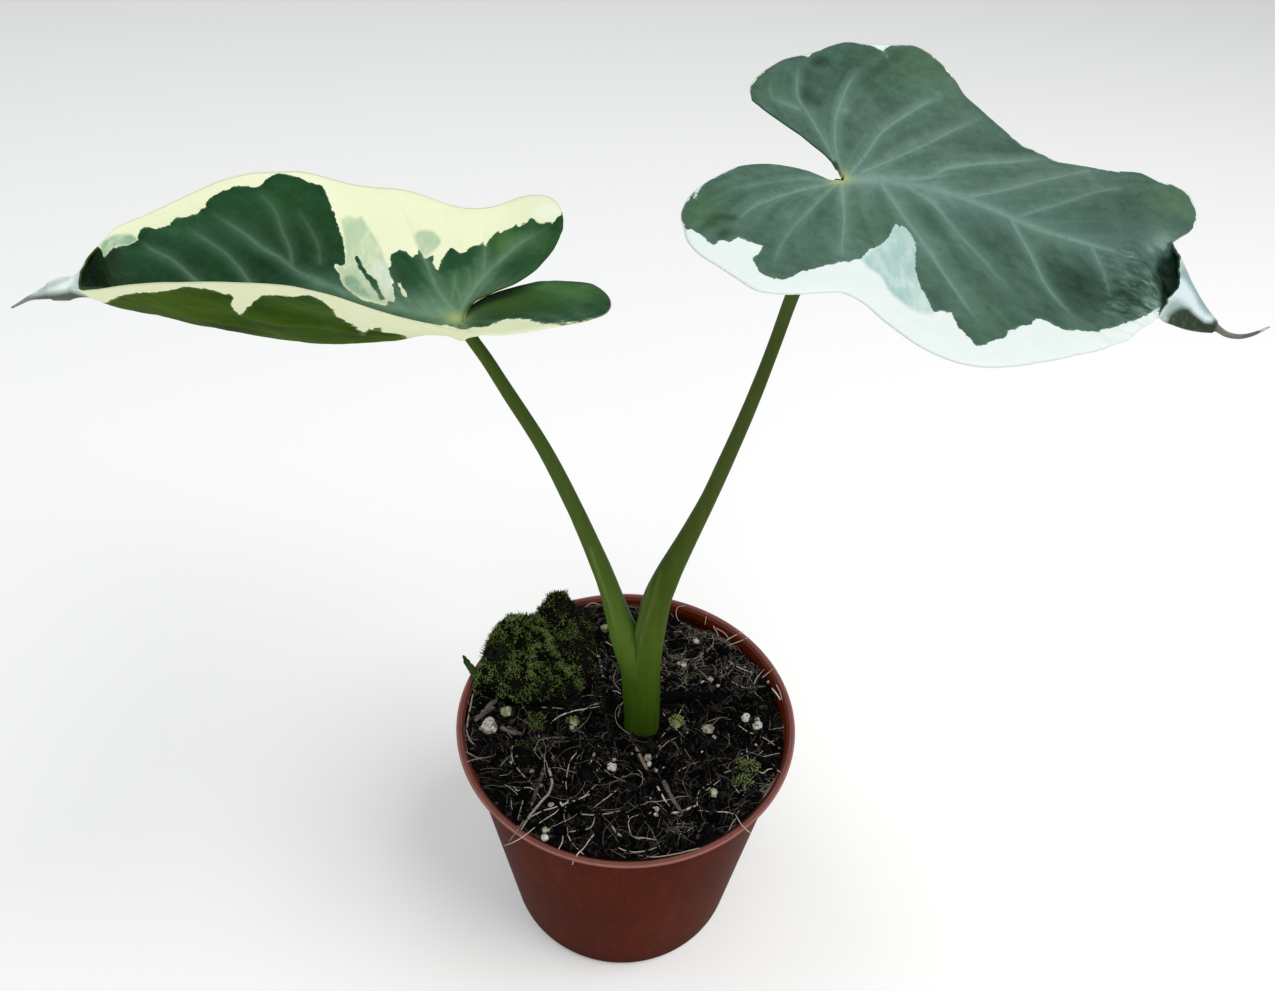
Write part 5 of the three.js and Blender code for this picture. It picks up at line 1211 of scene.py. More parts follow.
def build_pot():
    raw = [[0, 0.9], [38.4, 0.9], [39.2, 0.0], [42.4, 0], [43.6, 1.2], [56.95, 95.75], [57.4, 96.3], [59.4, 96.6], [59.95, 96.85], [60.05, 97.15], [59.7, 97.42], [59.35, 97.36], [59.1, 97.22], [58.85, 97.38], [58.4, 97.5], [58.0, 97.35], [57.7, 96.8], [56.6, 95.9], [55.6, 95.1], [54.7, 89.3], [42.9, 2.6], [42.0, 1.9], [0, 1.9]]
    radii = [0, 0.3, 0.3, 0.6, 0.8, 0.3, 0.3, 0.2, 0.2, 0.2, 0.2, 0.15, 0.12, 0.15, 0.25, 0.3, 0.3, 0.5, 0.8, 1.0, 0.5, 0.5, 0]
    prof = rounded(raw, radii)
    # more rows along the long walls
    fine = [prof[0]]
    for p in prof[1:]:
        L = np.linalg.norm(p - fine[-1])
        steps = max(1, int(L / 2.4))
        a = fine[-1]
        fine += [a + (p - a) * q for q in np.arange(1, steps + 1) / steps]
    prof = np.array(fine)
    S = 216
    ang = np.arange(S) / S * 2 * np.pi
    inner = prof[1:-1]
    r = np.tile(inner[:, 0][:, None], (1, S))
    z = np.tile(inner[:, 1][:, None], (1, S))
    # a thin moulded wall is never quite round or level
    p3 = np.stack([np.tile(np.cos(ang), (len(inner), 1)) * 1.3, np.tile(np.sin(ang), (len(inner), 1)) * 1.3, z / 60], -1).reshape(-1, 3)
    wob = (fbm(p3, 2, 40) - 0.5).reshape(z.shape)
    r = r + wob * 0.35 * np.clip(z / 60, 0, 1) * (z < 94.8)
    V = np.stack([r * np.cos(ang), r * np.sin(ang), z], -1).reshape(-1, 3)
    m = len(inner)
    V = np.vstack([V, [[0, 0, prof[0][1]]], [[0, 0, prof[-1][1]]]])
    F = []
    for i in range(m - 1):
        for j in range(S):
            k = (j + 1) % S
            F += [(i * S + j, i * S + k, (i + 1) * S + k), (i * S + j, (i + 1) * S + k, (i + 1) * S + j)]
    for j in range(S):
        k = (j + 1) % S
        F += [(m * S, k, j), (m * S + 1, (m - 1) * S + j, (m - 1) * S + k)]
    F = np.array(F)
    if volume6(V, F) < 0:
        F = F[:, ::-1]
    n = Nodes("pot_plastic")
    cloud = n.noise(26, 4, 0.55, 0.4)
    grain = n.noise(850, 3, 0.65)
    speck = n.voronoi(420)
    upright = n.noise(1.0, 3, 0.5, 0.0, n.scale(120, 120, 9))
    wear_and_sheen = n.noise(90, 5, 0.7, 1.2)
    G = 0.004
    c = n.ramp(n.math("ADD", n.math("MULTIPLY", cloud, 0.5), n.math("MULTIPLY", grain, 0.5)), [(0.28, shown(58, 20, 9, G)), (0.5, shown(74, 28, 15, G)), (0.72, shown(93, 39, 23, G))])
    c = n.mix(n.math("MULTIPLY", n.step(speck, 0.0, 0.20, 1.0, 0.0), 0.18), c, shown(56, 24, 15, G))
    c = n.mix(n.math("MULTIPLY", n.step(upright, 0.5, 0.75), 0.18), c, shown(102, 52, 38, G))
    c = n.mix(n.math("MULTIPLY", n.step(wear_and_sheen, 0.6, 0.78), 0.25), c, shown(62, 33, 22, G))
    sep = n.t.nodes.new("ShaderNodeSeparateXYZ")
    n.t.links.new(n.co, sep.inputs[0])
    # the rounded lip carries a painted highlight in a paler pink, most of all along its two ridges
    lip_highlight = n.step(sep.outputs[2], 0.0963, 0.0966)
    far = n.t.nodes.new("ShaderNodeVectorMath")
    far.operation = "LENGTH"
    flat = n.t.nodes.new("ShaderNodeCombineXYZ")
    n.t.links.new(sep.outputs[0], flat.inputs[0])
    n.t.links.new(sep.outputs[1], flat.inputs[1])
    n.t.links.new(flat.outputs[0], far.inputs[0])
    outer = n.step(far.outputs["Value"], 0.0588, 0.0592)
    c = n.mix(n.math("MULTIPLY", lip_highlight, n.math("ADD", n.math("MULTIPLY", outer, 0.45), 0.3)), c, shown(142, 92, 86, G))
    # painted highlight along the lip's two ridges, broken up by the same noise as the darker wear patches
    ridge = n.math("MULTIPLY", n.step(sep.outputs[2], 0.0972, 0.09745), n.math("ADD", n.math("MULTIPLY", outer, 0.7), 0.3))
    c = n.mix(n.math("MULTIPLY", n.math("MULTIPLY", ridge, n.step(wear_and_sheen, 0.3, 0.6, 0.5, 1.0)), 0.7), c, shown(178, 130, 124, G))
    # deep in the shade on the inner wall, with soil rubbed on it
    inside = n.math("SUBTRACT", n.math("ADD", 0.0427, n.math("MULTIPLY", sep.outputs[2], 0.139)), far.outputs["Value"])
    c = n.mix(n.math("MULTIPLY", n.step(inside, -0.0002, 0.0001), 0.72), c, shown(58, 24, 16, G))
    foot = n.step(n.math("ADD", sep.outputs[2], n.math("MULTIPLY", n.math("SUBTRACT", wear_and_sheen, 0.5), 0.02)), 0.0, 0.012, 1.0, 0.0)
    c = n.mix(n.math("MULTIPLY", foot, 0.35), c, shown(48, 24, 15, G))
    n.set(Base_Color=c, Roughness=n.math("ADD", n.math("MULTIPLY", cloud, 0.14), 0.36))
    n.bsdf.inputs["Specular IOR Level"].default_value = 0.008
    n.bump(n.math("ADD", n.math("MULTIPLY", grain, 0.5), n.math("MULTIPLY", speck, 0.5)), 0.14, 0.0004)
    ob = fast_piece("pot_shell", V, F, [n.mat], node="pot")
    # drain holes
    bpy.context.view_layer.objects.active = ob
    holes = []
    hv, hf = [], []
    for i in range(8):
        a = (i + 0.5) / 8 * 2 * math.pi
        cx, cy, k = 30 * math.cos(a), 30 * math.sin(a), 32
        base = len(hv)
        for zz in (-2.0, 4.0):
            hv += [(cx + 3.5 * math.cos(b / k * 2 * math.pi), cy + 3.5 * math.sin(b / k * 2 * math.pi), zz) for b in range(k)]
        hf.append(tuple(base + b for b in reversed(range(k))))
        hf.append(tuple(base + k + b for b in range(k)))
        hf += [(base + b, base + (b + 1) % k, base + k + (b + 1) % k, base + k + b) for b in range(k)]
    cut = make_piece("cutter", hv, hf, [], None, None, False)
    mod = ob.modifiers.new("holes", "BOOLEAN")
    mod.object, mod.operation, mod.solver = cut, "DIFFERENCE", "EXACT"
    bpy.context.view_layer.update()
    dg = bpy.context.evaluated_depsgraph_get()
    made = bpy.data.meshes.new_from_object(ob.evaluated_get(dg), depsgraph=dg)
    ob.modifiers.clear()
    ob.data = made
    made.name = "pot_shell"
    bpy.data.objects.remove(cut)
    return ob


build_pot()


# ------------------------------------------------------------------ ground
def wave(a, b, c=0.0):
    return np.sin(1.7 * a + c) * np.cos(1.3 * b - 0.7 * c) + 0.5 * np.sin(3.1 * a - 2.3 * b + c)


def soil_top(x, y):
    x, y = np.asarray(x, float), np.asarray(y, float)
    r = np.hypot(x, y)
    z = 92.0 + 2.6 * np.clip((r - 18) / 36, 0, 1) ** 1.5 + 0.6 * x / 55
    dip = 1.8 * np.exp(-((x - 30) ** 2 + (y - 46) ** 2) / 162)
    return z - dip + 0.45 * wave(x / 7, y / 7) * np.clip((r - 9) / 8, 0, 1)


# how high the soil is banked against the wall, round the pot
EDGE_TURN = [-180, -20, 0, 25, 45, 57, 70, 82, 100, 130, 180]
EDGE_RISE = [96.4, 96.3, 95.4, 94.0, 91.8, 90.6, 91.8, 93.6, 95.0, 95.9, 96.4]


def edge_height(x, y):
    return np.interp(np.degrees(np.arctan2(y, x)), EDGE_TURN, EDGE_RISE)


def edge_radius(x, y):
    z = edge_height(x, y)
    return np.where(z < 95.1, 42.2 + 0.13898 * z, np.interp(z, [95.1, 95.9, 96.8], [55.42, 56.5, 57.6]))


def ground(x, y):
    x, y = np.atleast_1d(np.asarray(x, float)), np.atleast_1d(np.asarray(y, float))
    p = np.stack([x, y, 0 * x], 1)
    r = np.hypot(x, y)
    lump = (fbm(p / 6.0, 3, 50) - 0.5) * 2.4 + (fbm(p / 1.7, 3, 60) - 0.5) * 1.5
    pit = -1.5 * np.clip((fbm(p / 4.2, 2, 70) - 0.62) * 6, 0, 1)
    # a shallow hollow where the stalks come up
    hollow = -0.6 * np.exp(-((x - 5) ** 2 + (y + 5) ** 2) / 40)
    z = soil_top(x, y) + hollow
    R = edge_radius(x, y)
    bank = np.clip((r - 50.5) / (R - 50.5), 0, 1) ** 1.4
    z = z * (1 - bank) + edge_height(x, y) * bank
    return z + (lump + pit) * np.clip((R + 1.2 - r) / 3, 0.3, 1)


def inner_radius(z):
    return 42.3 + 0.13898 * z


def trace(points, lift=0.3):
    """View points laid on the ground. A third number is an absolute height; 'out' and 'in' put a point on the pot's outer or inner wall."""
    out = []
    for p in points:
        if len(p) == 3 and p[2] in ("out", "in"):
            s = np.linspace(0.0, 200.0, 4001)
            zs = 110.0 - s
            q = np.array([from_view(p[0], p[1], z) for z in zs])
            r = np.hypot(q[:, 0], q[:, 1])
            if p[2] == "out":
                gap = r - (43.6 + 0.14074 * (zs - 1.2) + 0.35)
                k = next((i for i in range(len(s)) if gap[i] < 0 and q[i, 1] < 30 and zs[i] < 96), None)
            else:
                gap = r - (inner_radius(np.minimum(zs, 95.5)) + 1.6 * np.clip(zs - 95.5, 0, 1.5) - 0.35)
                k = next((i for i in range(1, len(s)) if gap[i] > 0 and gap[i - 1] <= 0 and zs[i] < 97.4), None)
            point = q[k] if k is not None else from_view(p[0], p[1], 97.7)
            far = math.hypot(point[0], point[1])
            if far > 60.2:
                point = np.array([point[0] * 60.2 / far, point[1] * 60.2 / far, point[2]])
            out.append(point)
            continue
        if len(p) == 3:
            out.append(from_view(p[0], p[1], p[2]))
            continue
        z = 91.5
        for _ in range(8):
            q = from_view(p[0], p[1], z)
            z = float(ground(q[0], q[1])[0]) + lift
        point = from_view(p[0], p[1], z)
        if point[1] > 8 and math.hypot(point[0], point[1]) > float(edge_radius(point[0], point[1])) - 0.6:
            # at the back the line of sight meets the inner wall first
            wall = trace([(p[0], p[1], "in")])[0]
            point = wall if wall[2] > 85 else point
        out.append(point)
    return np.array(out)


def in_pot(x, y, margin=1.0):
    return np.hypot(x, y) < edge_radius(x, y) - 0.2 - 0.6 * margin


MOSS_EDGE = np.array([[-53, 9.1], [-46.8, 6.6], [-37.9, 5.2], [-30, 6.9], [-22, 11], [-15.5, 16.8], [-11.5, 25.2], [-10.9, 34.4], [-12.8, 42], [-14.5, 51.5], [-22, 49.6], [-30, 45.3], [-39, 37.8], [-46, 28.8], [-51, 18.6]])


def moss_inside(x, y):
    return signed(np.stack([np.atleast_1d(x), np.atleast_1d(y)], 1), MOSS_EDGE)


def soil_material():
    n = Nodes("potting_soil")
    s = n.attr("shade")
    mottle = n.noise(900, 4, 0.65)
    patch = n.noise(110, 3, 0.6)
    t = n.math("ADD", n.math("MULTIPLY", s, 0.62), n.math("MULTIPLY", n.math("ADD", n.math("MULTIPLY", mottle, 0.6), n.math("MULTIPLY", patch, 0.4)), 0.38))
    c = n.ramp(t, [(0.16, lin(2, 2, 2)), (0.38, lin(7, 6, 6)), (0.56, lin(20, 18, 17)), (0.75, lin(46, 41, 38)), (1.0, lin(92, 84, 78))])
    n.set(Base_Color=c, Roughness=0.82)
    n.bsdf.inputs["Specular IOR Level"].default_value = 0.03
    n.bump(mottle, 0.5, 0.0005)
    return n.mat


mat_soil = soil_material()


def build_bed():
    S, R = 320, 120
    ang = np.arange(S) / S * 2 * np.pi
    rr = np.linspace(0, 1, R + 1)[1:] ** 0.8
    lim = edge_radius(np.cos(ang), np.sin(ang)) - 0.05
    X, Y = rr[:, None] * lim * np.cos(ang), rr[:, None] * lim * np.sin(ang)
    Z = ground(X.ravel(), Y.ravel()).reshape(X.shape)
    top = np.stack([X, Y, Z], -1).reshape(-1, 3)
    rows = [top]
    rise = edge_height(np.cos(ang), np.sin(ang))
    r = np.minimum(lim - 1.3, 55.0)
    rows.append(np.stack([r * np.cos(ang), r * np.sin(ang), rise - 2.0], -1))
    levels = [86, 70, 45, 20, 2.6]
    for z in levels:
        r = inner_radius(z) - 0.35
        rows.append(np.stack([r * np.cos(ang), r * np.sin(ang), np.full(S, float(z))], -1))
    V = np.vstack(rows + [[[0, 0, float(ground(0, 0)[0])]], [[0, 0, 2.6]]])
    total = R + len(levels) + 1
    c0, c1 = total * S, total * S + 1
    i, j = np.meshgrid(np.arange(total - 1), np.arange(S), indexing="ij")
    k = (j + 1) % S
    a, b, c, d = i * S + j, i * S + k, (i + 1) * S + k, (i + 1) * S + j
    F = np.concatenate([np.stack([a, c, b], -1).reshape(-1, 3), np.stack([a, d, c], -1).reshape(-1, 3)])
    j = np.arange(S)
    k = (j + 1) % S
    F = np.vstack([F, np.stack([np.full(S, c0), j, k], 1), np.stack([np.full(S, c1), (total - 1) * S + k, (total - 1) * S + j], 1)])
    if volume6(V, F) < 0:
        F = F[:, ::-1]
    shade = fbm(V / 1.3, 3, 80) * 0.7
    fast_piece("soil_bed", V, F, [mat_soil], dict(shade=shade), node="soil")


def scatter_points(n, rng, margin=1.0, clear=None):
    pts = []
    while len(pts) < n:
        x, y = rng.uniform(-57.5, 57.5, (2, n * 2))
        ok = in_pot(x, y, margin) & (moss_inside(x, y) < 1.0)
        ok &= ~(((x - 7.3) / 5.4) ** 2 + ((y + 1.2) / 4.6) ** 2 < 1) & ~(((x - 3) / 4.6) ** 2 + ((y - 0.6) / 4.2) ** 2 < 1)
        pts += list(zip(x[ok], y[ok]))
    return np.array(pts[:n])


def build_crumbs():
    rng = np.random.default_rng(5)
    parts = []
    for count, lo, hi, level, sink in ((7200, 0.22, 0.62, 0, 0.1), (1900, 0.55, 1.15, 1, 0.15), (150, 1.1, 2.2, 2, 0.35)):
        xy = scatter_points(count, rng, 0.9)
        r = lo + (hi - lo) * rng.random(count) ** 2
        sizes = np.stack([r * rng.uniform(0.9, 1.9, count), r * rng.uniform(0.7, 1.1, count), r * rng.uniform(0.5, 0.9, count)], 1)
        keep = np.hypot(xy[:, 0], xy[:, 1]) + sizes.max(1) < edge_radius(xy[:, 0], xy[:, 1]) + 0.1
        xy, r, sizes = xy[keep], r[keep], sizes[keep]
        at = np.stack([xy[:, 0], xy[:, 1], ground(xy[:, 0], xy[:, 1]) + r * (0.5 - sink)], 1)
        V, F, m = lumps(at, sizes, rng, level, 0.30)
        shade = np.repeat(np.clip(rng.normal(0.42, 0.2, len(at)), 0, 1), m)
        parts.append((V, F, dict(shade=shade)))
    # woody flakes
    count = 1300
    xy = scatter_points(count, rng, 1.6)
    L = 0.7 + 1.6 * rng.random(count) ** 2
    at = np.stack([xy[:, 0], xy[:, 1], ground(xy[:, 0], xy[:, 1]) + 0.35], 1)
    V, F, m = lumps(at, np.stack([L, L * 0.42, np.full(count, 0.16)], 1), rng, 0, 0.2)
    flakes = (V, F, dict(shade=np.repeat(np.clip(rng.normal(0.75, 0.2, count), 0, 1), m)))
    V, F, A = gather([parts[0], flakes])
    fast_piece("soil_crumbs_fine", V, F, [mat_soil], A, smooth=False)
    V, F, A = gather(parts[1:])
    fast_piece("soil_crumbs_coarse", V, F, [mat_soil], A, smooth=True)


build_bed()
build_crumbs()


# ------------------------------------------------------------------ roots, twigs and bark
def fibre_material(name="dry_fibre"):
    n = Nodes(name)
    s = n.attr("shade")
    streak = n.noise(1400, 3, 0.6)
    t = n.math("ADD", s, n.math("MULTIPLY", n.math("SUBTRACT", streak, 0.5), 0.25))
    c = n.ramp(t, [(0.0, lin(20, 15, 13)), (0.25, lin(48, 42, 38)), (0.5, lin(96, 90, 84)), (0.75, lin(158, 150, 138)), (1.0, lin(220, 212, 196))])
    c = n.mix(n.attr("red"), c, lin(122, 72, 50))
    c = n.mix(n.attr("green"), c, lin(122, 136, 66))
    n.set(Base_Color=c, Roughness=0.7)
    n.bsdf.inputs["Specular IOR Level"].default_value = 0.12
    n.bump(streak, 0.3, 0.0003)
    return n.mat


mat_fibre = fibre_material()


def random_fibres(count, rng, lo, hi, radius, k, lift, shade, region=None, sides=3):
    xy = scatter_points(count, rng, 2.2) if region is None else region(count, rng)
    L = lo + (hi - lo) * rng.random(count) ** 1.6
    heading = rng.uniform(0, 2 * np.pi, count)
    bend = rng.normal(0, 0.45, count) / 5.0
    wig = rng.normal(0, 0.26, (count, k))
    step = L / (k - 1)
    P = np.zeros((count, k, 3))
    P[:, 0, :2] = xy
    h = heading.copy()
    for i in range(1, k):
        h = h + bend * step + wig[:, i] * 0.4
        P[:, i, 0] = P[:, i - 1, 0] + np.cos(h) * step
        P[:, i, 1] = P[:, i - 1, 1] + np.sin(h) * step
    r = np.hypot(P[..., 0], P[..., 1])
    lim = edge_radius(P[..., 0], P[..., 1]) - 0.1
    f = np.minimum(1, lim / np.maximum(r, 1e-6))
    P[..., 0] *= f
    P[..., 1] *= f
    flat = P.reshape(-1, 3)
    g = ground(flat[:, 0], flat[:, 1]).reshape(count, k)
    arch = np.sin(np.linspace(0, 1, k) * np.pi)[None] * (rng.random(count) ** 2 * lift)[:, None]
    tilt = np.linspace(0, 1, k)[None] * (rng.random(count) ** 4 * lift * 1.3)[:, None]
    P[..., 2] = g.mean(1)[:, None] * 0.35 + g * 0.65 + 0.35 + arch + tilt + rng.uniform(-0.2, 0.4, (count, 1))
    R = (radius[0] + (radius[1] - radius[0]) * rng.random(count) ** 2)[:, None] * np.linspace(1.0, 0.45, k)[None]
    V, F, m = fibres(P, R, sides)
    s = np.clip(rng.normal(shade[0], shade[1], count), 0, 1)
    return V, F, dict(shade=np.repeat(s, m))


def traced(points, radius, shade=0.6, lift=0.35, red=0.0, green=0.0, wobble=0.12, rng=np.random.default_rng(77), sides=6):
    P = trace(points, lift)
    k = max(12, int(np.linalg.norm(np.diff(P, axis=0), axis=1).sum() / 0.8))
    Q = spline(P, np.linspace(0, 1, k))
    Q = Q + (np.stack([fbm(np.stack([np.arange(k) * 0.35, np.full(k, s * 9.1 + points[0][0]), np.zeros(k)], 1), 2, s) for s in range(3)], 1) - 0.5) * wobble * 4
    r = radius * (1 + 0.3 * (fbm(np.stack([np.arange(k) * 0.5, np.full(k, points[0][1]), np.zeros(k)], 1), 2, 8) - 0.5) * 2)
    r = r * np.interp(np.linspace(0, 1, k), [0, 0.06, 0.8, 1], [0.6, 1, 0.85, 0.35])
    V, F, m = fibres(Q[None], r[None], sides)
    return V, F, dict(shade=shade, red=red, green=green)


def straw(count, cx, cy, rx, ry, rng, lo, hi, shade, lift, radius=(0.07, 0.16)):
    c = trace([(cx, cy)], 0)[0]

    def region(n, r):
        a, q = r.uniform(0, 2 * np.pi, n), np.sqrt(r.random(n))
        return np.stack([c[0] + np.cos(a) * q * rx, c[1] + np.sin(a) * q * ry], 1)

    return random_fibres(count, rng, lo, hi, radius, 7, lift, (shade, 0.14), region)


def build_roots():
    rng = np.random.default_rng(11)
    parts = [
        random_fibres(2000, rng, 1.5, 6.0, (0.04, 0.09), 6, 1.0, (0.36, 0.18)),
        random_fibres(520, rng, 5.0, 14.0, (0.05, 0.11), 10, 1.8, (0.50, 0.2)),
    ]
    V, F, A = gather(parts)
    fast_piece("root_hairs", V, F, [mat_fibre], A)
    parts = [
        random_fibres(70, rng, 8.0, 22.0, (0.07, 0.14), 16, 2.2, (0.66, 0.15), None, 5),
        straw(95, 720, 641, 10, 4, rng, 2.0, 7.0, 0.72, 2.4),
        straw(60, 690, 634, 6, 3, rng, 2.0, 6.0, 0.62, 1.6),
        straw(120, 688, 668, 13, 9, rng, 2.0, 8.0, 0.66, 1.6),
        straw(70, 742, 668, 7, 7, rng, 2.0, 6.0, 0.62, 1.4),
        straw(60, 600, 620, 6, 8, rng, 1.5, 5.0, 0.55, 1.4),
        straw(70, 683, 830, 6, 3, rng, 1.5, 5.0, 0.62, 1.5),
        straw(60, 742, 690, 5, 3, rng, 1.5, 5.0, 0.5, 1.2),
        straw(70, 770, 790, 4, 3, rng, 2.0, 6.0, 0.7, 1.2),
        straw(50, 608, 668, 5, 6, rng, 1.5, 4.5, 0.52, 1.4),
    ]
    T = [
        ([(473, 694), (471, 705), (468, 720), (467, 730), (470, 740), (476, 746)], 0.5, 0.62),
        ([(549, 729), (552, 722), (560, 716), (570, 712), (585, 709), (602, 706)], 0.42, 0.86),
        ([(585, 709), (595, 704), (606, 702)], 0.3, 0.8),
        ([(527, 697), (532, 702), (541, 707), (556, 708), (577, 711)], 0.3, 0.7),
        ([(607, 692), (615, 691), (624, 695)], 0.3, 0.75),
        ([(518, 738), (513, 746), (512, 757), (517, 768), (525, 777), (535, 787)], 0.3, 0.72),
        ([(548, 767), (551, 776), (552, 785), (549, 793), (541, 802), (532, 813), (525, 823), (520, 831)], 0.85, 0.6),
        ([(592, 793), (576, 800), (558, 806), (541, 812), (529, 818), (516, 827)], 0.36, 0.75),
        ([(572, 797), (556, 812), (541, 822), (528, 833, 98.6), (516, 841, 97.9), (504, 846, 95.2)], 0.24, 0.8),
        ([(524, 820), (518, 829, 98.3), (513, 836, 98.5), (509, 842, 97.7)], 0.2, 0.55),
        ([(594, 834), (585, 846), (577, 855, 98.3), (572, 865, "out")], 0.34, 0.78),
        ([(563, 835), (562, 843), (558, 850)], 0.3, 0.8),
        ([(567, 834), (572, 843), (580, 851), (584, 855)], 0.3, 0.75),
        ([(513, 787), (518, 791), (524, 788), (531, 788), (537, 793), (541, 799)], 0.34, 0.72),
        ([(511, 798), (512, 808), (515, 815), (521, 816)], 0.28, 0.55),
        ([(525, 791), (523, 800), (520, 810), (518, 820)], 0.34, 0.6),
        ([(577, 752), (570, 762), (567, 775), (566, 785), (567, 791)], 0.36, 0.66),
        ([(583, 752), (578, 757), (574, 768), (572, 782)], 0.24, 0.55),
        ([(594, 753), (592, 760), (587, 768)], 0.3, 0.8),
        ([(597, 761), (605, 770), (613, 776), (628, 782)], 0.26, 0.55),
        ([(603, 778), (596, 785), (588, 792), (582, 799)], 0.28, 0.6),
        ([(623, 785), (612, 794), (601, 802), (593, 808)], 0.32, 0.66),
        ([(578, 814), (590, 815), (604, 814), (616, 812), (628, 807)], 0.44, 0.6),
        ([(569, 832), (579, 830), (588, 829), (593, 824), (595, 817)], 0.36, 0.66),
        ([(566, 806), (564, 815), (567, 826), (568, 834)], 0.3, 0.6),
        ([(581, 803), (577, 813), (572, 824)], 0.34, 0.6),
        ([(560, 818), (551, 828), (546, 836)], 0.24, 0.5),
        ([(612, 826), (618, 834), (628, 838), (642, 838), (656, 840)], 0.62, 0.62),
        ([(618, 848), (630, 852), (645, 851), (660, 846)], 0.3, 0.7),
        ([(700, 848), (680, 853), (655, 857), (636, 855)], 0.32, 0.62),
        ([(628, 822), (640, 818), (653, 811), (662, 804)], 0.34, 0.66),
        ([(628, 815), (629, 826), (630, 836)], 0.3, 0.55),
        ([(657, 786), (663, 797), (668, 805), (672, 813)], 0.66, 0.74),
        ([(672, 813), (681, 812), (690, 808), (698, 805)], 0.72, 0.74),
        ([(697, 806), (697, 798), (700, 790), (709, 784), (716, 778)], 0.42, 0.66),
        ([(702, 793), (711, 787), (720, 780)], 0.3, 0.66),
        ([(690, 688), (687, 697), (682, 708), (677, 718), (674, 727)], 0.24, 0.72),
        ([(661, 710), (668, 720), (675, 728), (684, 737)], 0.26, 0.72),
        ([(656, 742), (663, 735), (670, 727)], 0.24, 0.66),
        ([(656, 758), (661, 748), (669, 741), (679, 737)], 0.26, 0.6),
        ([(674, 741), (680, 752), (687, 762), (693, 770)], 0.24, 0.5),
        ([(677, 772), (684, 768), (690, 765), (700, 761)], 0.28, 0.72),
        ([(684, 748), (690, 758), (696, 766)], 0.2, 0.5),
        ([(723, 773), (730, 771), (738, 766), (746, 762)], 0.24, 0.66),
        ([(739, 775), (735, 785), (738, 792), (743, 795), (745, 789), (742, 775)], 0.24, 0.74),
        ([(749, 761), (747, 755), (747, 748)], 0.3, 0.8),
        ([(752, 761), (758, 755), (766, 748)], 0.24, 0.66),
        ([(762, 757), (771, 755), (780, 753)], 0.24, 0.66),
        ([(772, 688), (778, 696), (783, 704), (788, 714)], 0.5, 0.8),
        ([(776, 684), (780, 692), (782, 700)], 0.3, 0.7),
        ([(757, 771), (763, 773), (769, 769), (777, 770), (784, 775)], 0.3, 0.75),
        ([(735, 814), (741, 824, 98.3), (746, 829, 98.6), (751, 833, 97.8)], 0.22, 0.85),
        ([(736, 818), (732, 824), (729, 830)], 0.26, 0.66),
        ([(716, 812), (724, 812), (734, 814)], 0.3, 0.8),
        ([(727, 660), (738, 667), (748, 671), (757, 673)], 0.34, 0.72),
        ([(729, 680), (738, 685), (746, 688), (753, 685), (757, 678), (764, 669)], 0.36, 0.68),
        ([(751, 688), (757, 695), (763, 701)], 0.26, 0.6),
        ([(762, 678), (768, 673), (773, 669)], 0.3, 0.66),
        ([(738, 725), (748, 732), (760, 736), (772, 743), (780, 749)], 0.36, 0.66),
        ([(768, 744), (778, 738)], 0.26, 0.6),
        ([(688, 721), (700, 723), (712, 720), (720, 717)], 0.24, 0.55),
        ([(685, 606), (678, 607, "in"), (676, 614, "in"), (679, 621), (686, 627)], 0.26, 0.72),
        ([(708, 610, "in"), (706, 618, "in"), (705, 625)], 0.22, 0.78),
        ([(713, 626), (717, 633), (719, 640)], 0.3, 0.78),
        ([(716, 628), (724, 633), (730, 640)], 0.26, 0.74),
        ([(722, 643), (732, 637), (742, 632), (749, 628, "in")], 0.26, 0.8),
        ([(726, 646), (738, 642), (748, 638), (753, 636, "in")], 0.24, 0.78),
        ([(666, 632), (674, 632), (683, 631)], 0.26, 0.7),
        ([(661, 678), (667, 675), (673, 671)], 0.3, 0.72),
        ([(690, 660), (700, 656), (708, 650), (714, 643)], 0.26, 0.66),
        ([(668, 660), (660, 670), (655, 684)], 0.22, 0.55),
        ([(700, 672), (695, 664), (705, 655)], 0.22, 0.6),
        ([(585, 607), (592, 603), (600, 605), (606, 606)], 0.34, 0.66),
        ([(602, 634), (605, 641), (611, 645), (616, 648)], 0.34, 0.66),
        ([(608, 690), (620, 680), (628, 677)], 0.24, 0.6),
        ([(618, 718), (620, 708), (624, 700)], 0.32, 0.6),
        ([(556, 740), (551, 748), (545, 754)], 0.26, 0.45),
        ([(500, 766), (506, 760), (512, 754)], 0.3, 0.55),
        ([(466, 762, 97.8), (476, 759), (488, 757), (497, 754)], 0.28, 0.55),
        ([(466, 752), (474, 756), (478, 760)], 0.26, 0.6),
        ([(520, 737), (540, 738), (560, 737), (580, 739), (600, 740)], 0.42, 0.22),
        ([(545, 747), (560, 742), (578, 741)], 0.3, 0.25),
    ]
    for pts, r, s in T:
        parts.append(traced(pts, r * 0.62, min(s + 0.14, 0.97), 0.6, wobble=0.07))
    # twigs that lie over the foot of the moss
    parts.append(traced([(475, 721), (482, 713), (490, 705), (498, 698), (507, 688, 97.0)], 0.95, 0.5, 0.9, sides=10))
    parts.append(traced([(500, 727), (508, 731), (517, 735)], 0.8, 0.52, 0.8, sides=10))
    # two short pieces of pale straw by the stalks
    parts.append(traced([(635, 747), (640, 756), (645, 766), (648, 771)], 0.75, 0.72, red=0.35))
    V, F, A = gather(parts)
    fast_piece("roots_loose", V, F, [mat_fibre], A)


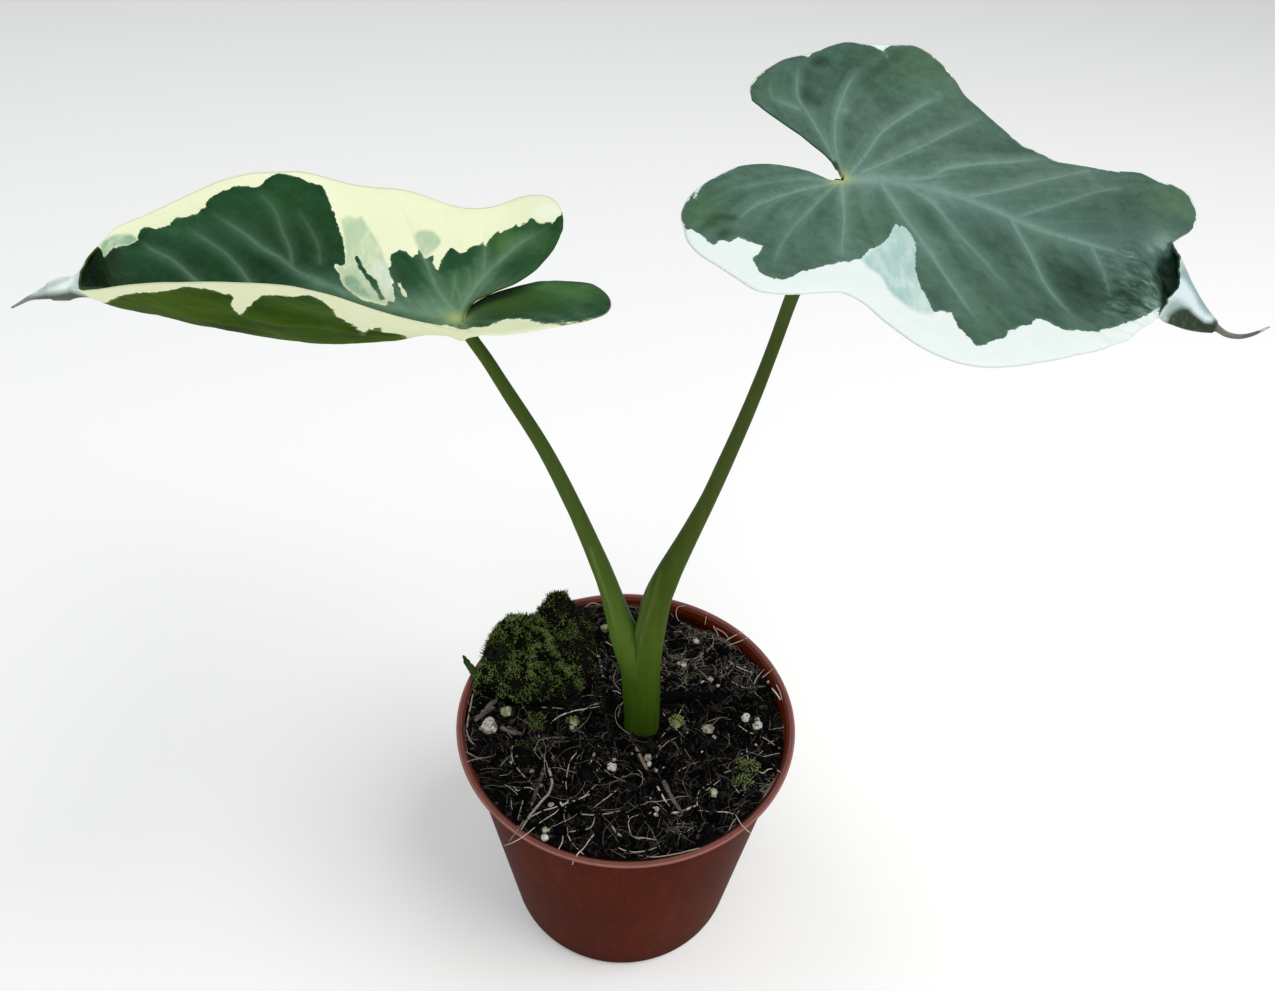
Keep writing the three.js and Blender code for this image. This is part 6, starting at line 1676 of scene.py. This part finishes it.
def bark_material():
    n = Nodes("bark_wood")
    grain = n.noise(1.0, 5, 0.6, 0.8, n.scale(90, 900, 900))
    c = n.ramp(n.math("ADD", n.math("MULTIPLY", grain, 0.7), n.math("MULTIPLY", n.attr("shade"), 0.4)), [(0.25, lin(5, 4, 4)), (0.5, lin(18, 16, 15)), (0.72, lin(46, 42, 39)), (0.9, lin(112, 104, 97))])
    c = n.mix(n.attr("red"), c, lin(118, 66, 46))
    n.set(Base_Color=c, Roughness=0.8)
    n.bsdf.inputs["Specular IOR Level"].default_value = 0.02
    n.bump(grain, 0.8, 0.0008)
    return n.mat


mat_bark = bark_material()


def stick(name, node, a, b, r, shade, red=0.0, knots=2, seed=1):
    """A short broken twig with knots, ribs and ragged ends."""
    K, S = 60, 18
    t = np.linspace(0, 1, K)
    a, b = np.array(a, float), np.array(b, float)
    z = lambda p: float(soil_top(p[0], p[1])) + 0.6 * r + 0.4
    A, B = np.array([a[0], a[1], z(a)]), np.array([b[0], b[1], z(b)])
    c = A + (B - A) * t[:, None]
    side = unit(np.cross(B - A, [0, 0, 1.0]))
    c = c + side * (0.35 * r * np.sin(t * 5 + seed))[:, None]
    tan = unit(np.gradient(c, axis=0))
    v = unit(np.cross(tan, [0, 0, 1.0]))
    u = np.cross(v, tan)
    ang = np.arange(S) / S * 2 * np.pi
    out = u[:, None] * np.cos(ang)[None, :, None] + v[:, None] * np.sin(ang)[None, :, None]
    rad = r * (0.95 - 0.25 * t)
    for q in np.linspace(0.2, 0.8, knots):
        rad = rad * (1 + 0.22 * np.exp(-(((t - q) / 0.035) ** 2)))
    rad = rad * np.interp(t, [0, 0.03, 0.97, 1], [0.7, 1, 1, 0.55])
    P = c[:, None] + out * rad[:, None, None]
    q = P.reshape(-1, 3)
    d = (fbm(np.stack([q[:, 0] / 2.2, q[:, 1] / 2.2, q[:, 2] / 0.5], 1), 3, seed) - 0.5) * 0.55 * r
    q = q + out.reshape(-1, 3) * d[:, None]
    V = np.vstack([q, c[:1], c[-1:]])
    F = []
    for i in range(K - 1):
        for j in range(S):
            k = (j + 1) % S
            F += [(i * S + j, (i + 1) * S + j, (i + 1) * S + k), (i * S + j, (i + 1) * S + k, i * S + k)]
    for j in range(S):
        k = (j + 1) % S
        F += [(K * S, j, k), (K * S + 1, (K - 1) * S + k, (K - 1) * S + j)]
    F = np.array(F)
    if volume6(V - V.mean(0), F) < 0:
        F = F[:, ::-1]
    fast_piece(name, V, F, [mat_bark], dict(shade=np.full(len(V), shade), red=np.full(len(V), red)), node=node)


def bark(name, node, x, y, half, wide, high, turn, shade, seed, red=0.0):
    """A split piece of bark: long ribs, a hollow underside edge and torn ends."""
    T, G = ICO[3]
    T = np.array(T)
    e = np.sign(T) * np.abs(T) ** np.array([0.8, 0.75, 0.9])
    V = e * [half, wide, high]
    rib = 0.22 * np.sin(V[:, 1] * 5.2 + 0.25 * V[:, 0]) * (V[:, 2] > 0)
    V[:, 2] += rib * high * 0.6
    V += (fbm(V / 1.7, 3, seed)[:, None] - 0.5) * [1.8, 1.5, 1.3] + (fbm(V / 0.7 + 9, 2, seed)[:, None] - 0.5) * [0.3, 0.6, 0.7]
    V[:, 1] += 0.5 * np.sin(V[:, 0] / half * 2.0 + seed)
    V[:, 2] *= 1 - 0.35 * (V[:, 0] / half) ** 2
    a = math.radians(turn)
    x0, y0 = V[:, 0] * math.cos(a) - V[:, 1] * math.sin(a), V[:, 0] * math.sin(a) + V[:, 1] * math.cos(a)
    W = np.stack([x + x0, y + y0, float(soil_top(x, y)) + 0.28 * high + V[:, 2]], 1)
    F = np.array(G)
    if volume6(W - W.mean(0), F) < 0:
        F = F[:, ::-1]
    fast_piece(name, W, F, [mat_bark], dict(shade=np.full(len(W), shade), red=np.full(len(W), red)), node=node)


build_roots()
for i, (a, b, r, shade, red) in enumerate([
    ([-52.7, -2.0], [-48.0, 3.6], 0.9, 0.85, 0.0), ([-42.3, -5.4], [-36.5, -6.9], 0.8, 0.7, 0.0),
    ([13.0, -25.2], [19.4, -38.0], 0.8, 0.8, 0.0), ([-27.0, -19.9], [-30.9, -36.4], 0.8, 0.65, 0.0),
]):
    stick("twig_piece_%d" % (i + 1), "twig_%d" % (i + 1), a, b, r, shade + 0.45, red, 2, i + 3)
bark("bark_back", "bark_chip_1", 23.9, 11.1, 15, 2.4, 2.2, 4, 0.05, 3)
bark("bark_front", "bark_chip_2", 12, -42.3, 10, 1.6, 1.4, -6, 0.0, 9)


# ------------------------------------------------------------------ perlite
PERLITE = [[-48.1, -5.7, 3.3], [-43.5, 1.7, 2.2], [-19, -1.2, 1.9], [-9.2, 43.4, 1.9], [-4.4, -19.9, 1.9], [8, -15.1, 1.6], [29.4, -3.4, 2.3], [18, -0.7, 1.9], [43, 2.1, 1.8], [47, -1.9, 1.9], [21.3, 26.7, 1.4], [31.2, 19.8, 1.3], [30.3, -30.2, 1.7], [-25.1, -46.8, 1.9], [26.2, 39, 1.5], [10.8, -36.5, 1.2]]
ALGAE = [0.05, 0.75, 1.0, 0.85, 0.1, 0.1, 0.3, 0.9, 0.0, 0.35, 0.05, 0.0, 0.6, 0.6, 0.2, 0.2]


def perlite_material():
    n = Nodes("perlite_glass")
    pits = n.voronoi(900)
    dirt = n.noise(520, 4, 0.65)
    c = n.ramp(dirt, [(0.28, lin(96, 90, 82)), (0.43, lin(184, 178, 168)), (0.6, lin(246, 244, 238))])
    smear = n.noise(210, 4, 0.7, 0.8)
    c = n.mix(n.math("MULTIPLY", n.step(smear, 0.47, 0.60), 0.85), c, lin(84, 74, 64))
    c = n.mix(n.math("MULTIPLY", n.step(dirt, 0.56, 0.64), 0.9), c, lin(44, 38, 33))
    c = n.mix(n.math("MULTIPLY", n.attr("green"), n.step(n.noise(300, 3, 0.6), 0.3, 0.6, 0.45, 1.0)), c, lin(118, 130, 58))
    c = n.mix(n.attr("under"), c, lin(52, 46, 40))
    n.set(Base_Color=c, Roughness=0.75)
    n.bsdf.inputs["Specular IOR Level"].default_value = 0.3
    n.bump(pits, 0.5, 0.0005)
    return n.mat


mat_perlite = perlite_material()


def build_perlite():
    for i, ((x, y, r), green) in enumerate(zip(PERLITE, ALGAE)):
        T, G = ICO[3]
        rng = np.random.default_rng(200 + i)
        q = np.array(T)
        lobe = (fbm(q * 1.5 + i * 5, 2, 90) - 0.5) * 0.8 + (fbm(q * 4.0 + i * 5, 3, 95) - 0.5) * 0.45
        pit = -0.10 * np.clip((noise3(q * 6.5 + i, 99) - 0.62) * 6, 0, 1)
        V = q * (0.92 + lobe + pit)[:, None] * r * np.array([0.95, rng.uniform(0.74, 0.92), 0.78])
        a = rng.uniform(0, 2 * np.pi)
        V = np.stack([V[:, 0] * np.cos(a) - V[:, 1] * np.sin(a), V[:, 0] * np.sin(a) + V[:, 1] * np.cos(a), V[:, 2]], 1)
        z = float(soil_top(x, y)) + 0.55 * r
        W = V + [x, y, z]
        F = np.array(G)
        if volume6(V, F) < 0:
            F = F[:, ::-1]
        under = np.clip((z - 0.25 * r - W[:, 2]) / (0.4 * r), 0, 1) * 0.9
        fast_piece("perlite_grain_%02d" % (i + 1), W, F, [mat_perlite], dict(green=np.full(len(W), green), under=under), node="perlite_%02d" % (i + 1))
    # small pale specks
    rng = np.random.default_rng(31)
    seen = [(714, 738, 1.0), (703, 684, 1.0), (718, 686, 0.7), (716, 681, 0.6), (704, 694, 0.7), (656, 770, 0.9), (679, 664, 1.2), (614, 760, 0.8), (594, 755, 0.7), (590, 777, 0.6), (553, 757, 0.6), (517, 756, 0.5), (545, 761, 0.4), (511, 763, 0.7), (664, 768, 0.5), (649, 764, 1.0), (656, 815, 0.9), (598, 657, 0.6), (602, 667, 0.6), (745, 668, 0.6), (768, 682, 0.5), (632, 754, 0.6), (757, 720, 1.0), (727, 668, 0.5), (541, 786, 0.7), (597, 770, 0.4), (572, 728, 1.0), (756, 745, 0.6), (551, 805, 1.0), (545, 838, 1.4), (532, 772, 0.9)]
    P = [np.append(trace([(x, y)], r * 0.5)[0], r) for x, y, r in seen]
    xy = scatter_points(60, rng, 2.0)
    P += [[x, y, float(ground(x, y)[0]) + 0.3, rng.uniform(0.22, 0.5)] for x, y in xy]
    P = np.array(P)
    V, F, m = lumps(P[:, :3], P[:, 3:] * rng.uniform(0.8, 1.2, (len(P), 3)), rng, 2, 0.14)
    green = np.repeat(np.clip(rng.normal(0.25, 0.25, len(P)), 0, 1), m)
    fast_piece("perlite_specks", V, F, [mat_perlite], dict(green=green, under=np.zeros(len(V))))


build_perlite()


# ------------------------------------------------------------------ moss
def moss_height(x, y, q):
    crest = 1.5
    for cx, cy, spread, high in ((-47, 26, 12.5, 20), (-28.4, 45.5, 4.9, 14.5), (-20, 48, 5, 6.5)):
        crest = crest + high * np.exp(-((x - cx) ** 2 + (y - cy) ** 2) / (2 * spread**2))
    crest = crest * (1 - 0.4 * np.clip((x + 26) / 8, 0, 1))
    return soil_top(x, y) + 1.1 + crest * (1 - 0.35 * q**8) + 0.7 * wave(x / 3, y / 3, 2) * (1 - q**4)


def moss_material():
    n = Nodes("moss_green")
    tip, dead = n.attr("tip"), n.attr("dead")
    patch = n.noise(130, 4, 0.6)
    # shoots are darkest at their foot and the mound under them darker still: partly their own colour, partly painted
    # shade in the gaps between the shoots
    t = n.math("SUBTRACT", n.math("ADD", n.math("MULTIPLY", tip, 0.72), n.math("ADD", n.math("MULTIPLY", patch, 0.42), n.math("MULTIPLY", n.attr("shade"), 0.36))), 0.17)
    c = n.ramp(t, [(0.14, lin(2, 5, 1)), (0.34, lin(9, 18, 3)), (0.47, lin(40, 60, 19)), (0.66, lin(93, 118, 50)), (0.95, lin(170, 184, 116))])
    c = n.mix(dead, c, lin(18, 16, 14))
    n.set(Base_Color=c, Roughness=0.75)
    n.bsdf.inputs["Specular IOR Level"].default_value = 0.04
    return n.mat


mat_moss = moss_material()


def spikes(at, direction, length, radius, rng, bend=0.35):
    """Small pointed leaves: a bent three-sided spindle each."""
    n = len(at)
    side = unit(np.cross(direction, rng.normal(size=(n, 3))))
    k = 4
    t = np.linspace(0, 1, k)
    P = at[:, None] + direction[:, None] * (length[:, None] * t[None])[..., None] + side[:, None] * (length[:, None] * bend * t[None] ** 2)[..., None]
    prof = np.array([0.55, 1.0, 0.7, 0.08])
    V, F, m = fibres(P, radius[:, None] * prof[None], 3)
    tip = np.tile(np.r_[np.repeat(t, 3), 0, 1], n)
    return V, F, tip, m


def build_moss():
    edge = np.vstack([MOSS_EDGE, MOSS_EDGE[:1]])
    centre = np.array([-33.0, 27.0])
    S, R = 170, 52
    # the outline, read all round the centre
    t = np.linspace(0, 1, 900)
    smooth = edge[np.minimum((t * 15).astype(int), 14)] + (edge[np.minimum((t * 15).astype(int) + 1, 15)] - edge[np.minimum((t * 15).astype(int), 14)]) * ((t * 15) - np.minimum((t * 15).astype(int), 14))[:, None]
    pick = np.linspace(0, 899, S + 1).astype(int)[:-1]
    E = smooth[pick]
    er = np.hypot(E[:, 0], E[:, 1])
    E = E * (1 + 0.04 * np.clip((er - 50) / 4, 0, 1))[:, None]
    q = np.linspace(0, 1, R + 1)[1:]
    XY = centre + (E - centre)[None] * q[:, None, None]
    x, y = XY[..., 0].ravel(), XY[..., 1].ravel()
    qq = np.repeat(q, S)
    z = moss_height(x, y, qq)
    p = np.stack([x, y, z], 1)
    z = z + (fbm(p / 4.0, 3, 15) - 0.5) * 3.6 * (1 - qq**6) + (fbm(p / 1.5, 2, 18) - 0.5) * 1.4 - 0.6 - 1.0 * qq**8
    top = np.stack([x, y, z], 1)
    low = np.stack([E[:, 0], E[:, 1], np.full(S, 90.6)], 1)
    c0 = moss_height(*centre, 0.0)
    V = np.vstack([top, low, [[centre[0], centre[1], float(c0) - 0.6]], [[centre[0], centre[1], 90.6]]])
    i, j = np.meshgrid(np.arange(R), np.arange(S), indexing="ij")
    k = (j + 1) % S
    a, b, c, d = i * S + j, i * S + k, (i + 1) * S + k, (i + 1) * S + j
    F = np.concatenate([np.stack([a, b, c], -1).reshape(-1, 3), np.stack([a, c, d], -1).reshape(-1, 3)])
    j = np.arange(S)
    k = (j + 1) % S
    F = np.vstack([F, np.stack([np.full(S, (R + 1) * S), k, j], 1), np.stack([np.full(S, (R + 1) * S + 1), R * S + j, R * S + k], 1)])
    if volume6(V - V.mean(0), F) < 0:
        F = F[:, ::-1]
    rng = np.random.default_rng(8)

    def deadness(P):
        px = to_view(P)
        d = 0.9 * np.exp(-(((px[:, 0] - 494) / 17) ** 2) - ((px[:, 1] - 652) / 14) ** 2)
        d += 1.1 * np.exp(-(((px[:, 0] - 572) / 24) ** 2) - ((px[:, 1] - 604) / 13) ** 2) + 0.9 * np.exp(-(((px[:, 0] - 596) / 14) ** 2) - ((px[:, 1] - 640) / 44) ** 2)
        d += 0.9 * np.exp(-(((px[:, 0] - 572) / 14) ** 2) - ((px[:, 1] - 648) / 12) ** 2)
        d += 0.45 * np.exp(-(((px[:, 0] - 575) / 22) ** 2) - ((px[:, 1] - 700) / 9) ** 2)
        d += 0.5 * np.clip((fbm(P / 5.0, 2, 33) - 0.60) * 8, 0, 1)
        return np.clip(d, 0, 1)

    # the mound under the shoots is painted dark, partly its own colour, partly painted shade between the shoots
    fast_piece("moss_mound", V, F, [mat_moss], dict(tip=np.full(len(V), 0.12), shade=np.full(len(V), 0.2), dead=np.clip(deadness(V) + 0.25, 0, 1)), node="moss_clump")
    # shoots, thickest on the lumps
    tri = F[: 2 * R * S]
    A, B, C = V[tri[:, 0]], V[tri[:, 1]], V[tri[:, 2]]
    nrm = np.cross(B - A, C - A)
    area = np.linalg.norm(nrm, axis=1)
    nrm = unit(nrm)
    nrm[nrm[:, 2] < 0] *= -1
    ok = (nrm[:, 2] > 0.05) & (area > 0)
    prob = np.where(ok, area, 0)
    parts, parts2 = [], []
    pick = rng.choice(len(tri), 12500, p=prob / prob.sum())
    w = rng.dirichlet([1, 1, 1], len(pick))
    at = A[pick] * w[:, :1] + B[pick] * w[:, 1:2] + C[pick] * w[:, 2:]
    nn = nrm[pick]
    thick = fbm(at / 2.6, 2, 44)
    keep = rng.random(len(pick)) < np.clip((thick - 0.36) * 4.5, 0.08, 1)
    dd = deadness(at)
    keep &= rng.random(len(pick)) > dd * 0.75
    at, nn, dd, thick = at[keep], nn[keep], dd[keep], thick[keep]
    length = rng.uniform(0.7, 2.2, len(at)) * (0.6 + 0.9 * thick)
    direction = unit(nn * 0.9 + rng.normal(0, 0.55, (len(at), 3)) + [0, -0.05, 0.25])
    V1, F1, tip, m = spikes(at - nn * 0.3, direction, length, rng.uniform(0.11, 0.22, len(at)), rng)
    shade = np.repeat(np.clip(rng.normal(0.5, 0.25, len(at)) + (thick - 0.5), 0, 1), m)
    parts.append((V1, F1, dict(tip=tip, shade=shade, dead=np.repeat(dd * 0.8, m))))
    # tufts growing out on the soil
    for cx, cy, rx, ry, count, bright, high in ((536, 722, 3.6, 4.0, 260, 0.5, 1.5), (676, 722, 2.4, 2.2, 170, 0.9, 1.3), (747, 768, 4.4, 3.8, 230, 0.75, 1.4), (742, 782, 3.4, 2.4, 110, 0.7, 1.1), (688, 676, 3.4, 2.6, 60, 0.5, 0.8), (573, 724, 1.9, 1.9, 120, 0.7, 1.6), (590, 640, 5.0, 5.5, 320, 0.35, 1.0), (528, 745, 5.0, 2.5, 110, 0.35, 0.8), (570, 690, 4.5, 2.8, 260, 0.6, 1.2), (483, 690, 4.0, 2.4, 260, 0.6, 1.3), (505, 713, 2.6, 2.2, 120, 0.45, 1.2)):
        c = trace([(cx, cy)], 0)[0]
        a, s = rng.uniform(0, 2 * np.pi, count), np.sqrt(rng.random(count))
        px, py = c[0] + np.cos(a) * s * rx, c[1] + np.sin(a) * s * ry
        dome = (1 - s**2) * high
        P = np.stack([px, py, ground(px, py) + dome * rng.uniform(0.2, 1.0, count)], 1)
        good = in_pot(px, py, 0.8)
        P, s2, a2 = P[good], s[good], a[good]
        direction = unit(np.stack([np.cos(a2) * s2, np.sin(a2) * s2, np.full(len(P), 0.9)], 1) + rng.normal(0, 0.4, (len(P), 3)))
        V2, F2, tip, m = spikes(P, direction, rng.uniform(0.7, 1.7, len(P)), rng.uniform(0.12, 0.24, len(P)), rng)
        parts.append((V2, F2, dict(tip=tip * 0.8 + 0.2 * bright, shade=np.clip(bright + np.repeat(rng.normal(0, 0.15, len(P)), m), 0, 1.3), dead=0.0)))
    V, F, A_ = gather(parts)
    fast_piece("moss_shoots", V, F, [mat_moss], A_)
    # the stubby shoot that leans over the lip
    P = trace([(480, 681, 98.5), (474, 672, 100.5), (468, 664, 101.5), (463, 656, 102.2)])
    Q = spline(P, np.linspace(0, 1, 26))
    r = np.interp(np.linspace(0, 1, 26), [0, 0.3, 0.8, 1], [1.5, 1.6, 1.1, 0.35]) * (1 + 0.25 * (fbm(Q / 1.2, 2, 4) - 0.5) * 2)
    V, F, m = fibres(Q[None], r[None], 14)
    V = V + (fbm(V / 0.8, 2, 6)[:, None] - 0.5) * 0.5
    fast_piece("moss_leaning_shoot", V, F, [mat_moss], dict(tip=np.full(len(V), 0.5), shade=np.full(len(V), 0.3), dead=np.full(len(V), 0.35)))


build_moss()


# ------------------------------------------------------------------ dead leaf scraps on and beside the moss
def scrap(name, corners, thick, shade, curl, seed):
    """A thin curled scrap of dead leaf spread between four traced corners."""
    P = np.array([from_view(x, y, z) for x, y, z in corners])
    K = 22
    u, v = np.meshgrid(np.linspace(0, 1, K), np.linspace(0, 1, K), indexing="ij")
    M = (P[0] * ((1 - u) * (1 - v))[..., None] + P[1] * (u * (1 - v))[..., None] + P[2] * (u * v)[..., None] + P[3] * ((1 - u) * v)[..., None])
    nrm = unit(np.cross(P[1] - P[0], P[3] - P[0]))
    if nrm[2] < 0:
        nrm = -nrm
    h = curl * (np.sin(u * np.pi) * 0.8 + 0.5 * np.sin(v * 5 + seed)) + (fbm(M.reshape(-1, 3) / 2.0, 3, seed).reshape(K, K) - 0.5) * 1.8
    M = M + nrm * h[..., None] + (fbm(M.reshape(-1, 3) / 1.6, 2, seed + 5).reshape(K, K)[..., None] - 0.5) * 1.6 * (P[1] - P[0]) / 8
    top, bot = M.reshape(-1, 3) + nrm * thick / 2, M.reshape(-1, 3) - nrm * thick / 2
    V = np.vstack([top, bot])
    n0 = K * K
    F = []
    for i in range(K - 1):
        for j in range(K - 1):
            a, b, c, d = i * K + j, (i + 1) * K + j, (i + 1) * K + j + 1, i * K + j + 1
            F += [(a, b, c), (a, c, d), (n0 + a, n0 + c, n0 + b), (n0 + a, n0 + d, n0 + c)]
    ring = [i * K for i in range(K)] + [(K - 1) * K + j for j in range(1, K)] + [i * K + K - 1 for i in range(K - 2, -1, -1)] + [j for j in range(K - 2, 0, -1)]
    for a, b in zip(ring, ring[1:] + ring[:1]):
        F += [(a, n0 + a, n0 + b), (a, n0 + b, b)]
    F = np.array(F)
    if volume6(V - V.mean(0), F) < 0:
        F = F[:, ::-1]
    fast_piece(name, V, F, [mat_scrap], dict(shade=np.full(len(V), shade)))


n = Nodes("dead_leaf")
_vein = n.noise(1.0, 4, 0.6, 1.5, n.scale(300, 500, 300))
_c = n.ramp(n.math("ADD", n.math("MULTIPLY", _vein, 0.7), n.math("MULTIPLY", n.attr("shade"), 0.4)), [(0.3, lin(3, 4, 3)), (0.5, lin(13, 15, 13)), (0.7, lin(36, 40, 35)), (0.95, lin(80, 86, 76))])
n.set(Base_Color=_c, Roughness=0.75)
n.bsdf.inputs["Specular IOR Level"].default_value = 0.02
n.bump(_vein, 0.4, 0.0005)
mat_scrap = n.mat


def over_moss(x, y, lift):
    """Height of the moss surface under a view point."""
    z = 100.0
    for _ in range(10):
        q = from_view(x, y, z)
        z = float(moss_height(q[0], q[1], 0.5)) + lift
    return z


scrap("dead_leaf_moss", [(486, 656, over_moss(486, 656, 0.3)), (500, 669, over_moss(500, 669, 0.5)), (511, 656, over_moss(511, 656, 0.9)), (500, 643, over_moss(500, 643, 0.7))], 0.3, 0.5, 1.6, 3)
scrap("dead_leaf_soil", [(552, 700, 93.6), (566, 711, 93.2), (589, 705, 93.6), (578, 696, 93.8)], 0.35, 0.35, 0.5, 8)


# ------------------------------------------------------------------ corm, hidden in the soil
def build_corm():
    K, S = 60, 48
    t = np.linspace(0, 1, K)
    z = 40.3 + 26.0 * t
    r = 10.6 * np.clip(np.sin(np.clip(t * 1.02 + 0.02, 0, 1) * np.pi), 0, 1) ** 0.55 * (1 - 0.22 * t)
    r = np.maximum(r, 0.6) - 0.25 * (np.sin(t * 44) > 0.6)
    ang = np.arange(S) / S * 2 * np.pi
    X = 3.4 + r[:, None] * np.cos(ang)
    Y = 0.2 + r[:, None] * np.sin(ang)
    V = np.stack([X, Y, np.tile(z[:, None], (1, S))], -1).reshape(-1, 3)
    V += (fbm(V / 3.0, 3, 61)[:, None] - 0.5) * 0.5
    V = np.vstack([V, [[3.4, 0.2, z[0] - 0.1]], [[3.4, 0.2, z[-1] + 0.1]]])
    F = []
    for i in range(K - 1):
        for j in range(S):
            k = (j + 1) % S
            F += [(i * S + j, i * S + k, (i + 1) * S + k), (i * S + j, (i + 1) * S + k, (i + 1) * S + j)]
    for j in range(S):
        k = (j + 1) % S
        F += [(K * S, k, j), (K * S + 1, (K - 1) * S + j, (K - 1) * S + k)]
    n = Nodes("corm_skin")
    c = n.ramp(n.noise(1.0, 4, 0.6, 0.5, n.scale(300, 300, 900)), [(0.3, lin(70, 48, 32)), (0.6, lin(122, 88, 58)), (0.8, lin(160, 124, 88))])
    n.set(Base_Color=c, Roughness=0.8)
    n.bump(n.noise(700, 4, 0.6), 0.4, 0.0005)
    fast_piece("corm_body", V, np.array(F), [n.mat], node="corm")


build_corm()
